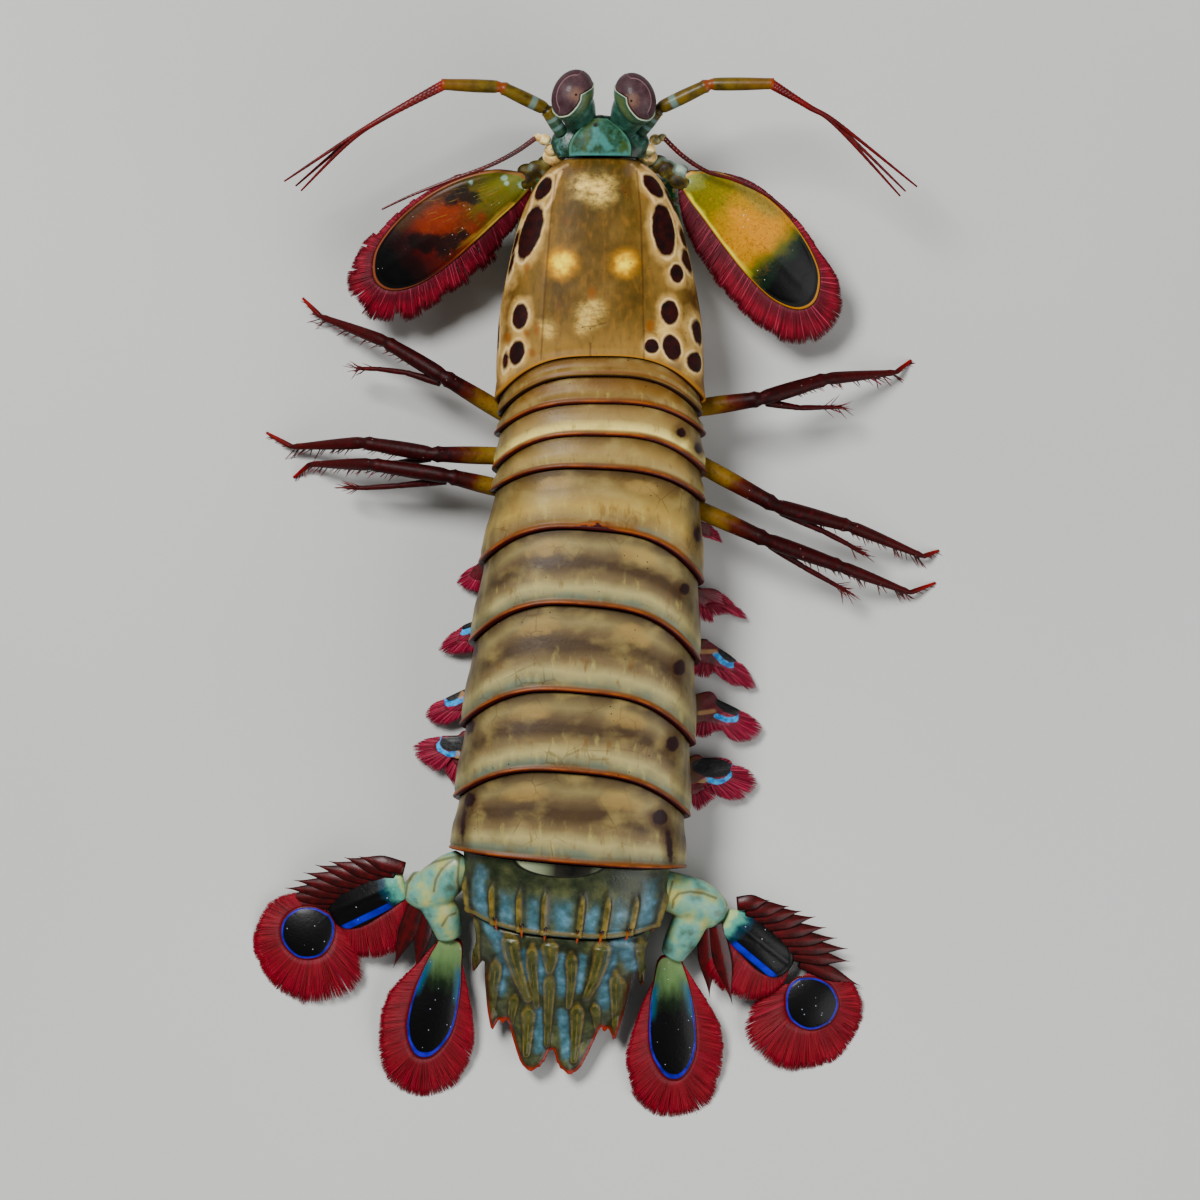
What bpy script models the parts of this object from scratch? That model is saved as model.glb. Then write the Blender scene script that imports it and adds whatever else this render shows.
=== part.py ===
"""Peacock mantis shrimp (Odontodactylus scyllarus), a still model at life size.

The head points to +Y, the back to +Z, and the animal stands on the floor at z = 0 on its
six walking legs and its tail fan.  Sizes below are in millimetres; MM turns them into metres.
"""
import math
import random

import bmesh
import bpy
from mathutils import Matrix, Vector

MM = 0.001
GAP = 0.3               # clearance between pieces that meet
SIDES = (("l", -1.0), ("r", 1.0))

# ---------------------------------------------------------------- driving dimensions
# The body's axis is straight from the head to BEND_START and turns smoothly until BEND_END,
# from where the abdomen runs back at TAIL_SLOPE to the animal's left.
BEND_START = 28.0
BEND_END = 12.0
TAIL_SLOPE = 0.083

# Rear margin of each body ring: y on the axis, half width, top, belly, and how far the margin
# sweeps back at the sides.
MARGINS = {
    "carapace": (36.2, 15.7, 23.2, 10.8, 6.2),
    "thorax_5": (33.2, 15.2, 22.6, 9.6, 5.4),
    "thorax_6": (29.2, 15.8, 22.4, 8.6, 4.4),
    "thorax_7": (24.4, 16.0, 22.3, 8.0, 5.2),
    "thorax_8": (19.5, 16.1, 22.3, 7.6, 4.0),
    "abdomen_1": (10.4, 16.9, 22.6, 7.2, 6.4),
    "abdomen_2": (-0.9, 17.4, 22.6, 6.9, 7.0),
    "abdomen_3": (-13.8, 17.7, 22.1, 6.5, 6.4),
    "abdomen_4": (-25.7, 17.8, 21.2, 5.8, 5.4),
    "abdomen_5": (-39.3, 17.8, 19.4, 4.8, -0.6),
    "abdomen_6": (-50.4, 14.6, 15.8, 3.9, -2.8),
}
RING_ORDER = list(MARGINS)
# A ring's front edge slips under the rim of the ring before it: its size as a share of that rim.
TUCK = {"abdomen_6": 0.885, "telson": 0.93}
DEFAULT_TUCK = 0.95
# Rings of a loft inside one body ring: place from front to rear, share of the tuck still open
RING_STEPS = ((0.12, 0.95), (0.50, 0.40), (0.88, 0.0))

# Carapace in front of its rear margin: y, half width, top, underside
CARAPACE_STATIONS = (
    (65.8, 5.6, 19.6, 12.2),
    (64.2, 7.9, 20.4, 11.8),
    (61.4, 10.0, 21.1, 11.4),
    (56.4, 12.1, 21.9, 11.1),
    (48.0, 14.1, 22.8, 10.9),
    (41.5, 15.2, 23.2, 10.8),
)


# ---------------------------------------------------------------- small geometry helpers
def lerp(a, b, t):
    return a + (b - a) * t


def catmull(values, t):
    """Point at t (0 to len-1) on a smooth curve through the tuples in values."""
    last = len(values) - 1
    i = min(int(t), last - 1)
    u = t - i
    p1, p2 = values[i], values[i + 1]
    p0 = values[i - 1] if i > 0 else p1
    p3 = values[i + 2] if i + 2 <= last else p2
    out = []
    for a, b, c, d in zip(p0, p1, p2, p3):
        out.append(0.5 * (2 * b + (c - a) * u + (2 * a - 5 * b + 4 * c - d) * u * u
                          + (3 * b - a - 3 * c + d) * u ** 3))
    return out


def resample(values, count):
    """count points evenly spaced in curve parameter through the tuples in values."""
    last = len(values) - 1
    return [catmull(values, last * i / (count - 1)) for i in range(count)]


def axis_frame(y):
    """Matrix of the body's axis at y: local -Y runs along the body towards the tail."""
    span = BEND_START - BEND_END
    if y >= BEND_START:
        x, slope = 0.0, 0.0
    elif y >= BEND_END:
        x = -TAIL_SLOPE * (BEND_START - y) ** 2 / (2.0 * span)
        slope = TAIL_SLOPE * (BEND_START - y) / span
    else:
        x = -TAIL_SLOPE * (0.5 * span + BEND_END - y)
        slope = TAIL_SLOPE
    return Matrix.Translation((x, y, 0.0)) @ Matrix.Rotation(-math.atan(slope), 4, "Z")


BACK_STEPS = 6          # points down each flank of a ring
BACK_POWER = 0.8        # how square the back is: 1 is an ellipse
FLANK_SHARE = 0.3       # height share at which the back is widest


def ring_profile():
    """One body ring as (across, up, sweep), shares of half width, height and margin sweep.

    The back and flank are a superellipse; the flap beside the legs and the flat belly follow.
    Starts at the mid-back and runs down the +X side, then up the -X side.
    """
    half = [(0.0, 1.0, 0.0)]
    for step in range(1, BACK_STEPS + 1):
        angle = 0.5 * math.pi * step / BACK_STEPS
        across = math.sin(angle) ** BACK_POWER
        up = FLANK_SHARE + (1.0 - FLANK_SHARE) * max(0.0, math.cos(angle)) ** BACK_POWER
        half.append((across, up, across ** 3))
    half += [(0.985, 0.15, 1.05), (0.93, 0.03, 1.08), (0.82, 0.06, 0.75), (0.45, 0.0, 0.15)]
    other = [(-a, u, s) for a, u, s in reversed(half[1:])]
    return half + [(0.0, 0.0, 0.0)] + other


PROFILE = ring_profile()
RING_CENTRE = 0.45      # height share of the point that a ring is scaled about


def body_ring(frame, half_width, top, belly, sweep, scale=1.0, back=0.0):
    """Points of one body ring; scaling it moves every point straight to the ring's centre."""
    height = top - belly
    centre = belly + RING_CENTRE * height
    points = []
    for across, up, share in PROFILE:
        point = Vector((scale * across * half_width, -back - scale * share * sweep,
                        centre + scale * (up - RING_CENTRE) * height))
        points.append(frame @ point)
    return points, frame @ Vector((0.0, -back, centre))


# ---------------------------------------------------------------- mesh helpers
def material(name, colour, roughness, metallic=0.0):
    found = bpy.data.materials.get(name)
    if found:
        return found
    made = bpy.data.materials.new(name)
    made.use_nodes = True
    shader = made.node_tree.nodes["Principled BSDF"]
    shader.inputs["Base Color"].default_value = (*colour, 1.0)
    shader.inputs["Roughness"].default_value = roughness
    shader.inputs["Metallic"].default_value = metallic
    made.diffuse_color = (*colour, 1.0)
    return made


def make_object(name, vertices, faces, look=None):
    """Closed mesh object from points in millimetres."""
    mesh = bpy.data.meshes.new(name)
    bm = bmesh.new()
    made = [bm.verts.new(Vector(v) * MM) for v in vertices]
    for face in faces:
        bm.faces.new([made[i] for i in face])
    bmesh.ops.recalc_face_normals(bm, faces=bm.faces)
    bmesh.ops.triangulate(bm, faces=bm.faces)
    bm.to_mesh(mesh)
    bm.free()
    obj = bpy.data.objects.new(name, mesh)
    bpy.context.scene.collection.objects.link(obj)
    if look:
        mesh.materials.append(look)
    return obj


def loft(name, rings, caps, look=None):
    """Tube through rings of equal point count, closed by fans to the two cap points."""
    vertices = [p for ring in rings for p in ring]
    count = len(rings[0])
    faces = []
    for r in range(len(rings) - 1):
        for i in range(count):
            j = (i + 1) % count
            a, b = r * count + i, r * count + j
            faces.append((a, b, b + count, a + count))
    first = len(vertices)
    vertices += list(caps)
    top = (len(rings) - 1) * count
    for i in range(count):
        j = (i + 1) % count
        faces.append((first, j, i))
        faces.append((first + 1, top + i, top + j))
    return make_object(name, vertices, faces, look)


def tube(name, stations, sides=8, flat=1.0, up=(0.0, 0.0, 1.0), look=None):
    """Round limb through stations (x, y, z, radius); flat squashes it along the up direction."""
    points = [Vector(s[:3]) for s in stations]
    rings = []
    for i, point in enumerate(points):
        ahead = points[min(i + 1, len(points) - 1)] - points[max(i - 1, 0)]
        along = ahead.normalized()
        side = along.cross(Vector(up)).normalized()
        rise = side.cross(along).normalized()
        radius = stations[i][3]
        ring = []
        for k in range(sides):
            angle = 2.0 * math.pi * (k + 0.5) / sides
            ring.append(point + side * (radius * math.cos(angle))
                        + rise * (radius * flat * math.sin(angle)))
        rings.append(ring)
    return loft(name, rings, (points[0], points[-1]), look)


SPINE_TIP, SPINE_TIP_LEAST = 0.22, 0.12     # radius of a tip: share of the root's, at least
SPINE_KNEE, SPINE_KNEE_RADIUS = 0.55, 0.68  # where a bowed spine bends and its radius there


def spine(name, root, tip, radius, sides=4, bend=None):
    """Tapered spine from root to tip, bowed by the vector bend, with a narrow flat tip."""
    root, tip = Vector(root), Vector(tip)
    stations = [(*root, radius), (*tip, max(SPINE_TIP_LEAST, radius * SPINE_TIP))]
    if bend:
        knee = root.lerp(tip, SPINE_KNEE) + Vector(bend)
        stations.insert(1, (*knee, radius * SPINE_KNEE_RADIUS))
    return tube(name, stations, sides)


def ellipsoid(name, centre, radii, rotation=(0.0, 0.0, 0.0), segments=12, rings=8, look=None):
    """Egg-shaped solid; rotation is in degrees about X, Y, Z."""
    mesh = bpy.data.meshes.new(name)
    bm = bmesh.new()
    bmesh.ops.create_uvsphere(bm, u_segments=segments, v_segments=rings, radius=1.0)
    turn = Matrix.Identity(4)
    for angle, axis in zip(rotation, "XYZ"):
        turn = Matrix.Rotation(math.radians(angle), 4, axis) @ turn
    place = Matrix.Translation(Vector(centre) * MM) @ turn @ Matrix.Diagonal(
        (radii[0] * MM, radii[1] * MM, radii[2] * MM, 1.0))
    bm.transform(place)
    bmesh.ops.triangulate(bm, faces=bm.faces)
    bm.to_mesh(mesh)
    bm.free()
    obj = bpy.data.objects.new(name, mesh)
    bpy.context.scene.collection.objects.link(obj)
    if look:
        mesh.materials.append(look)
    return obj


# Ways to clean a union, tried in turn: points closer than this are merged (mm), and faces
# that turn less than this are made one (degrees)
CLEANINGS = ((0.004, 2.0), (0.001, 1.0), (0.02, 2.0), (0.0, 0.0))


def keep_largest(mesh, merge, flat):
    """Tidy the mesh and drop every closed surface of it but the one that spans the most space."""
    bm = bmesh.new()
    bm.from_mesh(mesh)
    if merge > 0.0:
        bmesh.ops.remove_doubles(bm, verts=bm.verts, dist=merge * MM)
        bmesh.ops.dissolve_degenerate(bm, edges=bm.edges, dist=merge * MM)
        bmesh.ops.dissolve_limit(bm, angle_limit=math.radians(flat), verts=bm.verts,
                                 edges=bm.edges)
    left = set(bm.faces)
    shells = []
    while left:
        seed = left.pop()
        shell, front = {seed}, [seed]
        while front:
            face = front.pop()
            for edge in face.edges:
                for other in edge.link_faces:
                    if other in left:
                        left.discard(other)
                        shell.add(other)
                        front.append(other)
        spans = [[v.co[axis] for f in shell for v in f.verts] for axis in range(3)]
        size = sum(max(s) - min(s) for s in spans)
        shells.append((size, len(shells), shell))
    keep = max(shells, key=lambda item: item[:2])[2]
    bmesh.ops.delete(bm, geom=[f for f in bm.faces if f not in keep], context="FACES")
    bmesh.ops.triangulate(bm, faces=bm.faces)
    bm.to_mesh(mesh)
    bm.free()


def is_closed(mesh):
    """Whether every edge of the mesh joins exactly two faces."""
    uses = {}
    for polygon in mesh.polygons:
        for key in polygon.edge_keys:
            uses[key] = uses.get(key, 0) + 1
    return bool(uses) and all(count == 2 for count in uses.values())


def tidied(mesh):
    """The mesh's largest closed surface, cleaned as far as it stays closed."""
    for merge, flat in CLEANINGS:
        clean = mesh.copy()
        keep_largest(clean, merge, flat)
        if is_closed(clean):
            break
    return clean


def apply_boolean(obj, operation, operand):
    """Join obj with a collection, or cut it by an object, and keep its largest closed surface.

    The exact solver goes first; the manifold one takes over where it leaves an open edge.
    """
    graph = bpy.context.view_layer.depsgraph
    look = obj.data.materials[0] if obj.data.materials else None
    for solver in ("EXACT", "MANIFOLD"):
        step = obj.modifiers.new("boolean", "BOOLEAN")
        step.operation = operation
        step.solver = solver
        if operation == "UNION":
            step.operand_type = "COLLECTION"
            step.collection = operand
        else:
            step.object = operand
        graph.update()
        mesh = bpy.data.meshes.new_from_object(obj.evaluated_get(graph))
        obj.modifiers.clear()
        mesh = tidied(mesh)
        if is_closed(mesh):
            break
    obj.data = mesh
    mesh.materials.clear()
    if look:
        mesh.materials.append(look)


def fuse(name, pieces, look):
    """Union of closed pieces in one object called name."""
    base = pieces[0]
    base.data.materials.clear()
    base.data.materials.append(look)
    if len(pieces) > 1:
        group = bpy.data.collections.new("fused_" + name)
        for piece in pieces[1:]:
            group.objects.link(piece)
        apply_boolean(base, "UNION", group)
        for piece in pieces[1:]:
            bpy.data.objects.remove(piece, do_unlink=True)
        bpy.data.collections.remove(group)
    base.name = name
    base.data.name = name
    return base


# Moving the corners out by the gap moves the flat faces between them a little less
SWELL = 1.15


def fit_against(obj, *neighbours):
    """Cut obj back so that it meets each neighbour face to face, GAP away from it."""
    for neighbour in neighbours:
        swollen = neighbour.copy()
        swollen.data = neighbour.data.copy()
        bpy.context.scene.collection.objects.link(swollen)
        normals = [v.normal.copy() for v in swollen.data.vertices]
        for vertex, normal in zip(swollen.data.vertices, normals):
            vertex.co += normal * (GAP * SWELL * MM)
        apply_boolean(obj, "DIFFERENCE", swollen)
        bpy.data.objects.remove(swollen, do_unlink=True)
    return obj


FLOOR_MERGE = 0.002     # points this close to the floor are taken as on it


def rest_on_floor(obj):
    """Cut off whatever lies below the floor and close the flat."""
    bm = bmesh.new()
    bm.from_mesh(obj.data)
    geometry = list(bm.verts) + list(bm.edges) + list(bm.faces)
    bmesh.ops.bisect_plane(bm, geom=geometry, dist=FLOOR_MERGE * MM, plane_co=(0.0, 0.0, 0.0),
                           plane_no=(0.0, 0.0, -1.0), clear_outer=True)
    edges = [e for e in bm.edges if e.is_boundary]
    if edges:
        bmesh.ops.holes_fill(bm, edges=edges, sides=0)
    bmesh.ops.triangulate(bm, faces=bm.faces)
    bm.to_mesh(obj.data)
    bm.free()
    obj.data = tidied(obj.data)
    return obj


def finish_shading(obj, angle=40.0):
    obj.data.shade_smooth()
    obj.data.set_sharp_from_angle(angle=math.radians(angle))


# ---------------------------------------------------------------- fringed plates
OUTLINE_SPLITS = 24     # points between two outline points while lengths are measured


def even_outline(outline, count):
    """count points at even distances round the smooth closed outline, with its third value."""
    closed = list(outline) + [outline[0]]
    fine = resample(closed, OUTLINE_SPLITS * len(outline) + 1)
    lengths = [0.0]
    for a, b in zip(fine, fine[1:]):
        lengths.append(lengths[-1] + math.hypot(b[0] - a[0], b[1] - a[1]))
    points = []
    k = 0
    for i in range(count):
        target = lengths[-1] * i / count
        while lengths[k + 1] < target:
            k += 1
        share = (target - lengths[k]) / (lengths[k + 1] - lengths[k])
        points.append([lerp(p, q, share) for p, q in zip(fine[k], fine[k + 1])])
    return points


# Half thicknesses of a leaf and its fringe
LOCK_TIP, LOCK_NOTCH, BARE_RIM = 0.14, 0.22, 0.26
LEAF_EDGE, LEAF_EDGE_AT_NOTCH = 0.40, 0.30
FRINGE_LEAST = 0.6      # shorter fringes stay a plain rim
LOCK_SPREAD = (0.92, 1.05)
RIM_OUT = 0.05          # a plain rim stands out this much from the leaf's edge
# A leaf's inner ring of points: share of the way to the edge; shares of the dome at ring and edge
INNER_REACH, INNER_DOME, EDGE_DOME = 0.62, 0.8, 0.12
INNER_THICK, CENTRE_THICK = 0.5, 0.55       # half thickness there, as a share of the thickness


def fringed_plate(name, outline, locks, thick, place, look, lean=0.35, dome=0.5, droop=0.0,
                  notch=0.5, seed=1):
    """Thin leaf with a fringe of tapered locks of setae round its edge.

    outline holds (along, across, fringe length) round the leaf, place sets it in the body,
    thick is its thickness in the middle, lean tips the locks towards the far end, dome raises
    the middle, droop lowers the far end and notch is how much of a lock's length is free.
    Both faces are split alike.
    """
    rng = random.Random(seed)
    count = 2 * locks
    edge = even_outline(outline, count)
    mid_a = sum(p[0] for p in edge) / count
    mid_b = sum(p[1] for p in edge) / count
    reach = max(p[0] for p in edge)
    area = sum(p[0] * q[1] - q[0] * p[1] for p, q in zip(edge, edge[1:] + edge[:1]))
    turn = 1.0 if area > 0 else -1.0

    def lift(a, rise):
        return rise - droop * (max(a, 0.0) / reach) ** 2

    rim, leaf = [], []
    for i, (a, b, fringe) in enumerate(edge):
        before, after = edge[i - 1], edge[(i + 1) % count]
        across = Vector((after[1] - before[1], before[0] - after[0], 0.0)).normalized() * turn
        way = (across + Vector((lean, 0.0, 0.0))).normalized()
        tip = i % 2 == 1
        length = max(0.0, fringe) * (rng.uniform(*LOCK_SPREAD) if tip else 1.0 - notch)
        tipped = length > FRINGE_LEAST
        out_a, out_b = a + way.x * max(length, RIM_OUT), b + way.y * max(length, RIM_OUT)
        thin = (LOCK_TIP if tip else LOCK_NOTCH) if tipped else BARE_RIM
        rim.append((out_a, out_b, lift(out_a, 0.0), thin))
        half = LEAF_EDGE if tip or not tipped else LEAF_EDGE_AT_NOTCH
        leaf.append((a, b, lift(a, EDGE_DOME * dome), half))
    inner = []
    for i in range(0, count, 2):
        a, b = lerp(mid_a, edge[i][0], INNER_REACH), lerp(mid_b, edge[i][1], INNER_REACH)
        inner.append((a, b, lift(a, INNER_DOME * dome), INNER_THICK * thick))
    centre = [(mid_a, mid_b, lift(mid_a, dome), CENTRE_THICK * thick)]

    points = rim + leaf + inner + centre
    vertices = []
    for sign in (1.0, -1.0):
        for a, b, c, half in points:
            vertices.append(place @ Vector((a, b, c + sign * half)))
    under = len(points)
    middle = under - 1
    half_count = count // 2
    sheet = []
    for i in range(count):
        j = (i + 1) % count
        sheet.append((i, j, count + j))
        sheet.append((i, count + j, count + i))
    for i in range(half_count):
        j = (i + 1) % half_count
        a, b, c = count + 2 * i, count + 2 * i + 1, count + (2 * i + 2) % count
        p, q = 2 * count + i, 2 * count + j
        sheet.append((a, b, p))
        sheet.append((b, c, q))
        sheet.append((p, b, q))
        sheet.append((p, q, middle))
    faces = list(sheet)
    faces += [tuple(under + v for v in reversed(face)) for face in sheet]
    for i in range(count):
        j = (i + 1) % count
        faces.append((j, i, under + i))
        faces.append((j, under + i, under + j))
    return make_object(name, vertices, faces, look)


def placed(root, yaw, pitch, roll, side):
    """Matrix that puts a leaf's root at root; yaw turns it from straight out sideways towards
    the tail, pitch tips its far end down and roll lifts its front edge, all in degrees."""
    mirror = Matrix.Diagonal((side, 1.0, 1.0, 1.0))
    turn = (Matrix.Rotation(math.radians(-yaw), 4, "Z") @ Matrix.Rotation(math.radians(pitch), 4, "Y")
            @ Matrix.Rotation(math.radians(roll), 4, "X"))
    place = Matrix.Translation(root) @ mirror @ turn
    return place


# ---------------------------------------------------------------- colours
def colours():
    """The looks of the pieces: colour, roughness."""
    return {
        "shell": material("shell_olive", (0.20, 0.13, 0.045), 0.32),
        "carapace": material("carapace_tan", (0.42, 0.24, 0.07), 0.30),
        "teal": material("head_teal", (0.03, 0.13, 0.10), 0.35),
        "eye": material("eye_brown", (0.14, 0.05, 0.06), 0.15),
        "maroon": material("limb_maroon", (0.09, 0.008, 0.012), 0.35),
        "scale": material("scale_amber", (0.38, 0.15, 0.02), 0.30),
        "fringe": material("fringe_red", (0.35, 0.01, 0.02), 0.45),
        "tail": material("tail_teal_olive", (0.10, 0.12, 0.05), 0.32),
        "cream": material("joint_cream", (0.55, 0.50, 0.38), 0.35),
        "black": material("uropod_black", (0.01, 0.01, 0.015), 0.25),
    }


# ---------------------------------------------------------------- body rings
def section_between(a, b, t):
    """Margin values part way from margin a to margin b."""
    return tuple(lerp(p, q, t) for p, q in zip(a, b))


def ring_of(values, scale=1.0, back=0.0):
    y, half_width, top, belly, sweep = values
    return body_ring(axis_frame(y), half_width, top, belly, sweep, scale, back)


def make_carapace(look):
    rings = []
    for y, half_width, top, under in CARAPACE_STATIONS:
        rings.append(ring_of((y, half_width, top, under, 0.0))[0])
    front = ring_of((*CARAPACE_STATIONS[0], 0.0))[1]
    rear, rear_centre = ring_of(MARGINS["carapace"])
    rings.append(rear)
    return loft("carapace", rings, (front, rear_centre), look)


def make_body_ring(node, look):
    """One ring of the body, from under the rim of the ring before it to its own rim."""
    before = MARGINS[RING_ORDER[RING_ORDER.index(node) - 1]]
    own = MARGINS[node]
    tuck = TUCK.get(node, DEFAULT_TUCK)
    first, front = ring_of(before, tuck, GAP)
    rings = [first]
    for place, still_open in RING_STEPS:
        values = section_between(before, own, place)
        rings.append(ring_of(values, 1.0 - (1.0 - tuck) * still_open)[0])
    last, rear = ring_of(own)
    rings.append(last)
    return loft(node, rings, (front, rear), look)


def ring_height(across):
    """Height share of a ring's back at a share of its half width."""
    sine = min(1.0, abs(across)) ** (1.0 / BACK_POWER)
    rise = math.sqrt(1.0 - sine * sine) ** BACK_POWER
    return FLANK_SHARE + (1.0 - FLANK_SHARE) * rise


# Low ridges of the sixth abdominal ring, on each side: share of the half width
ABDOMEN_6_RIDGES = (0.17, 0.42, 0.68, 0.93)
RIDGE_RADIUS = 0.55
# Place along the ring, share of the ridge's radius and lift: the last is the tip of its spine
RIDGE_STATIONS = ((0.25, 0.3, 0.0), (0.88, 1.0, 0.0), (1.08, 0.3, 0.35))
RIDGE_INSET = 0.985     # keeps a ridge's middle just under the ring's surface


def make_abdomen_6(look):
    before, own = MARGINS["abdomen_5"], MARGINS["abdomen_6"]
    core = make_body_ring("abdomen_6", look)
    pieces = [core]
    for side in (-1.0, 1.0):
        for share in ABDOMEN_6_RIDGES:
            stations = []
            for place, radius, lift in RIDGE_STATIONS:
                y, half_width, top, belly, sweep = section_between(before, own, place)
                half_width *= RIDGE_INSET
                rise = belly + (top - belly) * ring_height(share) + lift
                point = axis_frame(y) @ Vector((side * share * half_width,
                                                -sweep * share ** 3, rise))
                stations.append((*point, RIDGE_RADIUS * radius))
            pieces.append(tube("ridge", stations, 4))
    return fuse("abdomen_6", pieces, look)


# Telson, in its own frame: back from the sixth ring's margin, half width, top, belly, sweep
TELSON_STATIONS = (
    (2.2, 13.3, 14.2, 3.9, -1.2),
    (6.5, 12.0, 11.0, 3.4, 0.0),
    (11.0, 9.8, 7.6, 3.0, 0.0),
    (15.0, 6.2, 4.7, 2.7, 0.0),
)
# Toothed rim of the telson, one half: (across, back)
TELSON_RIM = ((12.6, 1.6), (13.2, 4.0), (12.9, 7.2), (11.2, 4.3), (10.9, 8.0), (10.3, 12.0),
              (9.3, 15.8), (8.3, 13.6), (7.7, 14.4), (7.1, 13.4), (5.4, 18.0), (3.05, 21.4),
              (2.4, 19.5), (1.8, 20.2), (1.4, 18.9), (0.95, 19.4), (0.4, 18.1))
TELSON_FRONT_TOP, TELSON_TIP_TOP = 6.4, 3.3
TELSON_FRONT_UNDER, TELSON_TIP_UNDER = 3.5, 2.5
TELSON_LENGTH = 21.4
# Ridges of the telson: ((across, back) from, (across, back) to), mirrored where off the middle
TELSON_RIDGES = (((0.0, 1.5), (0.0, 8.6)), ((3.4, 1.8), (2.9, 9.4)), ((6.8, 2.0), (5.6, 10.6)),
                 ((9.9, 2.0), (9.3, 14.4)), ((12.3, 1.6), (12.8, 6.9)), ((4.6, 12.0), (3.1, 20.8)))

# Radius along a telson ridge, as a share of RIDGE_RADIUS
TELSON_RIDGE_RADII = ((0.0, 0.35), (0.5, 1.0), (1.0, 0.4))
TELSON_CORE_END = 2.0   # the raised core runs out this far behind its last ring


def telson_top(across, back):
    """Height of the telson's back at a place in its frame."""
    share = back / TELSON_LENGTH
    plate = lerp(TELSON_FRONT_TOP, TELSON_TIP_TOP, share)
    stations = [(0.0, *MARGINS["abdomen_6"][1:])] + list(TELSON_STATIONS)
    for a, b in zip(stations, stations[1:]):
        if a[0] <= back <= b[0]:
            _, half_width, top, belly, _ = section_between(a, b, (back - a[0]) / (b[0] - a[0]))
            if abs(across) < half_width:
                return max(plate, belly + (top - belly) * ring_height(across / half_width))
    return plate


def make_telson(look):
    frame = axis_frame(MARGINS["abdomen_6"][0])
    first, front = ring_of(MARGINS["abdomen_6"], TUCK["telson"], GAP)
    rings = [first]
    for back, half_width, top, belly, sweep in TELSON_STATIONS:
        rings.append(body_ring(frame, half_width, top, belly, sweep, 1.0, back)[0])
    back, _, top, belly, _ = TELSON_STATIONS[-1]
    end = frame @ Vector((0.0, -back - TELSON_CORE_END, 0.5 * (top + belly)))
    core = loft("telson", rings, (front, end), look)

    rim = list(TELSON_RIM) + [(-a, b) for a, b in reversed(TELSON_RIM)]
    count = len(rim)
    vertices = []
    for near, far in ((TELSON_FRONT_TOP, TELSON_TIP_TOP), (TELSON_FRONT_UNDER, TELSON_TIP_UNDER)):
        for across, back in rim:
            z = lerp(near, far, back / TELSON_LENGTH)
            vertices.append(frame @ Vector((across, -back, z)))
    faces = [tuple(range(count)), tuple(reversed(range(count, 2 * count)))]
    for i in range(count):
        j = (i + 1) % count
        faces.append((j, i, count + i, count + j))
    pieces = [core, make_object("rim", vertices, faces)]

    for start, end in TELSON_RIDGES:
        for side in ((1.0,) if start[0] == 0.0 else (-1.0, 1.0)):
            stations = []
            for share, radius in TELSON_RIDGE_RADII:
                across = lerp(start[0], end[0], share)
                back = lerp(start[1], end[1], share)
                point = frame @ Vector((side * across, -back, telson_top(across, back)))
                stations.append((*point, RIDGE_RADIUS * radius))
            pieces.append(tube("ridge", stations, 5))
    return fuse("telson", pieces, look)


# ---------------------------------------------------------------- head
# Rostral plate: (y, half width) from its straight base to its rounded tip
ROSTRAL_PLATE = ((66.1, 4.6), (67.6, 4.5), (69.4, 4.1), (70.8, 3.0), (71.6, 1.7))
ROSTRAL_TIP = 72.0
ROSTRAL_TOP, ROSTRAL_THICK, ROSTRAL_CROWN = 19.4, 1.1, 0.9
ROSTRAL_BEVEL = 0.3     # the plate's edge is this much thinner above and below
ROSTRAL_STEPS = 3       # points from its middle to its edge


def make_rostral_plate(look):
    rings = []
    for y, half_width in ROSTRAL_PLATE:
        ring = []
        for top in (True, False):
            for step in range(2 * ROSTRAL_STEPS + 1):
                share = (step / ROSTRAL_STEPS - 1.0) * (1.0 if top else -1.0)
                crown = ROSTRAL_CROWN * (1.0 - share * share) * half_width / ROSTRAL_PLATE[0][1]
                z = ROSTRAL_TOP + crown - (0.0 if top else ROSTRAL_THICK)
                if abs(share) == 1.0:
                    z = ROSTRAL_TOP - (ROSTRAL_BEVEL if top else ROSTRAL_THICK - ROSTRAL_BEVEL)
                ring.append(Vector((share * half_width, y, z)))
        rings.append(ring)
    middle = ROSTRAL_TOP - ROSTRAL_BEVEL * ROSTRAL_THICK
    caps = ((0.0, ROSTRAL_PLATE[0][0], middle), (0.0, ROSTRAL_TIP, middle))
    return loft("rostral_plate", rings, [Vector(c) for c in caps], look)


# Head under the rostral plate: y, half width, top, underside
HEAD_STATIONS = ((66.1, 6.4, 17.8, 11.4), (67.6, 7.4, 17.8, 11.2), (69.6, 7.0, 17.6, 11.6),
                 (71.2, 5.2, 17.0, 12.6), (72.2, 3.0, 16.4, 13.6))


HEAD_SIDES, HEAD_POWER = 14, 0.7       # points round the head, and how square it is
HEAD_CAPS = ((0.0, 66.1, 14.6), (0.0, 72.6, 15.0))


def make_head(look):
    rings = []
    for y, half_width, top, under in HEAD_STATIONS:
        ring = []
        for step in range(HEAD_SIDES):
            angle = 2.0 * math.pi * (step + 0.5) / HEAD_SIDES
            x = half_width * math.copysign(abs(math.cos(angle)) ** HEAD_POWER, math.cos(angle))
            z = 0.5 * (top + under) + 0.5 * (top - under) * math.copysign(
                abs(math.sin(angle)) ** HEAD_POWER, math.sin(angle))
            ring.append(Vector((x, y, z)))
        rings.append(ring)
    return loft("head", rings, [Vector(c) for c in HEAD_CAPS], look)


# Eye: centre, half axes, tilt about Z in degrees.  The left and right eyes look apart.
EYES = {
    "l": ((-4.1, 75.0, 21.6), (3.08, 4.05, 2.9), -22.0),
    "r": ((5.25, 74.5, 21.6), (3.08, 4.05, 2.9), 20.0),
}
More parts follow.
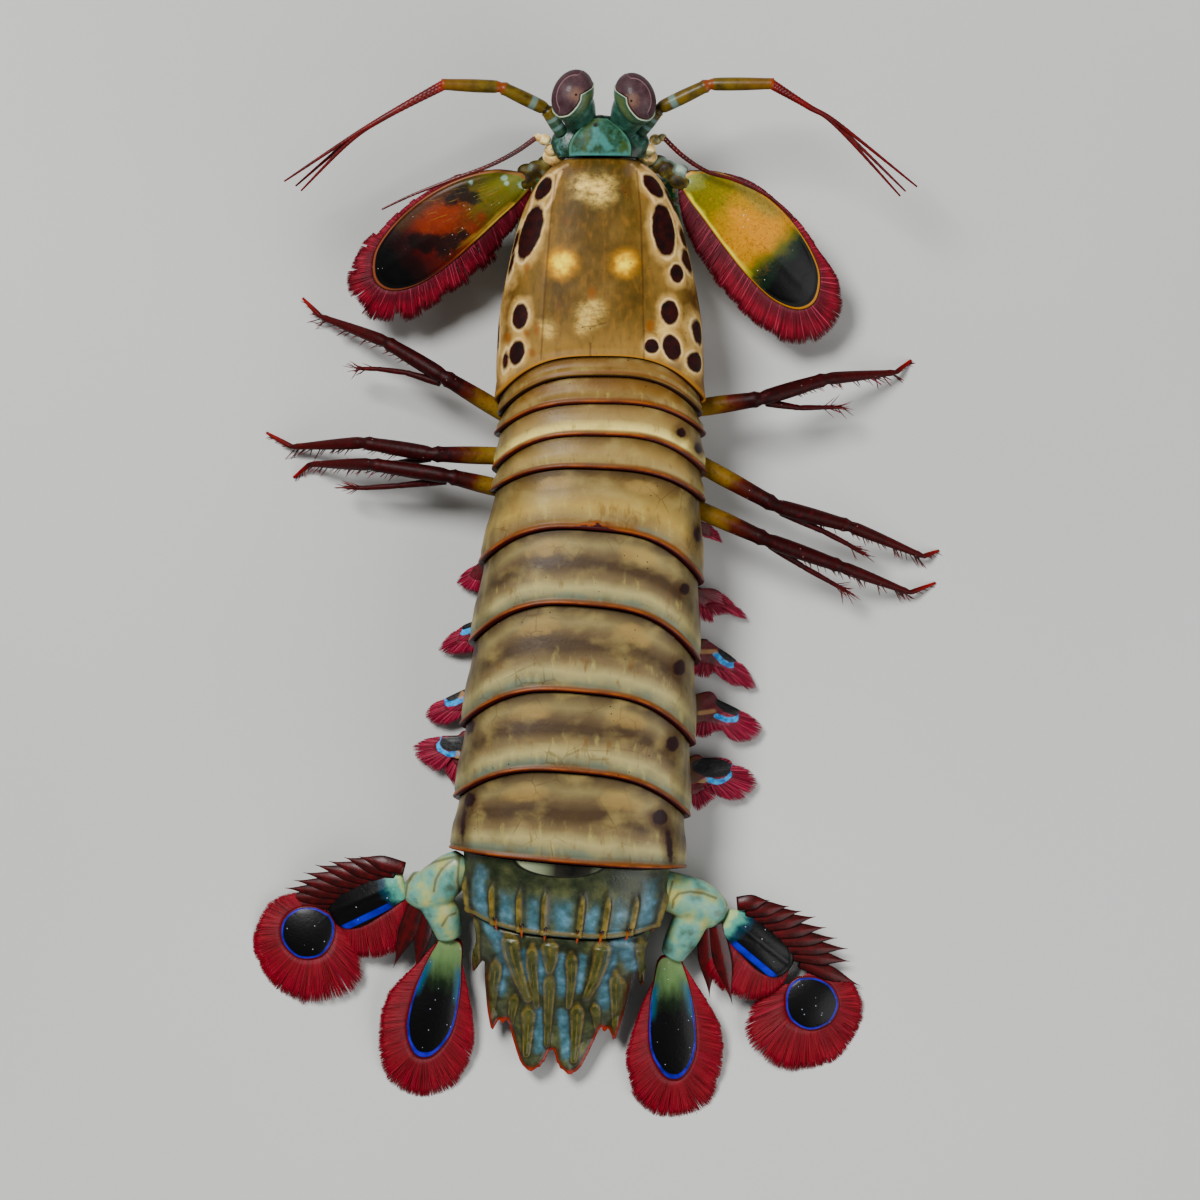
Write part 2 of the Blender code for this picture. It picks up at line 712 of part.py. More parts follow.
# Root of each stalk in the head, and along it: share of the way to the eye's middle, radius
STALK_ROOTS = {"l": (-2.6, 70.6, 17.6), "r": (3.4, 70.3, 17.6)}
STALK_STATIONS = ((0.0, 2.1), (0.3, 2.5), (0.6, 2.7), (0.85, 2.7))
# Plane between cornea and stalk on the unit sphere of the right eye: outward normal of the
# stalk's side, and distance from the middle
CORNEA_NORMAL, CORNEA_EDGE = (-0.62, -0.56, -0.55), 0.02


def keep_side(obj, point, normal):
    """Cut obj by a plane and keep what lies against the normal, closed by a flat face."""
    bm = bmesh.new()
    bm.from_mesh(obj.data)
    geometry = list(bm.verts) + list(bm.edges) + list(bm.faces)
    bmesh.ops.bisect_plane(bm, geom=geometry, dist=FLOOR_MERGE * MM, plane_co=Vector(point) * MM,
                           plane_no=normal, clear_outer=True)
    bmesh.ops.holes_fill(bm, edges=[e for e in bm.edges if e.is_boundary], sides=0)
    bmesh.ops.triangulate(bm, faces=bm.faces)
    bm.to_mesh(obj.data)
    bm.free()
    obj.data = tidied(obj.data)


def make_eye(side_name, side, looks, head):
    centre, radii, tilt = EYES[side_name]
    eye = ellipsoid("eye_" + side_name, centre, radii, (0.0, 0.0, tilt), 14, 9, looks["eye"])
    middle = Vector(centre)
    root = Vector(STALK_ROOTS[side_name])
    stations = [(*root.lerp(middle, share), radius) for share, radius in STALK_STATIONS]
    inner = ellipsoid("inner", centre, radii, (0.0, 0.0, tilt), 10, 7, looks["teal"])
    stalk = fuse("eyestalk_" + side_name, [tube("stalk", stations, 10), inner], looks["teal"])
    steep = Vector((side * CORNEA_NORMAL[0] / radii[0], CORNEA_NORMAL[1] / radii[1],
                    CORNEA_NORMAL[2] / radii[2]))
    steep = Matrix.Rotation(math.radians(tilt), 3, "Z") @ steep
    point = middle + steep * (CORNEA_EDGE / steep.length_squared)
    normal = steep.normalized()
    keep_side(eye, point, normal)
    keep_side(stalk, point + GAP * normal, -normal)
    fit_against(stalk, head, bpy.data.objects["rostral_plate"])
    return eye, stalk


# Antennule: peduncle joints, then three flagella by their bends (x, y, z)
ANTENNULES = {
    "l": (((-5.6, 69.6, 16.4), (-8.0, 73.2, 17.8), (-14.8, 76.4, 19.4), (-23.6, 76.7, 20.4)),
          ((-31.9, 71.9, 20.4), (-37.3, 68.4, 19.0), (-45.0, 61.6, 16.4))),
    "r": (((6.0, 69.8, 16.4), (8.8, 73.3, 17.8), (16.3, 76.8, 19.4), (25.9, 76.8, 20.4)),
          ((31.0, 73.4, 20.4), (35.2, 70.7, 19.4), (45.2, 60.8, 16.4))),
}
FLAGELLUM_SPREAD = (("outer", 3.6, 1.5, 0.5), ("inner", -0.6, -0.8, 0.0), ("low", 0.9, 0.6, -3.4))
PEDUNCLE_RADIUS, FLAGELLUM_RADIUS, FLAGELLUM_TIP = 0.95, 0.42, 0.16
FLAGELLUM_STEPS = 7
FLAGELLUM_START = 0.28  # the flagella start this far from the peduncle's middle line
# Each segment of the peduncle: share along it, share of its radius
SEGMENT_STATIONS = ((0.06, 0.82), (0.3, 1.0), (0.75, 0.98), (0.94, 0.82))


def make_antennule(side_name, side, look, head):
    joints, bends = ANTENNULES[side_name]
    joints = [Vector(j) for j in joints]
    stations = []
    for a, b in zip(joints, joints[1:]):
        for share, radius in SEGMENT_STATIONS:
            stations.append((*a.lerp(b, share), PEDUNCLE_RADIUS * radius))
    pieces = [tube("peduncle", stations, 7)]
    elbow = joints[-2].lerp(joints[-1], 0.95)
    for _, out, ahead, up in FLAGELLUM_SPREAD:
        path = [elbow]
        for step, bend in enumerate(bends):
            spread = (step + 0.6) / len(bends)
            path.append(Vector(bend) + spread ** 1.5 * Vector((side * out, ahead, up)))
        path[0] = path[0] + FLAGELLUM_START * Vector((0.0, ahead, 0.5 * up)).normalized()
        points = resample([tuple(p) for p in path], FLAGELLUM_STEPS)
        stations = []
        for i, point in enumerate(points):
            share = i / (FLAGELLUM_STEPS - 1)
            stations.append((*point, lerp(FLAGELLUM_RADIUS, FLAGELLUM_TIP, share ** 1.5)))
        pieces.append(tube("flagellum", stations, 4))
    obj = fuse("antennule_" + side_name, pieces, look)
    return fit_against(obj, head)


# Antenna: basal block and stalk, then the flagellum along the front edge of the scale
ANTENNA_BASE = ((6.4, 67.4, 13.9, 1.5), (8.2, 66.4, 13.6, 1.7), (9.9, 64.9, 13.3, 1.6),
                (10.7, 64.2, 13.2, 1.1))
ANTENNA_STALK = ((8.0, 66.8, 14.4, 0.8), (7.4, 68.4, 15.6, 0.8), (9.2, 69.2, 16.0, 0.65),
                 (9.7, 69.0, 16.1, 0.4))
ANTENNA_FLAGELLUM = ((9.5, 69.1, 16.1), (12.6, 66.9, 16.6), (16.6, 64.8, 17.0), (22.5, 62.6, 17.0),
                     (28.0, 60.5, 16.4), (32.6, 58.4, 15.4))
ANTENNA_RADIUS, ANTENNA_TIP, ANTENNA_STEPS = 0.38, 0.15, 9


def make_antenna(side_name, side, look, head):
    def mirrored(stations):
        return [(side * s[0], *s[1:]) for s in stations]
    pieces = [tube("base", mirrored(ANTENNA_BASE), 8), tube("stalk", mirrored(ANTENNA_STALK), 6)]
    points = resample(mirrored(ANTENNA_FLAGELLUM), ANTENNA_STEPS)
    stations = [(*p, lerp(ANTENNA_RADIUS, ANTENNA_TIP, i / (ANTENNA_STEPS - 1)))
                for i, p in enumerate(points)]
    pieces.append(tube("flagellum", stations, 5))
    obj = fuse("antenna_" + side_name, pieces, look)
    return fit_against(obj, head)


# Antennal scale: (along, across, fringe) round the leaf; across is positive to the front
SCALE_OUTLINE = ((-0.6, 1.4, 0.0), (2.6, 4.2, 0.4), (7.0, 6.0, 1.0), (12.0, 6.8, 1.0),
                 (17.0, 6.6, 1.3), (21.5, 5.6, 1.6), (25.2, 3.8, 3.2), (27.4, 0.6, 5.0),
                 (26.4, -2.2, 6.0), (22.5, -3.8, 5.4), (17.0, -3.9, 5.0), (11.0, -3.2, 5.0),
                 (6.0, -2.4, 4.4), (2.0, -1.8, 2.6), (-0.8, -0.8, 0.0))
# Pose of each scale: root, yaw, pitch, roll
SCALE_POSES = {
    "l": ((-11.2, 62.6, 13.4), 34.0, 7.0, 14.0),
    "r": ((12.9, 63.0, 13.4), 44.0, 11.0, 4.0),
}


def make_antennal_scale(side_name, side, look, locks, antenna, carapace):
    root, yaw, pitch, roll = SCALE_POSES[side_name]
    place = placed(root, yaw, pitch, roll, side)
    leaf = fringed_plate("leaf", SCALE_OUTLINE, locks, 1.4, place, look, dome=0.9, droop=1.2,
                         seed=11 if side < 0 else 12)
    joint = tube("joint", [(side * 10.4, 64.4, 13.3, 1.0), (*root, 1.2),
                           (*(place @ Vector((2.0, 1.2, 0.4))), 0.6)], 7)
    obj = fuse("antennal_scale_" + side_name, [leaf, joint], look)
    return fit_against(obj, antenna, carapace)


# ---------------------------------------------------------------- walking legs
# Joints of each leg from its root in the body to its tip (x, y, z), then its side branch
LEGS = {
    "leg_1_l": (((-13.0, 27.2, 10.6), (-23.6, 33.6, 12.0), (-32.3, 38.9, 8.4), (-42.4, 43.0, 1.7),
                 (-45.1, 45.8, 0.1)),
                ((-24.0, 32.6, 11.2), (-29.2, 34.2, 9.6), (-33.5, 34.8, 8.0), (-36.7, 34.9, 6.8))),
    "leg_2_l": (((-13.5, 21.6, 10.2), (-25.3, 21.9, 11.6), (-35.6, 23.7, 8.0), (-46.7, 23.2, 1.7),
                 (-50.6, 25.4, 0.1)),
                ((-25.6, 21.3, 10.6), (-30.4, 20.7, 6.8), (-35.0, 20.4, 5.0), (-38.0, 20.4, 4.2))),
    "leg_3_l": (((-13.5, 16.4, 10.0), (-22.7, 18.6, 11.2), (-34.4, 20.4, 9.6), (-43.9, 20.6, 1.7),
                 (-46.5, 18.6, 0.1)),
                ((-23.2, 17.9, 10.4), (-30.5, 17.2, 8.0), (-35.6, 16.9, 6.6), (-38.4, 17.0, 5.8))),
    "leg_1_r": (((13.0, 28.6, 10.6), (24.2, 30.2, 12.0), (34.1, 33.3, 8.4), (44.9, 34.5, 1.7),
                 (47.2, 36.4, 0.1)),
                ((25.0, 29.6, 11.2), (30.0, 28.9, 9.4), (33.4, 29.0, 8.0), (36.4, 29.1, 6.8))),
    "leg_2_r": (((13.8, 21.1, 10.0), (26.5, 14.1, 11.6), (37.7, 11.1, 8.0), (49.0, 6.6, 1.7),
                 (51.4, 7.5, 0.1)),
                ((27.2, 13.2, 10.6), (33.7, 10.3, 8.4), (37.4, 8.4, 7.0), (39.8, 6.9, 6.2))),
    "leg_3_r": (((13.5, 14.2, 10.0), (25.1, 9.0, 11.2), (36.4, 5.0, 7.6), (47.0, 1.1, 1.7),
                 (50.9, 2.6, 0.1)),
                ((25.6, 8.2, 10.2), (30.6, 5.0, 8.0), (34.6, 2.8, 6.4), (37.4, 1.2, 5.6))),
}
LEG_RADII = (1.3, 1.15, 0.98, 0.42, 0.25)
BRANCH_RADII = (0.6, 0.42, 0.36, 0.26)


# Stiff setae in a row under the outer half of a leg: how many, length, root radius
LEG_SETAE, SETA_LENGTH, SETA_RADIUS = 8, 2.6, 0.28
SETA_REACH = (0.5, 1.95)                # from here to here in segments past the second joint
SETA_ALONG, SETA_REAR, SETA_DOWN, SETA_INSET = 0.7, 0.45, 0.5, 0.3


def leg_setae(joints):
    """Row of setae along the rear lower edge of a leg's second and third segments."""
    pieces = []
    for i in range(LEG_SETAE):
        share = lerp(*SETA_REACH, i / (LEG_SETAE - 1))
        k = 1 + int(share)
        a, b = joints[k], joints[k + 1]
        along = (b - a).normalized()
        rear = along.cross(Vector((0.0, 0.0, 1.0))) * math.copysign(1.0, a.x)
        way = SETA_ALONG * along + SETA_REAR * rear + Vector((0.0, 0.0, -SETA_DOWN))
        way.normalize()
        root = a.lerp(b, share - int(share)) + SETA_INSET * (way - along)
        length = SETA_LENGTH * (0.8 + 0.3 * math.sin(math.pi * share))
        pieces.append(spine("seta", root, root + length * way, SETA_RADIUS, 3))
    return pieces


def make_leg(node, look, body):
    joints, branch = LEGS[node]
    joints = [Vector(j) for j in joints]
    stations = []
    for k, (a, b) in enumerate(zip(joints, joints[1:])):
        shares = ((0.0, 1.0), (0.12, 0.86), (0.55, 0.92)) if k < 3 else ((0.0, 1.0), (0.5, 0.85))
        for share, factor in shares:
            radius = lerp(LEG_RADII[k], LEG_RADII[k + 1], share) * factor
            stations.append((*a.lerp(b, share), radius))
    stations.append((*joints[-1], LEG_RADII[-1]))
    pieces = [tube("limb", stations, 6)]
    points = resample(branch, 5)
    radii = resample([(r,) for r in BRANCH_RADII], 5)
    pieces.append(tube("branch", [(*p, r[0]) for p, r in zip(points, radii)], 5))
    pieces += leg_setae(joints)
    obj = fuse(node, pieces, look)
    fit_against(obj, *body)
    return rest_on_floor(obj)


# ---------------------------------------------------------------- swimming legs
# Outer leaf of a swimming leg: (along, across, fringe); inner leaf: (along, half width)
SWIM_OUTER = ((0.0, 1.0, 0.0), (3.6, 1.9, 0.4), (7.4, 2.1, 0.8), (10.6, 1.6, 1.6),
              (11.8, 0.0, 2.2), (10.0, -1.6, 2.6), (6.2, -2.1, 2.4), (2.6, -1.6, 1.2),
              (0.0, -0.9, 0.0))
SWIM_INNER = ((0.0, 1.1), (4.6, 2.5), (9.6, 0.9))
SWIM_Y = (14.6, 4.6, -7.0, -19.0, -29.4)
SWIM_X = 8.6
# Far end of the outer leaf of each swimming leg (x, y), and the yaw of its inner leaf
SWIM_TIPS = {
    "l": (((-16.2, 8.4), 62.0), ((-23.0, 2.6), 62.0), ((-25.4, -6.4), 62.0),
          ((-27.6, -16.0), 58.0), ((-29.2, -22.0), 38.0)),
    "r": (((19.4, 10.2), 62.0), ((23.2, -2.2), 66.0), ((24.6, -12.6), 66.0),
          ((25.8, -18.6), 62.0), ((24.8, -26.6), 60.0)),
}
SWIM_ROOT_Z, SWIM_TIP_Z = 5.3, 1.5


def make_pleopod(index, side_name, side, look, locks, body):
    (tip_x, tip_y), inner_yaw = SWIM_TIPS[side_name][index]
    y = SWIM_Y[index]
    root = axis_frame(y) @ Vector((side * SWIM_X, 0.0, SWIM_ROOT_Z))
    out, along = side * (tip_x - root.x), root.y - tip_y
    reach = math.hypot(out, along)
    full = max(p[0] + p[2] for p in SWIM_OUTER)
    shrink = reach / full
    outline = [(a * shrink, b * min(1.0, shrink), f * min(1.0, shrink)) for a, b, f in SWIM_OUTER]
    pitch = math.degrees(math.asin((SWIM_ROOT_Z - SWIM_TIP_Z) / reach))
    yaw = math.degrees(math.atan2(along, out))
    node = f"pleopod_{index + 1}_{side_name}"
    outer = fringed_plate("outer", outline, locks, 0.9, placed(root, yaw, pitch, 8.0, side),
                          look, lean=0.8, dome=0.3, seed=30 + index)
    low = Vector((root.x - side * 0.6, root.y - 1.0, root.z - 1.3))
    way = placed(low, inner_yaw, 9.0, 0.0, side)
    stations = [(*(way @ Vector((a, 0.0, 0.0))), r) for a, r in SWIM_INNER]
    inner = tube("inner", stations, 6, 0.25)
    stalk = ellipsoid("stalk", (root.x - side * 0.6, root.y, root.z + 0.3), (2.0, 1.7, 2.6),
                      segments=7, rings=4)
    obj = fuse(node, [stalk, outer, inner], look)
    return fit_against(obj, *body)


# ---------------------------------------------------------------- tail fan
# Uropod pieces in their own frames: (along, across, fringe), across positive to the front
EXOPOD_OUTLINE = ((-0.6, 1.6, 0.0), (2.6, 3.3, 0.0), (7.0, 3.5, 0.0), (11.0, 2.9, 0.0),
                  (12.9, 0.9, 0.0), (12.3, -1.9, 0.6), (9.2, -3.0, 4.0), (4.6, -2.6, 4.2),
                  (0.6, -1.7, 0.0))
PADDLE_OUTLINE = ((0.0, 0.9, 0.0), (1.6, 2.9, 1.6), (4.4, 4.0, 3.3), (7.4, 3.0, 4.2),
                  (8.7, 0.0, 4.8), (7.4, -3.2, 6.0), (4.2, -4.4, 6.6), (1.4, -3.0, 5.8),
                  (0.0, -1.0, 0.6))
ENDOPOD_OUTLINE = ((-0.4, 1.6, 0.0), (4.0, 2.8, 1.6), (9.6, 3.6, 4.4), (15.0, 3.4, 5.0),
                   (18.8, 1.2, 6.4), (18.4, -1.6, 6.4), (14.0, -3.6, 4.8), (8.0, -3.5, 2.2),
                   (3.0, -2.6, 0.4), (-0.4, -1.5, 0.0))
# Root, yaw, pitch of each piece of the two uropods, and the far end of the fixed spine
UROPODS = {
    "l": {"base": ((-22.4, -41.0, 9.0), (-25.6, -43.6, 7.6), (-23.6, -47.6, 6.4)),
          "exopod": ((-29.6, -43.0, 6.6), 25.0, 21.0),
          "paddle": ((-40.4, -48.3, 2.2), 26.0, 2.0),
          "endopod": ((-22.6, -51.4, 4.8), 76.0, 8.6),
          "spines": ((-31.2, -55.6, 1.3), (-28.2, -56.8, 1.3))},
    "r": {"base": ((10.6, -43.8, 9.0), (15.0, -45.6, 7.6), (12.6, -50.4, 6.4)),
          "exopod": ((18.9, -48.2, 6.6), 39.0, 17.0),
          "paddle": ((28.8, -56.6, 2.2), 50.0, 2.0),
          "endopod": ((10.6, -54.2, 4.8), 88.0, 8.6),
          "spines": ((16.6, -60.4, 1.3), (19.8, -61.6, 1.3))},
}
EXOPOD_SPINES = 8


def make_uropod(side_name, side, looks, body, telson):
    spec = UROPODS[side_name]
    socket, middle, rear = [Vector(p) for p in spec["base"]]
    exopod_root = Vector(spec["exopod"][0])
    endopod_root = Vector(spec["endopod"][0])
    pieces = [tube("trunk", [(*socket.lerp(middle, -0.6), 2.3), (*socket, 3.0), (*middle, 3.3),
                             (*middle.lerp(exopod_root, 0.75), 2.4)], 10, 0.8),
              tube("heel", [(*middle, 2.7), (*rear, 2.6),
                            (*rear.lerp(endopod_root, 0.85), 1.9)], 9, 0.8)]
    fork = middle.lerp(rear, 0.6)
    fork.z -= 2.2
    for tip in spec["spines"]:
        tip = Vector(tip)
        knee = fork.lerp(tip, 0.5) + Vector((side * 0.5, 0.0, -0.5))
        pieces.append(tube("spine", [(*fork, 1.5), (*knee, 1.1), (*tip, 0.25)], 6))
    base = fuse("uropod_base_" + side_name, pieces, looks["cream"])
    fit_against(base, body, telson)

    root, yaw, pitch = spec["exopod"]
    place = placed(root, yaw, pitch, 0.0, side)
    leaf = fringed_plate("leaf", EXOPOD_OUTLINE, EXOPOD_LOCKS, 2.4, place, looks["black"], dome=0.4,
                         seed=70)
    pieces = [leaf]
    for i in range(EXOPOD_SPINES):
        share = i / (EXOPOD_SPINES - 1)
        start = Vector((3.0 + 9.6 * share, 3.0 - 1.6 * share ** 3, -0.1))
        end = start + Vector((lerp(3.2, 8.4, share ** 1.4), lerp(3.8, 2.6, share)
                              + 1.3 * math.sin(math.pi * share), lerp(-0.2, 2.2, share)))
        pieces.append(spine("spine", place @ start, place @ end, 0.55,
                            bend=place.to_3x3() @ Vector((0.0, 0.5, 0.2))))
    exopod = fuse("uropod_exopod_" + side_name, pieces, looks["black"])
    fit_against(exopod, base)
    rest_on_floor(exopod)

    root, yaw, pitch = spec["paddle"]
    paddle = fringed_plate("uropod_paddle_" + side_name, PADDLE_OUTLINE, PADDLE_LOCKS, 1.3,
                           placed(root, yaw, pitch, 0.0, side), looks["fringe"], dome=0.3,
                           droop=0.78, seed=80)
    fit_against(paddle, exopod, base)
    rest_on_floor(paddle)

    root, yaw, pitch = spec["endopod"]
    endopod = fringed_plate("uropod_endopod_" + side_name, ENDOPOD_OUTLINE, ENDOPOD_LOCKS, 1.3,
                            placed(root, yaw, pitch, 0.0, side), looks["fringe"], dome=0.4,
                            droop=0.6, seed=90)
    fit_against(endopod, base, exopod, paddle, telson)
    rest_on_floor(endopod)
    return base, exopod, paddle, endopod


# ---------------------------------------------------------------- under the carapace
# Folded striking claw: merus forward along the body, carpus, then the hand laid back under it
CLAW_MERUS = ((8.6, 42.6, 7.4, 1.6), (9.4, 46.0, 7.6, 2.5), (9.9, 51.0, 7.7, 2.9),
              (10.2, 56.0, 7.7, 2.6), (10.2, 59.4, 7.6, 1.9))
CLAW_CARPUS = ((10.2, 60.2, 7.4, 1.6), (9.9, 62.0, 6.8, 1.9), (9.4, 62.8, 5.2, 1.6))
CLAW_HAND = ((9.3, 61.2, 3.6, 1.3), (9.2, 57.0, 2.9, 1.6), (8.8, 51.5, 2.6, 1.6),
             (8.2, 46.0, 2.7, 1.4))
CLAW_HEEL = ((7.9, 44.6, 2.9), (1.7, 2.0, 1.9))
CLAW_FINGER = ((7.4, 45.4, 3.6, 1.0), (6.0, 50.0, 3.6, 0.7), (5.6, 55.0, 3.4, 0.3))


def make_claw(side_name, side, look, carapace):
    def mirrored(stations):
        return [(side * s[0], *s[1:]) for s in stations]
    merus = tube("claw_merus_" + side_name, mirrored(CLAW_MERUS), 8, 0.85, look=look)
    fit_against(merus, carapace)
    carpus = tube("claw_carpus_" + side_name, mirrored(CLAW_CARPUS), 7, look=look)
    fit_against(carpus, merus, carapace)
    centre, radii = CLAW_HEEL
    heel = ellipsoid("heel", (side * centre[0], *centre[1:]), radii, segments=7, rings=5)
    hand = fuse("claw_hand_" + side_name,
                [tube("palm", mirrored(CLAW_HAND), 7), heel,
                 tube("finger", mirrored(CLAW_FINGER), 5)], look)
    fit_against(hand, merus, carpus)
    return merus, carpus, hand


# Small folded feeding legs on one side, from the body to the rounded hand
MAXILLIPEDS = (((2.6, 50.0, 10.4), (3.4, 56.5, 7.4), (2.8, 60.6, 8.4)),
               ((2.8, 45.6, 10.4), (3.6, 50.6, 5.6), (2.2, 54.0, 4.2)),
               ((3.0, 40.8, 10.2), (4.0, 44.6, 5.8), (2.4, 47.4, 3.6)))


def make_maxillipeds(side_name, side, look, carapace):
    pieces = [ellipsoid("root", (side * 2.8, 45.6, 10.2), (1.6, 6.6, 1.3), segments=7, rings=4)]
    for root, elbow, hand in MAXILLIPEDS:
        root, elbow, hand = [Vector((side * p[0], *p[1:])) for p in (root, elbow, hand)]
        pieces.append(tube("limb", [(*root, 0.8), (*elbow, 0.8), (*hand, 0.65)], 5))
        pieces.append(ellipsoid("hand", hand, (1.0, 1.5, 1.2), segments=5, rings=3))
    obj = fuse("maxillipeds_" + side_name, pieces, look)
    return fit_against(obj, carapace)


def make_mouthparts(look, carapace, head):
    pieces = [ellipsoid("lip", (0.0, 63.0, 10.2), (2.6, 2.4, 2.2), segments=8, rings=5),
              ellipsoid("jaw", (1.8, 60.4, 10.0), (1.5, 2.2, 1.7), segments=7, rings=4),
              ellipsoid("jaw", (-1.8, 60.4, 10.0), (1.5, 2.2, 1.7), segments=7, rings=4)]
    obj = fuse("mouthparts", pieces, look)
    return fit_against(obj, carapace, head)


# ---------------------------------------------------------------- whole animal
SCALE_LOCKS = 31
SWIM_LOCKS = 9
EXOPOD_LOCKS = 10
PADDLE_LOCKS = 20
ENDOPOD_LOCKS = 24


def clear_scene():
    for obj in list(bpy.context.scene.objects):
        bpy.data.objects.remove(obj, do_unlink=True)


def centre_on_origin():
    """Slide the whole animal over the floor so that its box is centred on the origin."""
    points = [v.co for obj in bpy.context.scene.objects for v in obj.data.vertices]
    shift = [-0.5 * (min(p[k] for p in points) + max(p[k] for p in points)) for k in range(2)]
    for obj in bpy.context.scene.objects:
        obj.data.transform(Matrix.Translation((*shift, 0.0)))


def main():
    clear_scene()
    looks = colours()
    body = {"carapace": make_carapace(looks["carapace"])}
    for node in RING_ORDER[1:-1]:
        body[node] = make_body_ring(node, looks["shell"])
    body["abdomen_6"] = make_abdomen_6(looks["tail"])
    telson = make_telson(looks["tail"])

    make_rostral_plate(looks["teal"])
    head = make_head(looks["teal"])
    fit_against(head, bpy.data.objects["rostral_plate"])
    mouth = make_mouthparts(looks["cream"], body["carapace"], head)
    for side_name, side in SIDES:
        make_eye(side_name, side, looks, head)
        make_antennule(side_name, side, looks["maroon"], head)
        antenna = make_antenna(side_name, side, looks["cream"], head)
        fit_against(antenna, body["carapace"])
        make_antennal_scale(side_name, side, looks["scale"], SCALE_LOCKS, antenna,
                            body["carapace"])
        make_claw(side_name, side, looks["teal"], body["carapace"])
        feeders = make_maxillipeds(side_name, side, looks["cream"], body["carapace"])
        fit_against(feeders, mouth)
        for number in (1, 2, 3):
            near = [body["carapace"]] + [body[f"thorax_{k}"] for k in (5, 6, 7, 8)]
            make_leg(f"leg_{number}_{side_name}", looks["maroon"], near + [body["abdomen_1"]])
        for index in range(5):
            near = [body[n] for n in RING_ORDER[4:]]
            make_pleopod(index, side_name, side, looks["fringe"], SWIM_LOCKS, near)
        make_uropod(side_name, side, looks, body["abdomen_6"], telson)
        fit_against(bpy.data.objects["uropod_base_" + side_name], body["abdomen_5"])
    centre_on_origin()
    for obj in bpy.context.scene.objects:
        finish_shading(obj)


main()
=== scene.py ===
"""Peacock mantis shrimp (Odontodactylus scyllarus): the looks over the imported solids.

Lengths are in millimetres in the animal's own frame, as in the solids: head to +Y, back to +Z.
OFFSET moves them to the row frame, whose origin lies under the middle of the model's box.
"""
import math

import bpy
import numpy as np
from mathutils import Matrix, Vector
from mathutils.geometry import delaunay_2d_cdt


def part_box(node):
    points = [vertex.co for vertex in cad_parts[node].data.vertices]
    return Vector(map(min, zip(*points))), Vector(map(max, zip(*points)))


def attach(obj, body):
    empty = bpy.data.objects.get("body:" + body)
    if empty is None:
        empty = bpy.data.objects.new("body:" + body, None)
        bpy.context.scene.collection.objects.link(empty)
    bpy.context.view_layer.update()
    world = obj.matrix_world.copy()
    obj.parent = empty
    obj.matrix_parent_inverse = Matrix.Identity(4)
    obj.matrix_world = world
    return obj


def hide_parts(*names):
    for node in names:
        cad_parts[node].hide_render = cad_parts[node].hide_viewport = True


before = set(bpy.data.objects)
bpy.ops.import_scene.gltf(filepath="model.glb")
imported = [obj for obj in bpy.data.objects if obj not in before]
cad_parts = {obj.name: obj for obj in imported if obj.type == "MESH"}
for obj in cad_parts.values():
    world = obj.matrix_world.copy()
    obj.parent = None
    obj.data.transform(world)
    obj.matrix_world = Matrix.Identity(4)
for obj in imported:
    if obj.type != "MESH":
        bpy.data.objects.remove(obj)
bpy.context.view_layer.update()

MM = 0.001
GAP = 0.3
SIDES = (("l", -1.0), ("r", 1.0))
UP = np.array((0.0, 0.0, 1.0))
PIXEL = 0.15                        # mm
PICTURE_MIDDLE = (599.5, 598.0)     # pixel over the origin of the animal's frame
CARAPACE_FRONT = 65.8
_low, _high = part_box("carapace")
OFFSET = np.array(((_low.x + _high.x) / 2.0, _high.y - CARAPACE_FRONT * MM, 0.0))

# ---------------------------------------------------------------- the solids' sizes
BEND_START, BEND_END = 28.0, 12.0
TAIL_SLOPE = 0.083          # of the axis behind the bend
# Rear margin of each shell: y, half width, top, lower edge, how far its sides sweep to the rear
MARGINS = {
    "carapace": (36.2, 15.7, 23.2, 10.8, 6.2),
    "thorax_5": (33.2, 15.2, 22.6, 9.6, 5.4),
    "thorax_6": (29.2, 15.8, 22.4, 8.6, 4.4),
    "thorax_7": (24.4, 16.0, 22.3, 8.0, 5.2),
    "thorax_8": (19.5, 16.1, 22.3, 7.6, 4.0),
    "abdomen_1": (10.4, 16.9, 22.6, 7.2, 6.4),
    "abdomen_2": (-0.9, 17.4, 22.6, 6.9, 7.0),
    "abdomen_3": (-13.8, 17.7, 22.1, 6.5, 6.4),
    "abdomen_4": (-25.7, 17.8, 21.2, 5.8, 5.4),
    "abdomen_5": (-39.3, 17.8, 19.4, 4.8, -0.6),
    "abdomen_6": (-50.4, 14.6, 15.8, 3.9, -2.8),
}
RING_ORDER = list(MARGINS)
# Size of a ring's front within the ring before it
TUCK = {"abdomen_6": 0.885, "telson": 0.93}
DEFAULT_TUCK = 0.95
# Share of a ring's length, and how much of the tuck is left there
RING_STEPS = ((0.0, 1.0), (0.12, 0.95), (0.50, 0.40), (0.88, 0.0), (1.0, 0.0))
# y, half width, top, lower edge
CARAPACE_STATIONS = (
    (65.8, 5.6, 19.6, 12.2), (64.2, 7.9, 20.4, 11.8), (61.4, 10.0, 21.1, 11.4),
    (56.4, 12.1, 21.9, 11.1), (48.0, 14.1, 22.8, 10.9), (41.5, 15.2, 23.2, 10.8),
)
BACK_POWER = 0.8        # of the sine and cosine round the back
FLANK_SHARE = 0.3       # of the height, where the back ends
RING_CENTRE = 0.45      # of the height, middle of a ring


# ---------------------------------------------------------------- numbers
def lerp(a, b, t):
    return a + (b - a) * t


def smooth(x, low, high):
    """0 below low, 1 above high, with a soft step between."""
    t = np.clip((x - low) / (high - low), 0.0, 1.0)
    return t * t * (3.0 - 2.0 * t)


def bell(x, centre, width):
    return np.exp(-((x - centre) / width) ** 2)


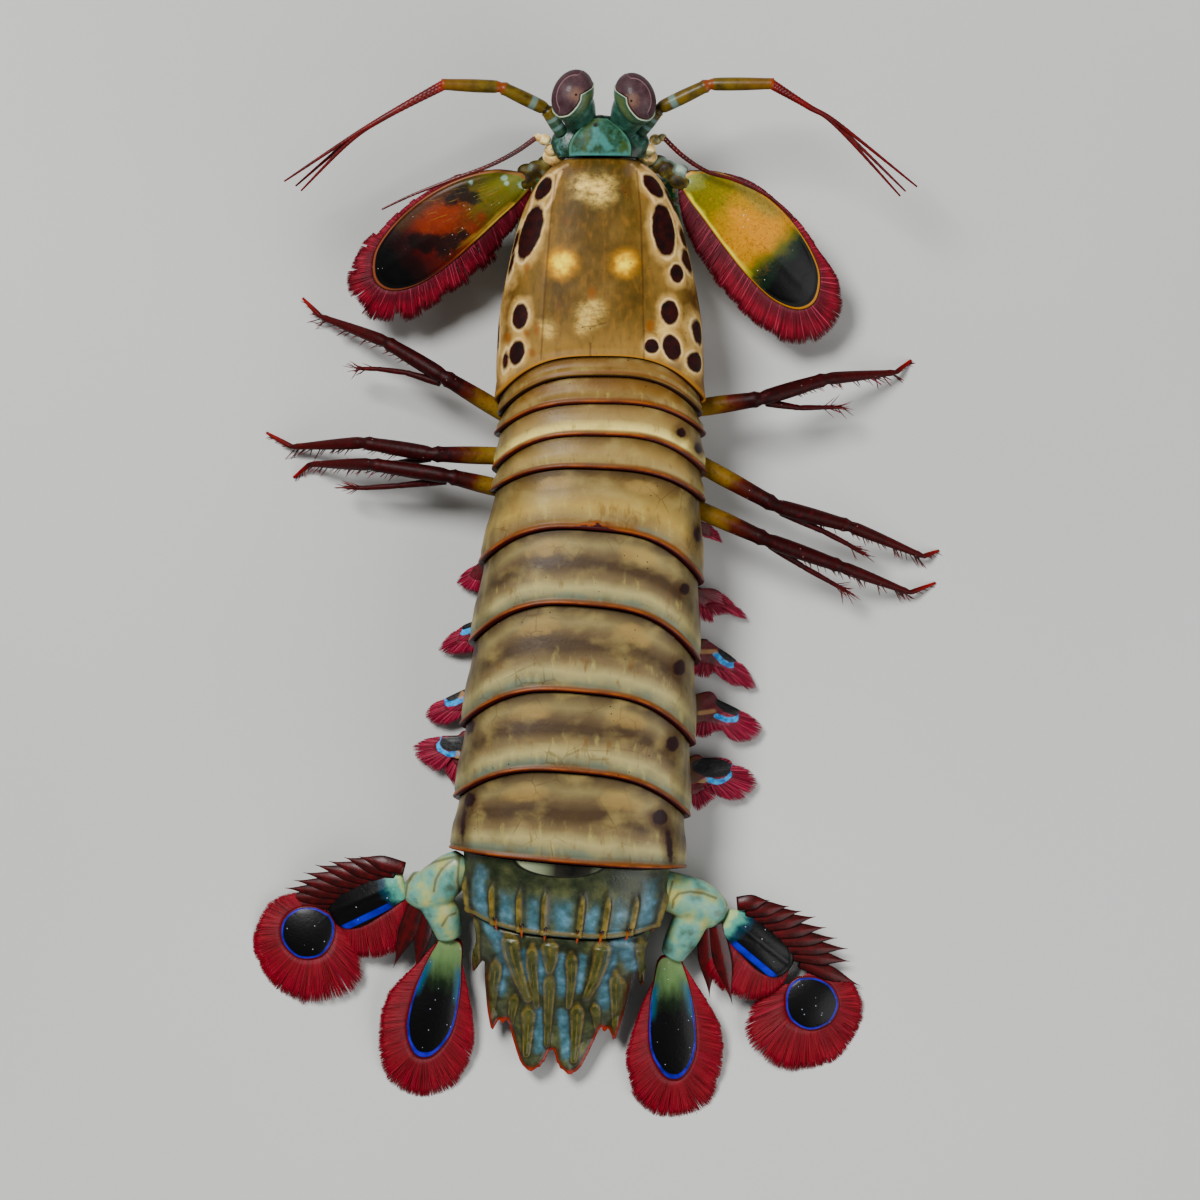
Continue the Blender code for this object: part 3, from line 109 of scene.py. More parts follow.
def catmull(values, where):
    """Points of a smooth curve through the rows of values, at parameters 0 to len - 1."""
    values = np.asarray(values, float)
    where = np.atleast_1d(np.asarray(where, float))
    last = len(values) - 1
    i = np.clip(where.astype(int), 0, last - 1)
    u = (where - i)[:, None]
    p1, p2 = values[i], values[i + 1]
    p0 = np.where((i > 0)[:, None], values[np.maximum(i - 1, 0)], p1)
    p3 = np.where((i + 2 <= last)[:, None], values[np.minimum(i + 2, last)], p2)
    return 0.5 * (2 * p1 + (p2 - p0) * u + (2 * p0 - 5 * p1 + 4 * p2 - p3) * u ** 2
                  + (3 * p1 - p0 - 3 * p2 + p3) * u ** 3)


def resample(values, count):
    return catmull(values, np.linspace(0.0, len(values) - 1, count))


def axis_frame(y):
    """Matrix of the body's axis at y: local -Y runs along the body towards the tail."""
    span = BEND_START - BEND_END
    if y >= BEND_START:
        x, slope = 0.0, 0.0
    elif y >= BEND_END:
        x = -TAIL_SLOPE * (BEND_START - y) ** 2 / (2.0 * span)
        slope = TAIL_SLOPE * (BEND_START - y) / span
    else:
        x = -TAIL_SLOPE * (0.5 * span + BEND_END - y)
        slope = TAIL_SLOPE
    return np.array(Matrix.Translation((x, y, 0.0)) @ Matrix.Rotation(-math.atan(slope), 4, "Z"))


def moved(matrix, points):
    return points @ matrix[:3, :3].T + matrix[:3, 3]


def ring_height(across):
    """Height share of a ring's back at a share of its half width."""
    sine = np.minimum(1.0, np.abs(across)) ** (1.0 / BACK_POWER)
    rise = np.sqrt(np.maximum(0.0, 1.0 - sine * sine)) ** BACK_POWER
    return FLANK_SHARE + (1.0 - FLANK_SHARE) * rise


# ---------------------------------------------------------------- meshes
def add_mesh(name, look, points, quads=None, tris=None, fields=None, uv=None):
    """Mesh object from points in mm and faces; fields are values kept at its points."""
    points = np.asarray(points, float)
    quads = np.zeros((0, 4), int) if quads is None else np.asarray(quads, int)
    tris = np.zeros((0, 3), int) if tris is None else np.asarray(tris, int)
    halves = np.concatenate([quads[:, [0, 1, 2]], quads[:, [0, 2, 3]], tris])
    a, b, c = points[halves[:, 0]], points[halves[:, 1]], points[halves[:, 2]]
    if np.einsum("ij,ij->i", a, np.cross(b, c)).sum() < 0.0:
        quads, tris = quads[:, ::-1], tris[:, ::-1]
    mesh = bpy.data.meshes.new(name)
    mesh.vertices.add(len(points))
    mesh.vertices.foreach_set("co", (points * MM + OFFSET).astype(np.float32).ravel())
    loops = np.concatenate([quads.ravel(), tris.ravel()]).astype(np.int32)
    mesh.loops.add(len(loops))
    mesh.loops.foreach_set("vertex_index", loops)
    starts = np.concatenate([np.arange(len(quads)) * 4, len(quads) * 4 + np.arange(len(tris)) * 3])
    mesh.polygons.add(len(starts))
    mesh.polygons.foreach_set("loop_start", starts.astype(np.int32))
    mesh.update(calc_edges=True)
    for key, values in (fields or {}).items():
        values = np.asarray(values, np.float32)
        kind, slot = ("FLOAT", "value") if values.ndim == 1 else ("FLOAT_VECTOR", "vector")
        mesh.attributes.new(key, kind, "POINT").data.foreach_set(slot, values.ravel())
    if uv is not None:
        layer = mesh.uv_layers.new(name="OFBake")
        layer.uv.foreach_set("vector", uv[loops].astype(np.float32).ravel())
    mesh.shade_smooth()
    mesh.materials.append(look)
    obj = bpy.data.objects.new(name, mesh)
    bpy.context.scene.collection.objects.link(obj)
    return obj


def grid_faces(rows, columns):
    """Quads of a tube of rows of points, closed round its columns."""
    r = np.arange(rows - 1)[:, None] * columns
    c = np.arange(columns)[None, :]
    d = (c + 1) % columns
    return np.stack([r + c, r + d, r + columns + d, r + columns + c], -1).reshape(-1, 4)


def loft(rings, ends, fields=None):
    """Points, quads, tris and fields of a tube through rings (R, C, 3), closed to two ends."""
    rows, columns = rings.shape[:2]
    points = np.concatenate([rings.reshape(-1, 3), np.asarray(ends, float)])
    first = rows * columns
    c = np.arange(columns)
    d = (c + 1) % columns
    top = (rows - 1) * columns
    tris = np.concatenate([np.stack([np.full(columns, first), d, c], -1),
                           np.stack([np.full(columns, first + 1), top + c, top + d], -1)])
    out = {}
    for key, values in (fields or {}).items():
        flat = values.reshape(first, -1)
        caps = np.stack([values[0].reshape(columns, -1).mean(0), values[-1].reshape(columns, -1).mean(0)])
        flat = np.concatenate([flat, caps])
        out[key] = flat[:, 0] if values.ndim == 2 else flat
    return points, grid_faces(rows, columns), tris, out


def tube_rings(path, radii, sides, flat=1.0):
    """Rings round a path; flat squashes them upright."""
    path = np.asarray(path, float)
    radii = np.broadcast_to(np.asarray(radii, float), (len(path),))
    along = np.gradient(path, axis=0)
    along /= np.linalg.norm(along, axis=1)[:, None]
    side = np.cross(along, UP)
    side /= np.linalg.norm(side, axis=1)[:, None]
    rise = np.cross(side, along)
    angle = 2.0 * np.pi * (np.arange(sides) + 0.5) / sides
    out = side[:, None] * (radii[:, None] * np.cos(angle))[..., None]
    return path[:, None] + out + rise[:, None] * (radii[:, None] * flat * np.sin(angle))[..., None]


class Parts:
    """Closed meshes with like fields, gathered into one object."""

    def __init__(self):
        self.points, self.quads, self.tris, self.fields, self.uv = [], [], [], {}, []
        self.count = 0

    def add(self, points, quads=None, tris=None, fields=None, uv=None):
        self.points.append(points)
        if quads is not None and len(quads):
            self.quads.append(quads + self.count)
        if tris is not None and len(tris):
            self.tris.append(tris + self.count)
        for key, values in (fields or {}).items():
            self.fields.setdefault(key, []).append(values)
        if uv is not None:
            self.uv.append(uv)
        self.count += len(points)

    def mesh(self):
        points, quads, tris, uv = [np.concatenate(rows) if rows else None
                                   for rows in (self.points, self.quads, self.tris, self.uv)]
        return points, quads, tris, {key: np.concatenate(rows) for key, rows in self.fields.items()}, uv


def add_piece(name, look, mesh, slot, *nodes):
    """A piece that rides on the animal and stands for nodes; slot is not used."""
    obj = add_mesh(name, look, *mesh)
    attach(obj, "root")
    if nodes:
        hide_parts(*nodes)


# ---------------------------------------------------------------- materials
# Fitted to patches of known base colour in this studio: how the view mixes the channels before and
# after its tone curve, that curve over the logarithm of the light, and the light's gain and haze
VIEW_IN = np.array(((0.6204, 0.3151, 0.0645), (0.0718, 0.7649, 0.1633), (0.0727, 0.1722, 0.7551)))
VIEW_OUT = np.array(((1.5099, -0.5576, 0.0477), (-0.0785, 1.2637, -0.1852), (-0.2366, -0.1842, 1.4208)))
TONE_CURVE = (15.5, -40.14, 31.96, -6.868, 0.4298, 0.1191, -0.00232)
TONE_LOW, TONE_HIGH = -12.474, 4.026
LIGHT_GAIN, LIGHT_HAZE = 1.5296, 0.0175
BASE_LEAST, BASE_MOST = 0.0006, 0.95


def shown(colour):
    """Base colour that this studio's view shows as the 0-255 screen colour."""
    place = np.linspace(0.06, 1.0, 400)
    mixed = np.linalg.inv(VIEW_OUT) @ (np.asarray(colour, float) / 255.0)
    place = np.interp(mixed, np.polyval(TONE_CURVE, place), place)
    light = np.linalg.inv(VIEW_IN) @ 2.0 ** (TONE_LOW + (TONE_HIGH - TONE_LOW) * place)
    base = np.clip((light - LIGHT_HAZE) / LIGHT_GAIN, BASE_LEAST, BASE_MOST)
    return (*base.tolist(), 1.0)


class Look:
    """A procedural material: a Principled shader and the nodes that feed it."""

    def __init__(self, name, roughness=0.35, coat=0.0, coat_roughness=0.1, specular=0.3,
                 subsurface=0.0):
        self.material = bpy.data.materials.new(name)
        self.material.use_nodes = True
        self.nodes = self.material.node_tree.nodes
        self.links = self.material.node_tree.links
        self.shader = self.nodes["Principled BSDF"]
        inputs = self.shader.inputs
        inputs["Roughness"].default_value = roughness
        inputs["Coat Weight"].default_value = coat
        inputs["Coat Roughness"].default_value = coat_roughness
        inputs["Specular IOR Level"].default_value = specular
        if subsurface:
            inputs["Subsurface Weight"].default_value = subsurface
            inputs["Subsurface Scale"].default_value = 1.2 * MM
        self.place = self.nodes.new("ShaderNodeTexCoord").outputs["Object"]

    def plug(self, socket, value):
        if isinstance(value, bpy.types.NodeSocket):
            self.links.new(value, socket)
        elif isinstance(value, (tuple, list)) and len(value) == 3 and socket.type == "RGBA":
            socket.default_value = shown(value)
        else:
            socket.default_value = value

    def field(self, key):
        node = self.nodes.new("ShaderNodeAttribute")
        node.attribute_name = key
        return node

    def value(self, key):
        return self.field(key).outputs["Fac"]

    def axes(self, key):
        split = self.nodes.new("ShaderNodeSeparateXYZ")
        self.links.new(self.field(key).outputs["Vector"], split.inputs[0])
        return split.outputs[0], split.outputs[1], split.outputs[2]

    def math(self, operation, a, b=0.0, c=0.0):
        node = self.nodes.new("ShaderNodeMath")
        node.operation = operation
        for socket, value in zip(node.inputs, (a, b, c)):
            self.plug(socket, value)
        return node.outputs[0]

    def times(self, a, b):
        return self.math("MULTIPLY", a, b)

    def plus(self, a, b):
        return self.math("ADD", a, b)

    def size(self, value):
        """The value without its sign."""
        return self.math("ABSOLUTE", value)

    def step(self, value, low, high):
        """0 below low, 1 above high; turned round where low is above high."""
        node = self.nodes.new("ShaderNodeMapRange")
        node.interpolation_type = "SMOOTHSTEP"
        flip = low > high
        self.plug(node.inputs["Value"], value)
        node.inputs["From Min"].default_value = min(low, high)
        node.inputs["From Max"].default_value = max(low, high)
        node.inputs["To Min"].default_value = 1.0 if flip else 0.0
        node.inputs["To Max"].default_value = 0.0 if flip else 1.0
        return node.outputs["Result"]

    def band(self, value, centre, half, soft):
        """1 within half of centre, falling to 0 over soft."""
        return self.step(self.size(self.math("SUBTRACT", value, centre)), half + soft, half)

    def noise(self, size, detail=3.0, stretch=None, rough=0.5):
        """Noise with lumps of about size mm, 0 to 1."""
        vector = self.place
        if stretch:
            scaled = self.nodes.new("ShaderNodeVectorMath")
            scaled.operation = "MULTIPLY"
            self.links.new(vector, scaled.inputs[0])
            scaled.inputs[1].default_value = stretch
            vector = scaled.outputs[0]
        node = self.nodes.new("ShaderNodeTexNoise")
        self.links.new(vector, node.inputs["Vector"])
        node.inputs["Scale"].default_value = 1.0 / (size * MM)
        node.inputs["Detail"].default_value = detail
        node.inputs["Roughness"].default_value = rough
        return node.outputs["Fac"]

    def wave(self, size, detail, spread, **options):
        """The same noise, from half of spread below 0 to half of it above."""
        return self.math("MULTIPLY_ADD", self.noise(size, detail, **options), spread, -0.5 * spread)

    def cells(self, size, feature="F1"):
        """Distance from the middle of cells of about size mm, or from their edges."""
        node = self.nodes.new("ShaderNodeTexVoronoi")
        self.links.new(self.place, node.inputs["Vector"])
        node.feature = feature
        node.inputs["Scale"].default_value = 1.0 / (size * MM)
        return node.outputs["Distance"]

    def mix(self, factor, a, b):
        node = self.nodes.new("ShaderNodeMix")
        node.data_type = "RGBA"
        self.plug(node.inputs[0], factor)
        self.plug(node.inputs[6], a)
        self.plug(node.inputs[7], b)
        return node.outputs[2]

    def lay(self, mask, tint, strength=None):
        """Lays a tint over the colour so far where the mask is 1, as strong as strength."""
        factor = mask if strength is None else self.times(mask, strength)
        self.colour = self.mix(factor, self.colour, tint)

    def ramp(self, value, stops):
        node = self.nodes.new("ShaderNodeValToRGB")
        self.plug(node.inputs[0], value)
        elements = node.color_ramp.elements
        while len(elements) < len(stops):
            elements.new(1.0)
        for element, (place, colour) in zip(elements, stops):
            element.position = place
        for element, (place, colour) in zip(elements, stops):
            element.color = shown(colour)
        return node.outputs[0]

    def finish(self, height=None, depth=0.1, roughness=None):
        """Plugs in the colour, a bump of depth mm for a height of 0 to 1, and a roughness."""
        self.plug(self.shader.inputs["Base Color"], self.colour)
        if roughness is not None:
            self.plug(self.shader.inputs["Roughness"], roughness)
        if height is not None:
            node = self.nodes.new("ShaderNodeBump")
            node.inputs["Distance"].default_value = depth * MM
            node.inputs["Strength"].default_value = 1.0
            self.plug(node.inputs["Height"], height)
            self.links.new(node.outputs[0], self.shader.inputs["Normal"])
        return self.material


# ---------------------------------------------------------------- body shell
BACK_POINTS = 92        # points down each flank of a ring
BACK_LEVEL = 16.0       # what lies higher is the back
MOST_WIDENING = 2.4     # of a spot that the flank's slope stretches
USUAL_HALF_WIDTH, USUAL_HEIGHT = 17.0, 12.5     # of a ring, to space its points evenly
PROFILE_STEPS, LOWER_POINTS = 3000, 26
# Flank's lower edge and belly: across, up, sweep
LOWER_PROFILE = ((1.0, 0.30, 1.0), (0.985, 0.15, 1.05), (0.93, 0.03, 1.08), (0.82, 0.06, 0.75),
                 (0.45, 0.0, 0.15), (0.0, 0.0, 0.0))


def fine_profile():
    """Rows (across, up, sweep) round a ring, from the mid-back down +X and up -X."""
    angle = np.linspace(0.0, 0.5 * np.pi, PROFILE_STEPS)
    across = np.sin(angle) ** BACK_POWER
    up = FLANK_SHARE + (1.0 - FLANK_SHARE) * np.maximum(0.0, np.cos(angle)) ** BACK_POWER
    steps = np.hypot(USUAL_HALF_WIDTH * np.diff(across), USUAL_HEIGHT * np.diff(up))
    run = np.concatenate([[0.0], np.cumsum(steps)])
    even = np.linspace(0.0, run[-1], BACK_POINTS + 1)
    across, up = np.interp(even, run, across), np.interp(even, run, up)
    back = np.stack([across, up, across ** 3], -1)
    half = np.concatenate([back, resample(LOWER_PROFILE, LOWER_POINTS)[1:]])
    other = half[1:-1][::-1] * (-1.0, 1.0, 1.0)
    return np.concatenate([half, other])


PROFILE = fine_profile()


def ring_points(frame_y, half_width, top, belly, sweep, scale=1.0, back=0.0, rise=None):
    """One ring; rise pushes its points outwards by that many mm, as relief."""
    height = top - belly
    centre = belly + RING_CENTRE * height
    local = np.stack([scale * PROFILE[:, 0] * half_width,
                      -back - scale * np.abs(PROFILE[:, 2]) * sweep,
                      centre + scale * (PROFILE[:, 1] - RING_CENTRE) * height], -1)
    if rise is not None:
        out = local - (0.0, 0.0, centre)
        out[:, 1] = 0.0
        out /= np.linalg.norm(out, axis=1)[:, None]
        local = local + out * np.asarray(rise)[:, None]
    return moved(axis_frame(frame_y), local)


def ring_middle(station):
    """Middle of the ring at a station (y, half width, top, belly, ...)."""
    y, _, top, belly = station[:4]
    return moved(axis_frame(y), np.array((0.0, 0.0, belly + RING_CENTRE * (top - belly))))


def arcs(rings):
    """Distance from the mid-back round each ring, signed towards +X."""
    half = len(PROFILE) // 2
    steps = np.linalg.norm(np.diff(rings, axis=1, append=rings[:, :1]), axis=2)
    right = np.concatenate([np.zeros((len(rings), 1)), np.cumsum(steps[:, :half], axis=1)], axis=1)
    left = np.cumsum(steps[:, half:][:, ::-1], axis=1)[:, ::-1]
    return np.concatenate([right, -left[:, 1:]], axis=1)


def unrolled(rings, arc, x, y):
    """Arc length and widening of the surface seen from above at a place x, y."""
    half = len(PROFILE) // 2
    sign = 1.0 if x >= rings[:, 0, 0].mean() else -1.0
    side = rings[:, :BACK_POINTS + 1]
    if sign < 0.0:
        side = rings[:, [0] + list(range(2 * half - 1, 2 * half - 1 - BACK_POINTS, -1))]
    lengths = np.abs(arc[:, :BACK_POINTS + 1])
    away = (side[..., 0] - x) ** 2 + (side[..., 1] - y) ** 2
    row, column = np.unravel_index(np.argmin(away), away.shape)
    a, b = max(column - 2, 0), min(column + 2, BACK_POINTS)
    run = abs(side[row, b, 0] - side[row, a, 0])
    widening = min(MOST_WIDENING, (lengths[row, b] - lengths[row, a]) / max(run, 1e-6))
    return sign * lengths[row, column], widening


def ring_places(shares):
    """Field of the points of rings: place across, along and up the profile."""
    shape = (len(shares), len(PROFILE))
    return np.stack([np.broadcast_to(values, shape)
                     for values in (PROFILE[:, 0], shares[:, None], PROFILE[:, 1])], -1)


def spot_field(rings, arc, spots):
    """Signed distance in mm to the edge of the nearest spot, negative inside."""
    nearest = np.full(rings.shape[:2], 9.0)
    for x, y, rx, ry, tilt in spots:
        place, widening = unrolled(rings, arc, x, y)
        u = (arc - place) / widening
        v = rings[..., 1] - y
        turn = math.radians(tilt)
        p = (u * math.cos(turn) + v * math.sin(turn)) / rx
        q = (-u * math.sin(turn) + v * math.cos(turn)) / ry
        nearest = np.minimum(nearest, (np.sqrt(p * p + q * q) - 1.0) * min(rx, ry))
    return nearest


def photo_xy(px, py):
    """Place in mm of a pixel of the picture."""
    return (px - PICTURE_MIDDLE[0]) * PIXEL, (PICTURE_MIDDLE[1] - py) * PIXEL


def lines_at(*lines):
    """Polylines in mm from lines of pixels."""
    return [[photo_xy(*p) for p in line] for line in lines]


def spots_at(rows):
    """Ovals (x, y, radius across, radius along, tilt) in mm from rows of pixels and full widths."""
    return [(*photo_xy(px, py), 0.5 * PIXEL * wide, 0.5 * PIXEL * tall, tilt)
            for px, py, wide, tall, tilt in rows]


def away_from(lines, x, y):
    """Distance from places to the nearest of the polylines, and how far along it they lie."""
    found, along = np.full(np.shape(x), 99.0), np.zeros(np.shape(x))
    for line in lines:
        for k, ((ax, ay), (bx, by)) in enumerate(zip(line, line[1:])):
            dx, dy = bx - ax, by - ay
            t = np.clip(((x - ax) * dx + (y - ay) * dy) / (dx * dx + dy * dy), 0.0, 1.0)
            away = np.hypot(x - ax - t * dx, y - ay - t * dy)
            along = np.where(away < found, (k + t) / (len(line) - 1.0), along)
            found = np.minimum(found, away)
    return found, along


def near_lines(lines, x, y, width):
    """1 on the polylines, falling off beside them over about the width in mm."""
    return np.exp(-(away_from(lines, x, y)[0] / width) ** 2)


def line_mark(x, y, line, width):
    """1 on a line of pixels, falling off beside it over about the width in pixels."""
    return near_lines(lines_at(line), x, y, PIXEL * width)


def back_lines(rings, lines, width):
    """1 on the polylines where they run over the back of the rings."""
    return near_lines(lines, rings[..., 0], rings[..., 1], width) * (rings[..., 2] > BACK_LEVEL)


def oval(x, y, px, py, long, short, turn):
    """1 at the middle of a turned oval, 0 at its border and below 0 outside."""
    cx, cy = photo_xy(px, py)
    c, s = math.cos(math.radians(turn)), math.sin(math.radians(turn))
    u = ((x - cx) * c - (y - cy) * s) / (PIXEL * long)
    v = (-(x - cx) * s - (y - cy) * c) / (PIXEL * short)
    return 1.0 - np.hypot(u, v)


# Carapace markings: place, width, height, tilt
CARAPACE_SPOTS = spots_at((
    (543, 189, 14, 24, -22), (530, 233, 20, 55, -15), (515, 243, 5, 26, -10), (511, 264, 4, 22, -6),
    (520, 317, 15, 25, -8), (517, 353, 14, 24, -15), (505, 361, 5, 16, -10), (498, 334, 5, 30, 0),
    (494, 360, 6, 20, 0), (653, 187, 14, 26, 35), (663, 231, 22, 52, 6), (673, 204, 7, 34, 18),
    (683, 238, 7, 22, 10), (687, 261, 9, 24, 10), (676, 274, 13, 18, 0), (669, 313, 17, 24, 5),
    (697, 332, 9, 24, 8), (650, 347, 14, 14, 0), (671, 348, 17, 26, 20), (694, 362, 14, 20, 15)))
CARAPACE_FLECKS = spots_at((
    (527, 268, 6, 9, -10), (508, 338, 7, 10, 0), (526, 333, 5, 8, 20), (537, 330, 6, 12, 0),
    (650, 327, 9, 12, 0), (532, 353, 6, 8, 20), (592, 295, 8, 12, 0)))
CARAPACE_HAZE = spots_at(((521, 372, 12, 16, -30), (674, 366, 14, 14, 30), (567, 172, 10, 16, 30),
                          (630, 170, 10, 16, -30)))
# Light patches: place, radius and strength
CARAPACE_GLOWS = ((562, 265, 15, 1.0), (624, 265, 14, 0.9))
CARAPACE_PALES = ((582, 188, 15, 0.9), (600, 192, 17, 1.0), (590, 314, 17, 0.75), (583, 326, 12, 0.7),
                  (546, 330, 13, 0.6), (662, 329, 14, 0.6))
CARAPACE_GROOVES = lines_at(
    ((556, 176), (551, 215), (545, 290), (541, 360)), ((636, 172), (640, 215), (642, 290), (643, 362)),
    ((575, 323), (583, 327), (590, 328), (605, 324)), ((590, 344), (590, 360)))
# Pale lines that run from the front corners between the spots
CARAPACE_WEB = lines_at(
    ((567, 166), (553, 174), (542, 182), (534, 195), (531, 208)),
    ((561, 172), (556, 184), (552, 200), (546, 210)),
    ((631, 166), (641, 176), (647, 190), (654, 204), (664, 206)),
    ((641, 166), (655, 175), (665, 189), (671, 207)),
    ((671, 207), (679, 232), (686, 262)), ((531, 208), (522, 238), (516, 262)))
# Lines along the back's two sides, between which the back is a little raised, and how far they reach
CARAPACE_SHOULDERS = (((-8.0, 60.0), (-9.5, 38.0)), ((8.2, 60.0), (9.5, 38.0)))
SHOULDER_REACH, SHOULDER_RISE, SHOULDER_SINK = 3.0, 0.25, 0.12
GROOVE_WIDTH, GROOVE_DEPTH, WEB_WIDTH = 0.22, 0.06, 0.34
REAR_BEAD, REAR_GROOVE, FRONT_SINK = 0.14, 0.10, 0.35      # relief of the rear and front edges
GLOW_LEVEL = 15.0       # what lies higher takes the light patches
CARAPACE_ROWS = 150


def carapace_piece(look):
    stations = np.array([(*row, 0.0) for row in CARAPACE_STATIONS] + [MARGINS["carapace"]])
    where = np.linspace(0.0, len(stations) - 1, CARAPACE_ROWS)
    rows = catmull(stations, where)
    rows[:, 4] = np.interp(where, range(len(stations)), stations[:, 4])
    rings = []
    for row, at in zip(rows, where):
        edge = bell(at, len(stations) - 1.0, 0.10) * REAR_BEAD
        edge -= REAR_GROOVE * bell(at, len(stations) - 1.28, 0.08)
        edge -= FRONT_SINK * bell(at, 0.0, 0.06)
        rings.append(ring_points(*row, rise=np.full(len(PROFILE), edge)))
    rings = np.array(rings)
    groove = back_lines(rings, CARAPACE_GROOVES, GROOVE_WIDTH)
    web = back_lines(rings, CARAPACE_WEB, WEB_WIDTH)
    rings[..., 2] -= GROOVE_DEPTH * groove
    shoulder = back_lines(rings, CARAPACE_SHOULDERS, SHOULDER_REACH)
    rings[..., 2] += SHOULDER_RISE * (1.0 - shoulder) * (rings[..., 2] > BACK_LEVEL) - SHOULDER_SINK
    lip = ring_points(*rows[-1], scale=0.955, back=0.03)
    rings = np.concatenate([rings, lip[None]])
    arc = arcs(rings)
    share = np.append(where / (len(stations) - 1.0), 1.02)
    glow, pale = np.zeros(arc.shape), np.zeros(arc.shape)
    for values, places in ((glow, CARAPACE_GLOWS), (pale, CARAPACE_PALES)):
        for px, py, radius, strength in places:
            x, y = photo_xy(px, py)
            away = np.hypot(rings[..., 0] - x, rings[..., 1] - y) / (PIXEL * radius)
            np.maximum(values, strength * np.exp(-away ** 2) * (rings[..., 2] > GLOW_LEVEL), out=values)
    fields = {
        "seg": ring_places(share),
        "spot": spot_field(rings, arc, CARAPACE_SPOTS),
        "fleck": spot_field(rings, arc, CARAPACE_FLECKS),
        "haze": spot_field(rings, arc, CARAPACE_HAZE),
        "web": np.append(web, web[-1:], axis=0),
        "glow": np.stack([glow, pale, np.append(groove, groove[-1:], axis=0)], -1),
    }
    ends = (ring_middle(CARAPACE_STATIONS[0]), ring_middle(rows[-1]))
    add_piece("carapace_shell", look, loft(rings, ends, fields), "carapace", "carapace")


# Dark spots on the flanks of the rings behind the carapace: place, width, height, tilt
RING_SPOTS = {
    "thorax_7": ((680, 432, 9, 9, 0), (698, 447, 8, 10, 0), (700, 468, 8, 8, 0), (497, 442, 5, 9, 0)),
    "abdomen_1": ((697, 532, 8, 16, 0), (489, 508, 5, 14, 0)),
    "abdomen_2": ((684, 587, 9, 11, 0), (482, 569, 6, 14, 0)),
    "abdomen_3": ((679, 665, 11, 15, 0), (475, 648, 7, 15, 0)),
    "abdomen_4": ((672, 741, 12, 15, 0), (470, 724, 9, 15, 0)),
    "abdomen_5": ((660, 814, 15, 15, 0), (470, 797, 12, 14, 0), (668, 842, 6, 34, 8), (463, 820, 4, 30, 6)),
}
# Places along a ring, close together at its rim
RING_SHARES = np.concatenate([np.linspace(0.0, 0.88, 46), np.linspace(0.895, 1.0, 16)])
RIM_BEAD, RIM_GROOVE, RING_SWELL = 0.16, 0.10, 0.16


def ring_shape(node):
    """Rings of points of a body ring and their place along it."""
    before = np.array(MARGINS[RING_ORDER[RING_ORDER.index(node) - 1]])
    own = np.array(MARGINS[node])
    tuck = TUCK.get(node, DEFAULT_TUCK)
    steps = np.array(RING_STEPS)
    length = before[0] - own[0]
    rings = []
    for share in RING_SHARES:
        row = lerp(before, own, share)
        opened = np.interp(share, steps[:, 0], steps[:, 1])
        away = (1.0 - share) * length
        bead = RIM_BEAD * bell(away, 0.30, 0.34) - RIM_GROOVE * bell(away, 1.0, 0.30)
        swell = RING_SWELL * math.sin(math.pi * share) ** 2
        fade = smooth(share, 0.25, 0.6) * (bead + swell)
        rings.append(ring_points(*row, 1.0 - (1.0 - tuck) * opened, GAP * (share == 0.0),
                                 rise=np.full(len(PROFILE), fade)))
    rings.append(ring_points(*own, scale=0.96, back=0.02))
    return np.array(rings), np.append(RING_SHARES, 1.03), before, own


def ring_piece(node, look):
    rings, shares, before, own = ring_shape(node)
    arc = arcs(rings)
    fields = {
        "seg": ring_places(shares),
        "spot": spot_field(rings, arc, spots_at(RING_SPOTS.get(node, ()))),
        "rim": np.broadcast_to(((1.0 - shares) * (before[0] - own[0]))[:, None], arc.shape),
    }
    mesh = loft(rings, (ring_middle(before), ring_middle(own)), fields)
    add_piece(node + "_shell", look, mesh, "body_shell", node)


def shell_bump(look, pits=0.35):
    """Fine wrinkles and pits of the shell."""
    grain = look.noise(0.5, 4.0)
    pores = look.step(look.cells(0.9), 0.0, 0.28)
    return look.plus(look.times(grain, 0.6), look.times(pores, pits))


def satin(look, low=0.34, spread=0.2):
    """Roughness that wanders a little over the shell."""
    return look.math("MULTIPLY_ADD", look.noise(1.6, 3.0), spread, low)


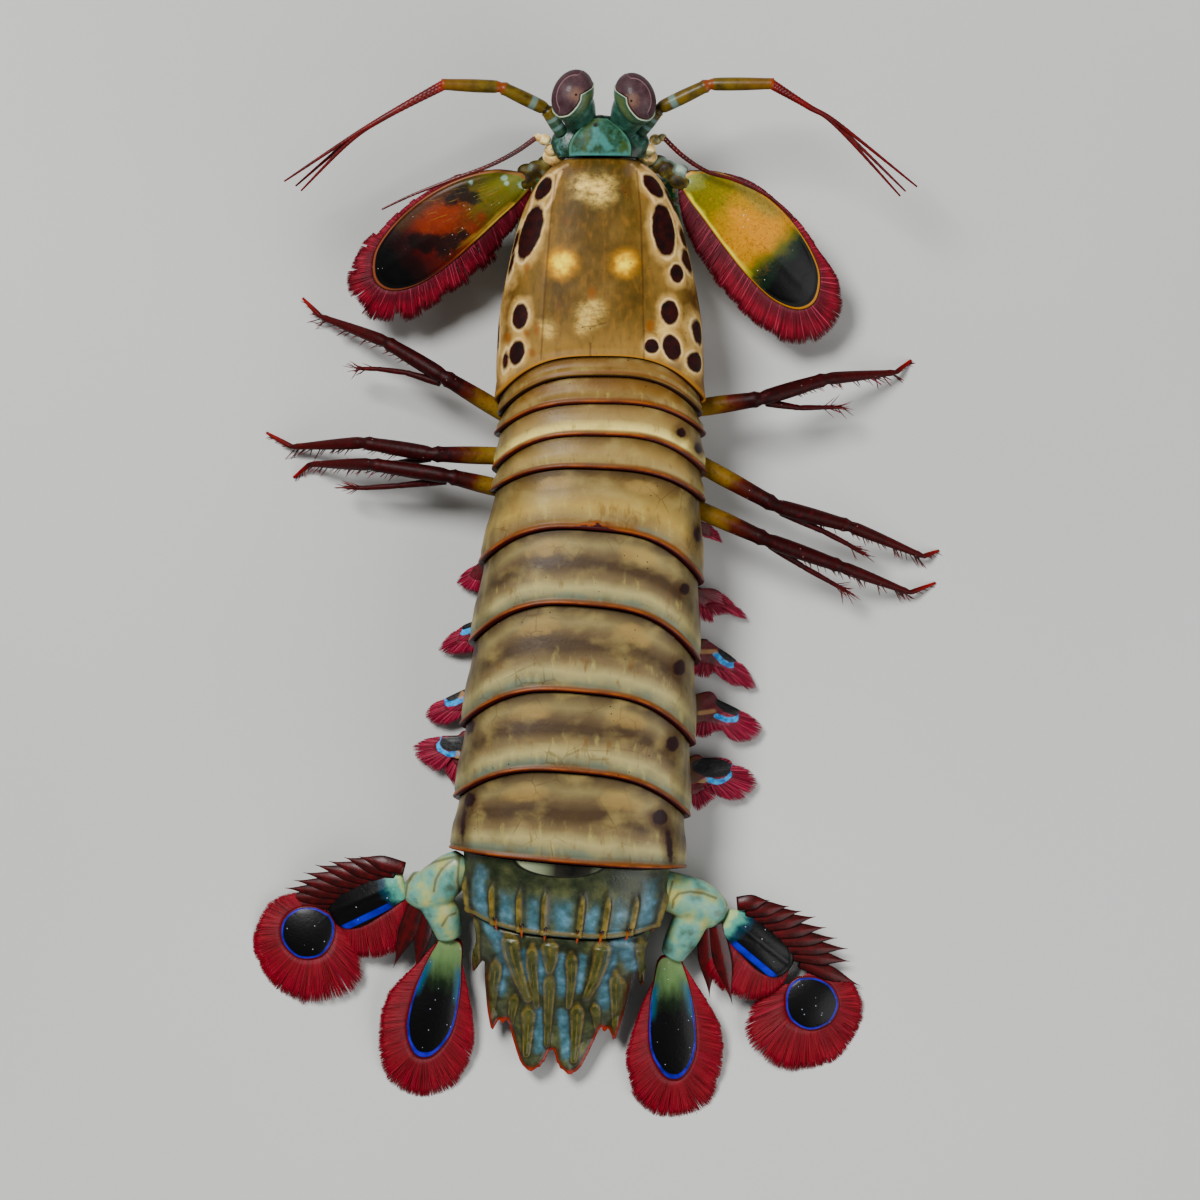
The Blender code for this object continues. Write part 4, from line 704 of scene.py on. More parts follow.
def abdomen_look(name, stops, rim_colour, ochre=0.0, flare=0.0):
    """Shell of a ring: colour along it, lateral fading, spots and the bright rear rim."""
    look = Look(name, coat=0.03, coat_roughness=0.3, specular=0.14)
    across, along, up = look.axes("seg")
    side = look.size(across)
    wobble = look.wave(6.0, 3.0, 0.16)
    look.colour = look.ramp(look.plus(along, wobble), stops)
    cloud = look.noise(3.4, 3.0, stretch=(0.7, 1.0, 1.0), rough=0.45)
    look.lay(look.step(cloud, 0.46, 0.84), (178, 168, 126), 0.50)
    look.lay(look.step(cloud, 0.52, 0.20), (104, 86, 60), 0.40)
    if ochre:
        patch = look.plus(look.math("POWER", look.times(look.math("SUBTRACT", side, 0.42), 4.6), 2.0),
                          look.math("POWER", look.times(look.math("SUBTRACT", along, 0.24), 8.0), 2.0))
        patch = look.plus(patch, look.wave(1.5, 3.0, 1.4))
        look.lay(look.step(patch, 1.2, 0.0), (168, 150, 104), ochre)
    streak = look.noise(1.7, 4.0, stretch=(1.3, 0.45, 1.0), rough=0.6)
    light = look.band(along, 0.72, 0.10, 0.20)
    look.lay(look.step(streak, 0.56, 0.70), (128, 92, 50), look.times(light, 0.5))
    look.lay(look.step(streak, 0.46, 0.24), (186, 182, 134), look.times(light, 0.4))
    shade = look.times(look.band(along, 0.90, 0.03, 0.07), look.step(look.noise(4.5, 3.0), 0.42, 0.62))
    look.lay(shade, (122, 134, 122), 0.55)
    veins = look.step(look.cells(3.0, "DISTANCE_TO_EDGE"), 0.05, 0.0)
    look.lay(veins, (94, 64, 34), look.times(look.step(look.noise(6.0, 2.0), 0.5, 0.7), 0.45))
    flank = look.times(look.step(side, 0.78, 0.93), look.step(side, 1.02, 0.96))
    look.lay(flank, look.ramp(look.noise(1.8, 4.0, stretch=(1.0, 0.4, 1.0)),
                              ((0.35, (86, 76, 46)), (0.62, (136, 128, 92)))), 0.55)
    belly = look.step(up, 0.14, 0.02)
    look.lay(belly, (190, 178, 136))
    edge = look.wave(0.8, 3.0, 0.5)
    spot = look.plus(look.value("spot"), edge)
    look.lay(look.step(spot, 1.3, 0.1), (84, 58, 36), 0.55)
    look.lay(look.step(spot, 0.25, -0.15), (58, 26, 16))
    rim = look.value("rim")
    if flare:
        reach = look.times(look.step(side, 0.22, 0.02),
                           look.math("MULTIPLY_ADD", look.noise(1.6, 3.0), 2.2 * flare, -0.5 * flare))
        rim = look.math("SUBTRACT", rim, look.math("MAXIMUM", reach, 0.0))
    look.lay(look.step(rim, 1.15, 0.6), (134, 84, 40), 0.75)
    look.lay(look.step(rim, 0.62, 0.34), look.mix(look.step(look.noise(3.5, 3.0), 0.4, 0.6), rim_colour[0],
                                                  rim_colour[1]))
    look.lay(look.step(rim, 0.34, 0.10), rim_colour[2])
    dots = look.step(look.cells(1.3), 0.10, 0.06)
    look.lay(dots, (66, 46, 30), look.step(look.noise(7.0, 1.0), 0.5, 0.6))
    return look.finish(shell_bump(look, 0.25), 0.05, satin(look))


# Colours along a ring, from its front to its rim
THORAX_STOPS = ((0.0, (96, 76, 42)), (0.15, (128, 108, 68)), (0.45, (158, 140, 96)),
                (0.75, (164, 150, 108)), (0.92, (136, 122, 84)))
FRONT_STOPS = ((0.0, (112, 82, 42)), (0.35, (138, 108, 62)), (0.7, (150, 130, 86)), (0.92, (132, 108, 68)))
PALE_STOPS = ((0.0, (110, 90, 54)), (0.2, (146, 124, 82)), (0.50, (164, 148, 104)),
              (0.78, (206, 200, 156)), (0.94, (176, 160, 112)))
FIRST_STOPS = ((0.0, (70, 54, 32)), (0.14, (116, 96, 60)), (0.35, (144, 126, 82)),
               (0.60, (174, 158, 106)), (0.80, (150, 134, 96)), (0.94, (140, 108, 66)))
ABDOMEN_STOPS = ((0.0, (60, 48, 34)), (0.08, (112, 98, 72)), (0.20, (146, 136, 102)),
                 (0.31, (120, 104, 78)), (0.42, (92, 76, 58)), (0.50, (94, 78, 60)), (0.64, (138, 124, 94)),
                 (0.76, (172, 166, 130)), (0.90, (130, 130, 108)), (0.97, (120, 98, 66)))
RIM_COLOURS = ((130, 76, 38), (164, 100, 50), (84, 28, 18))
PLAIN_RIM = ((120, 94, 50), (138, 112, 66), (60, 42, 24))


def carapace_look():
    look = Look("carapace", coat=0.02, coat_roughness=0.35, specular=0.09)
    across, along, up = look.axes("seg")
    side = look.size(across)
    glow, pale, groove = look.axes("glow")
    cloud = look.noise(7.0, 4.0, rough=0.6)
    look.colour = look.ramp(cloud, ((0.30, (94, 76, 38)), (0.50, (116, 94, 52)), (0.70, (138, 114, 68))))
    front = look.band(along, 0.28, 0.10, 0.16)
    look.lay(look.times(front, look.step(side, 0.65, 0.2)), (92, 80, 46), 0.75)
    rear = look.step(along, 0.78, 0.97)
    look.lay(rear, (166, 142, 92), 0.65)
    lateral = look.times(look.step(side, 0.42, 0.60), look.step(side, 0.95, 0.75))
    look.lay(lateral, (164, 140, 90), 0.28)
    look.lay(look.step(side, 0.80, 0.97), (108, 70, 34), 0.5)
    bloom = look.noise(1.5, 5.0, stretch=(0.8, 1.2, 1.0), rough=0.68)
    bloom = look.times(pale, look.math("MULTIPLY_ADD", bloom, 2.6, -0.45))
    look.lay(look.step(bloom, 0.10, 1.15), (208, 196, 150))
    streak = look.noise(0.8, 4.0, stretch=(1.0, 0.45, 1.0))
    look.lay(look.step(streak, 0.48, 0.75), (178, 140, 84), 0.22)
    look.lay(look.step(streak, 0.5, 0.25), (88, 62, 30), 0.30)
    rust = look.times(look.step(look.noise(3.0, 4.0), 0.56, 0.70), look.band(side, 0.42, 0.10, 0.14))
    look.lay(rust, (140, 88, 40), 0.25)
    warm = look.times(glow, look.math("MULTIPLY_ADD", look.noise(1.1, 4.0), 1.3, 0.35))
    look.lay(look.step(warm, 0.08, 0.70), (186, 152, 80))
    look.lay(look.step(warm, 0.40, 1.10), (234, 208, 128))
    wave = look.wave(1.0, 3.0, 0.34)
    spot = look.plus(look.value("spot"), wave)
    fleck = look.plus(look.value("fleck"), wave)
    flank = look.step(side, 0.30, 0.5)
    ragged = look.plus(spot, look.wave(2.2, 4.0, 1.5))
    web = look.times(look.step(ragged, 1.2, 0.1), flank)
    look.lay(web, (204, 188, 144), 0.45)
    halo = look.times(look.step(spot, 0.40, 0.10), flank)
    halo = look.times(halo, look.step(look.noise(2.6, 3.0), 0.30, 0.58))
    look.lay(halo, (220, 204, 176), 0.75)
    web = look.times(look.value("web"), look.math("MULTIPLY_ADD", look.noise(1.8, 3.0), 1.6, -0.1))
    look.lay(look.step(web, 0.15, 0.90), (210, 194, 166), 0.6)
    look.lay(look.step(fleck, 0.35, -0.30), (150, 98, 46), 0.75)
    look.lay(look.step(look.value("haze"), 0.6, -0.6), (116, 100, 82), 0.6)
    dark = look.ramp(look.noise(1.2, 3.0), ((0.35, (48, 26, 18)), (0.7, (76, 42, 28))))
    look.lay(look.step(spot, 0.30, 0.0), (104, 62, 36), 0.7)
    look.lay(look.step(spot, 0.10, -0.10), dark)
    belly = look.step(up, 0.14, 0.02)
    look.lay(belly, (196, 180, 138))
    edge = look.band(up, 0.20, 0.05, 0.05)
    look.lay(edge, (214, 176, 136))
    rim = look.step(along, 0.982, 0.990)
    look.lay(rim, (170, 134, 74), 0.8)
    look.lay(look.step(along, 1.004, 1.01), (92, 52, 24))
    look.lay(look.step(groove, 0.35, 0.9), (84, 56, 28), 0.5)
    dots = look.step(look.cells(1.1), 0.11, 0.07)
    look.lay(dots, (70, 42, 24), look.step(look.noise(6.0, 1.0), 0.46, 0.58))
    return look.finish(shell_bump(look, 0.2), 0.045, satin(look, 0.46))


# ---------------------------------------------------------------- sixth ring and telson
ABDOMEN_6_RIDGES = (0.17, 0.41, 0.68, 0.95)     # shares of the half width
LAST_PANEL_END = 1.2                            # outer border of the panel outside the last ridge
KEEL_WIDTH, KEEL_HEIGHT = 0.034, 0.62
SPINE_ENDS = ((0.88, 0.0), (1.07, 0.1))         # root and tip of a spine: share along the ring, lift
SPINE_RADIUS, SPINE_TIP, SPINE_BEND, SPINE_SIDES, SPINE_ROWS = 0.42, 0.04, 0.1, 14, 12
MEMBRANE = (560, 857, 47, 17, 3.0)              # pale skin before the sixth ring, an oval in pixels
TELSON_STATIONS = ((0.0, 14.6, 15.8, 3.9), (2.2, 13.3, 14.2, 3.9), (6.5, 12.0, 11.0, 3.4),
                   (11.0, 9.8, 7.6, 3.0), (15.0, 6.2, 4.7, 2.7), (17.0, 3.0, 3.9, 2.6))
TELSON_RIM = ((12.6, 1.6), (13.2, 4.0), (12.9, 7.2), (11.2, 4.3), (10.9, 8.0), (10.3, 12.0),
              (9.3, 15.8), (8.3, 13.6), (7.7, 14.4), (7.1, 13.4), (5.6, 17.6), (4.5, 20.2),
              (3.0, 21.4), (1.9, 20.5), (1.5, 20.4), (1.2, 19.7), (0.9, 19.5), (0.7, 18.7), (0.3, 17.7))
TELSON_FRONT_TOP, TELSON_TIP_TOP = 6.4, 3.3
TELSON_FRONT_UNDER, TELSON_TIP_UNDER = 3.5, 2.5
TELSON_LENGTH = 21.4
TELSON_ACROSS, TELSON_ALONG, TELSON_MESH = (-13.5, 13.6), (-2.4, 21.6), 0.27    # grid within its border
TELSON_FREE = 0.16      # width of the strip beside the border that has no grid points
TELSON_SOFT = 0.5       # width of the step from the plate to the raised middle
# Tips of the border's spines: across, back, how far the orange reaches
TELSON_TEETH = ((12.9, 7.2, 1.5), (9.3, 15.8, 1.6), (3.05, 21.4, 1.8), (7.4, 14.0, 1.6))
# Ridges of the telson: line, height, half width
TELSON_RIDGES = ((((549, 938), (550, 958), (549, 968)), 0.55, 0.62),
                 (((549, 972), (548, 1005), (546, 1046)), 0.6, 0.42),
                 (((508, 929), (512, 955), (519, 978), (527, 998)), 0.6, 0.62),
                 (((603, 937), (600, 960), (594, 980), (586, 996)), 0.6, 0.62),
                 (((532, 942), (531, 965), (534, 990), (536, 1006)), 0.45, 0.42),
                 (((571, 950), (571, 980), (568, 1006)), 0.45, 0.42),
                 (((528, 1006), (527, 1030), (525, 1056)), 0.5, 0.5),
                 (((577, 1004), (576, 1030), (573, 1062)), 0.5, 0.5),
                 (((471, 916), (473, 945), (476, 966)), 0.5, 0.5),
                 (((655, 932), (652, 960), (648, 986)), 0.5, 0.45),
                 (((640, 936), (642, 965), (644, 988)), 0.4, 0.4),
                 (((496, 958), (492, 990), (489, 1022)), 0.5, 0.45),
                 (((486, 975), (485, 1000), (487, 1018)), 0.35, 0.35),
                 (((615, 970), (616, 1005), (615, 1036)), 0.5, 0.45),
                 (((622, 978), (621, 1005), (618, 1028)), 0.35, 0.35),
                 (((514, 995), (511, 1012), (510, 1024)), 0.35, 0.35),
                 (((594, 1004), (596, 1018), (597, 1032)), 0.35, 0.35))
RIDGE_SPREAD, RIDGE_LIFT = 1.7, 1.4
# Light-blue panels of the telson: line, half width
TELSON_BLUE = ((((489, 920), (496, 934), (504, 950), (510, 968)), 8.0), (((501, 958), (500, 990)), 7.0),
               (((541, 952), (542, 988)), 6.5), (((560, 955), (561, 992)), 6.5),
               (((537, 1010), (538, 1050)), 6.0), (((562, 1014), (566, 1056)), 6.0),
               (((620, 938), (632, 962)), 10.0), (((614, 944), (606, 968), (604, 1004)), 8.0),
               (((582, 956), (578, 988)), 5.0), (((522, 950), (527, 978)), 4.5))


def spine_mesh(root, tip):
    """Spine with its middle bent up: points, quads, tris and the share along it."""
    t = np.linspace(0.0, 1.0, SPINE_ROWS)
    path = root + (tip - root) * t[:, None] + SPINE_BEND * UP * (4.0 * t * (1.0 - t))[:, None]
    radii = SPINE_RADIUS * (1.0 - t ** 1.3) * (1.0 - 0.12 * np.sin(np.pi * t)) + SPINE_TIP
    rings = tube_rings(path, radii, SPINE_SIDES)
    share = np.broadcast_to(t[:, None], rings.shape[:2])
    return loft(rings, (path[0], path[-1] + 0.05 * (path[-1] - path[-2])), {"share": share})


def abdomen_6_piece(look):
    rings, shares, before, own = ring_shape("abdomen_6")
    seg = ring_places(shares)
    across, level = seg[..., 0], seg[..., 1]
    ridge = np.zeros(rings.shape[:2])
    for share in ABDOMEN_6_RIDGES:
        ridge = np.maximum(ridge, bell(np.abs(across), share, KEEL_WIDTH)
                           * smooth(level, 0.25, 0.60) * (1.0 - 0.6 * smooth(level, 0.995, 1.03)))
    ridge *= PROFILE[:, 1] > 0.12
    borders = np.array((-ABDOMEN_6_RIDGES[0], *ABDOMEN_6_RIDGES, LAST_PANEL_END))
    cell = np.clip(np.searchsorted(borders, np.abs(across)) - 1, 0, len(borders) - 2)
    half_gap = 0.5 * (borders[cell + 1] - borders[cell])
    gap = 1.0 - np.abs(np.abs(across) - borders[cell] - half_gap) / half_gap
    middle = rings.mean(axis=1, keepdims=True)
    out = rings - middle
    out[..., 1] *= 0.1
    out /= np.linalg.norm(out, axis=2)[..., None]
    rings = rings + out * (KEEL_HEIGHT * ridge)[..., None]
    parts = Parts()
    fields = {"seg": seg, "ridge": ridge, "share": np.zeros(across.shape), "blue": gap,
              "front": oval(rings[..., 0], rings[..., 1], *MEMBRANE)}
    parts.add(*loft(rings, (ring_middle(before), ring_middle(own)), fields))
    for side in (-1.0, 1.0):
        for share in ABDOMEN_6_RIDGES:
            places = []
            for along, lift in SPINE_ENDS:
                y, half_width, top, belly, sweep = lerp(before, own, along)
                rise = belly + (top - belly) * ring_height(share) + lift
                local = np.array((side * share * half_width * 0.99, -sweep * share ** 3, rise))
                places.append(moved(axis_frame(y), local))
            points, quads, tris, fields = spine_mesh(*places)
            count = len(points)
            parts.add(points, quads, tris, {
                "seg": np.tile((side * share, 1.0, 0.6), (count, 1)), "ridge": np.ones(count),
                "share": fields["share"], "blue": np.zeros(count), "front": np.full(count, -1.0)})
    add_piece("abdomen_6_shell", look, parts.mesh(), "tail_shell", "abdomen_6")


def telson_top(across, back):
    """Height of the telson's back at places in its frame."""
    stations = np.array(TELSON_STATIONS)
    half, top, belly = (np.interp(back, stations[:, 0], stations[:, k]) for k in (1, 2, 3))
    share = np.clip(back / TELSON_LENGTH, 0.0, 1.0)
    plate = lerp(TELSON_FRONT_TOP, TELSON_TIP_TOP, share)
    core = belly + (top - belly) * ring_height(np.minimum(1.0, np.abs(across) / half))
    core = np.where(np.abs(across) < half, core, plate - 4.0)
    over = np.log1p(np.exp(np.clip((core - plate) / TELSON_SOFT, -30.0, 30.0)))
    return plate + TELSON_SOFT * over - TELSON_SOFT * 0.2


def cut_corners(line):
    """The line with each corner cut once."""
    out = [line[0]]
    for (ax, ay), (bx, by) in zip(line, line[1:]):
        for t in (0.18, 0.5, 0.82):
            out.append((lerp(ax, bx, t), lerp(ay, by, t)))
    return out + [line[-1]]


def telson_plan():
    """Border of the telson from above, closed, and points and triangles that fill it."""
    shares = np.linspace(0.0, 1.0, 40)
    _, half_width, _, _, sweep = MARGINS["abdomen_6"]
    front = [(TUCK["telson"] * half_width * a, GAP + TUCK["telson"] * sweep * a ** 3) for a in shares]
    half = front + cut_corners([front[-1]] + list(TELSON_RIM))[1:]
    outline = half + [(-a, b) for a, b in reversed(half[1:])]
    closed = outline + [outline[0]]
    xs, ys = np.meshgrid(np.arange(*TELSON_ACROSS, TELSON_MESH), np.arange(*TELSON_ALONG, TELSON_MESH))
    xs, ys = xs.ravel(), ys.ravel()
    keep = away_from([closed], xs, ys)[0] > TELSON_FREE
    inner = list(zip(xs[keep], ys[keep]))
    verts, _, faces, *_ = delaunay_2d_cdt([Vector(p) for p in outline + inner], [],
                                          [list(range(len(outline)))], 1, 1e-6)
    return closed, np.array([(v.x, v.y) for v in verts]), np.array([f for f in faces if len(f) == 3])


def telson_piece(look):
    closed, flat, tris = telson_plan()
    x, y = flat[:, 0], flat[:, 1]
    edge, _ = away_from([closed], x, y)
    top = telson_top(x, y)
    frame_y = axis_frame(MARGINS["abdomen_6"][0])
    sheet = moved(frame_y, np.stack([x, -y, 0.0 * x], -1))
    ridge, blue = np.zeros(len(x)), np.zeros(len(x))
    for line, height, width in TELSON_RIDGES:
        near, along = away_from(lines_at(line), sheet[:, 0], sheet[:, 1])
        shape = np.exp(-(near / (RIDGE_SPREAD * width * (1.25 - 0.75 * along))) ** 2)
        shape *= 0.3 + 0.7 * smooth(along, 0.0, 0.2)
        top += RIDGE_LIFT * height * shape
        ridge = np.maximum(ridge, shape)
    for line, width in TELSON_BLUE:
        blue = np.maximum(blue, line_mark(sheet[:, 0], sheet[:, 1], line, width))
    under = lerp(TELSON_FRONT_UNDER, TELSON_TIP_UNDER, np.clip(y / TELSON_LENGTH, 0.0, 1.0))
    round_off = np.sqrt(np.clip(1.0 - edge / 0.7, 0.0, 1.0))
    behind = y > 1.2
    top = np.where(behind, top - 0.35 * round_off, top * TUCK["telson"] + 1.0)
    front_top = telson_top(x / 0.95, y) * 0.93 + 0.4
    top = np.where(behind, top, front_top + smooth(y, -0.6, 1.2) * (telson_top(x, y) - front_top))
    under = under + 0.3 * round_off
    upper = moved(frame_y, np.stack([x, -y, top], -1))
    lower = moved(frame_y, np.stack([x, -y, np.minimum(under, top - 0.3)], -1))
    n = len(flat)
    edges = dict.fromkeys((int(face[k]), int(face[k - 2])) for face in tris for k in range(3))
    quads = np.array([(b, a, a + n, b + n) for a, b in edges if (b, a) not in edges])
    tip = smooth(np.abs(edge), 0.9, 0.0) * smooth(y, 3.0, 7.0)
    tooth = np.zeros(n)
    for across, back, reach in TELSON_TEETH:
        away_tip = np.hypot(np.abs(x) - across, y - back)
        tooth = np.maximum(tooth, 1.0 - np.clip(away_tip / reach, 0.0, 1.0))
    fields = {"place": np.stack([x, y, edge], -1), "ridge": ridge, "blue": blue,
              "share": np.maximum(tooth, 0.35 * tip)}
    fields = {key: np.concatenate([value, value]) for key, value in fields.items()}
    mesh = (np.concatenate([upper, lower]), quads, np.concatenate([tris, tris[:, ::-1] + n]), fields)
    add_piece("telson_shell", look, mesh, "tail_shell", "telson")


def tail_look(name, ring):
    """Olive and teal shell with light-blue panels, ochre ridges edged dark and orange-red spine tips."""
    look = Look(name, 0.40, coat=0.08, coat_roughness=0.2, specular=0.25)
    ridge, share, panel = look.value("ridge"), look.value("share"), look.value("blue")
    cloud = look.noise(2.4, 5.0, rough=0.55)
    look.colour = look.ramp(cloud, ((0.32, (60, 66, 52)), (0.48, (80, 86, 64)), (0.62, (104, 108, 76)),
                                    (0.74, (124, 124, 86))))
    water = look.ramp(look.noise(1.6, 3.0), ((0.34, (84, 112, 122)), (0.52, (106, 136, 150)),
                                             (0.70, (134, 160, 176))))
    wave = look.wave(2.2, 3.0, 0.7)
    if ring:
        across, along, up = look.axes("seg")
        level = look.plus(along, look.times(wave, 0.3))
        blue = look.times(look.step(look.plus(panel, wave), 0.15, 0.95), look.band(level, 0.76, 0.08, 0.28))
        look.lay(blue, water, 0.9)
        side = look.times(look.step(look.size(across), 0.60, 0.72), look.band(level, 0.50, 0.25, 0.15))
        look.lay(side, water, look.times(look.step(look.plus(panel, wave), 0.3, 0.9), 0.8))
        dark = look.band(level, 0.20, 0.10, 0.16)
        look.lay(dark, (44, 50, 40), 0.5)
    else:
        _, y, edge = look.axes("place")
        blue = look.plus(panel, wave)
        look.lay(look.step(blue, 0.10, 0.95), water, 0.95)
    rims = look.times(look.band(ridge, 0.26, 0.10, 0.16), 0.5)
    look.lay(rims, (48, 42, 26))
    ochre = look.ramp(look.noise(1.4, 3.0), ((0.36, (104, 94, 50)), (0.62, (152, 138, 84))))
    if ring:
        look.lay(look.step(ridge, 0.34, 0.86), ochre, 0.9)
    else:
        crest = look.ramp(look.noise(2.0, 3.0), ((0.36, (74, 80, 46)), (0.62, (112, 112, 68))))
        look.lay(look.step(ridge, 0.38, 0.66), crest, 0.85)
        look.lay(look.band(ridge, 0.42, 0.08, 0.14), ochre, 0.65)
        look.lay(look.step(ridge, 0.93, 0.99), ochre, 0.6)
    if ring:
        look.lay(look.step(up, 0.14, 0.02), (150, 150, 112))
        look.lay(look.band(along, 0.955, 0.020, 0.015), (126, 112, 66), 0.75)
        look.lay(look.step(along, 0.985, 0.998), (44, 34, 26))
        membrane = look.value("front")
        pale = look.ramp(look.size(look.plus(across, -0.06)),
                         ((0.0, (14, 12, 12)), (0.16, (60, 58, 50)), (0.30, (140, 146, 124)),
                          (0.48, (166, 170, 148))))
        look.lay(look.step(membrane, 0.02, 0.10), pale)
        look.lay(look.band(membrane, 0.02, 0.02, 0.05), (34, 34, 26), 0.8)
        look.lay(look.step(share, 0.05, 0.55), (164, 116, 58))
    else:
        margin = look.times(look.step(edge, 0.9, 0.25), look.step(y, 3.0, 8.0))
        look.lay(margin, (92, 52, 32), 0.85)
        look.lay(look.step(edge, 0.42, 0.22), (160, 66, 42), look.step(y, 10.0, 13.0))
    look.lay(look.step(share, 0.35, 0.85), (196, 84, 40), 0.85)
    return look.finish(shell_bump(look, 0.4), 0.07,
                       look.math("MULTIPLY_ADD", look.noise(1.2, 3.0), 0.22, 0.26))


# ---------------------------------------------------------------- leaves and their setae
def placed(root, yaw, pitch, roll, side):
    """Matrix of a leaf: yaw from straight out towards the tail, pitch tips it down."""
    turn = Matrix.Identity(4)
    for angle, axis in ((-yaw, "Z"), (pitch, "Y"), (roll, "X")):
        turn = turn @ Matrix.Rotation(math.radians(angle), 4, axis)
    return np.array(Matrix.Translation(root) @ Matrix.Diagonal((side, 1.0, 1.0, 1.0)) @ turn)


def even_outline(outline, count):
    """count rows at even distances round the smooth closed outline."""
    fine = resample(list(outline) + [outline[0]], 40 * len(outline) + 1)
    run = np.concatenate([[0.0], np.cumsum(np.hypot(*np.diff(fine[:, :2], axis=0).T))])
    even = run[-1] * np.arange(count) / count
    return np.stack([np.interp(even, run, fine[:, k]) for k in range(fine.shape[1])], -1)


EDGE_POINTS = 220       # round a leaf
SEEDS = 4096            # random numbers for the locks of strands
SETA_SAG = 0.04         # of a strand's length


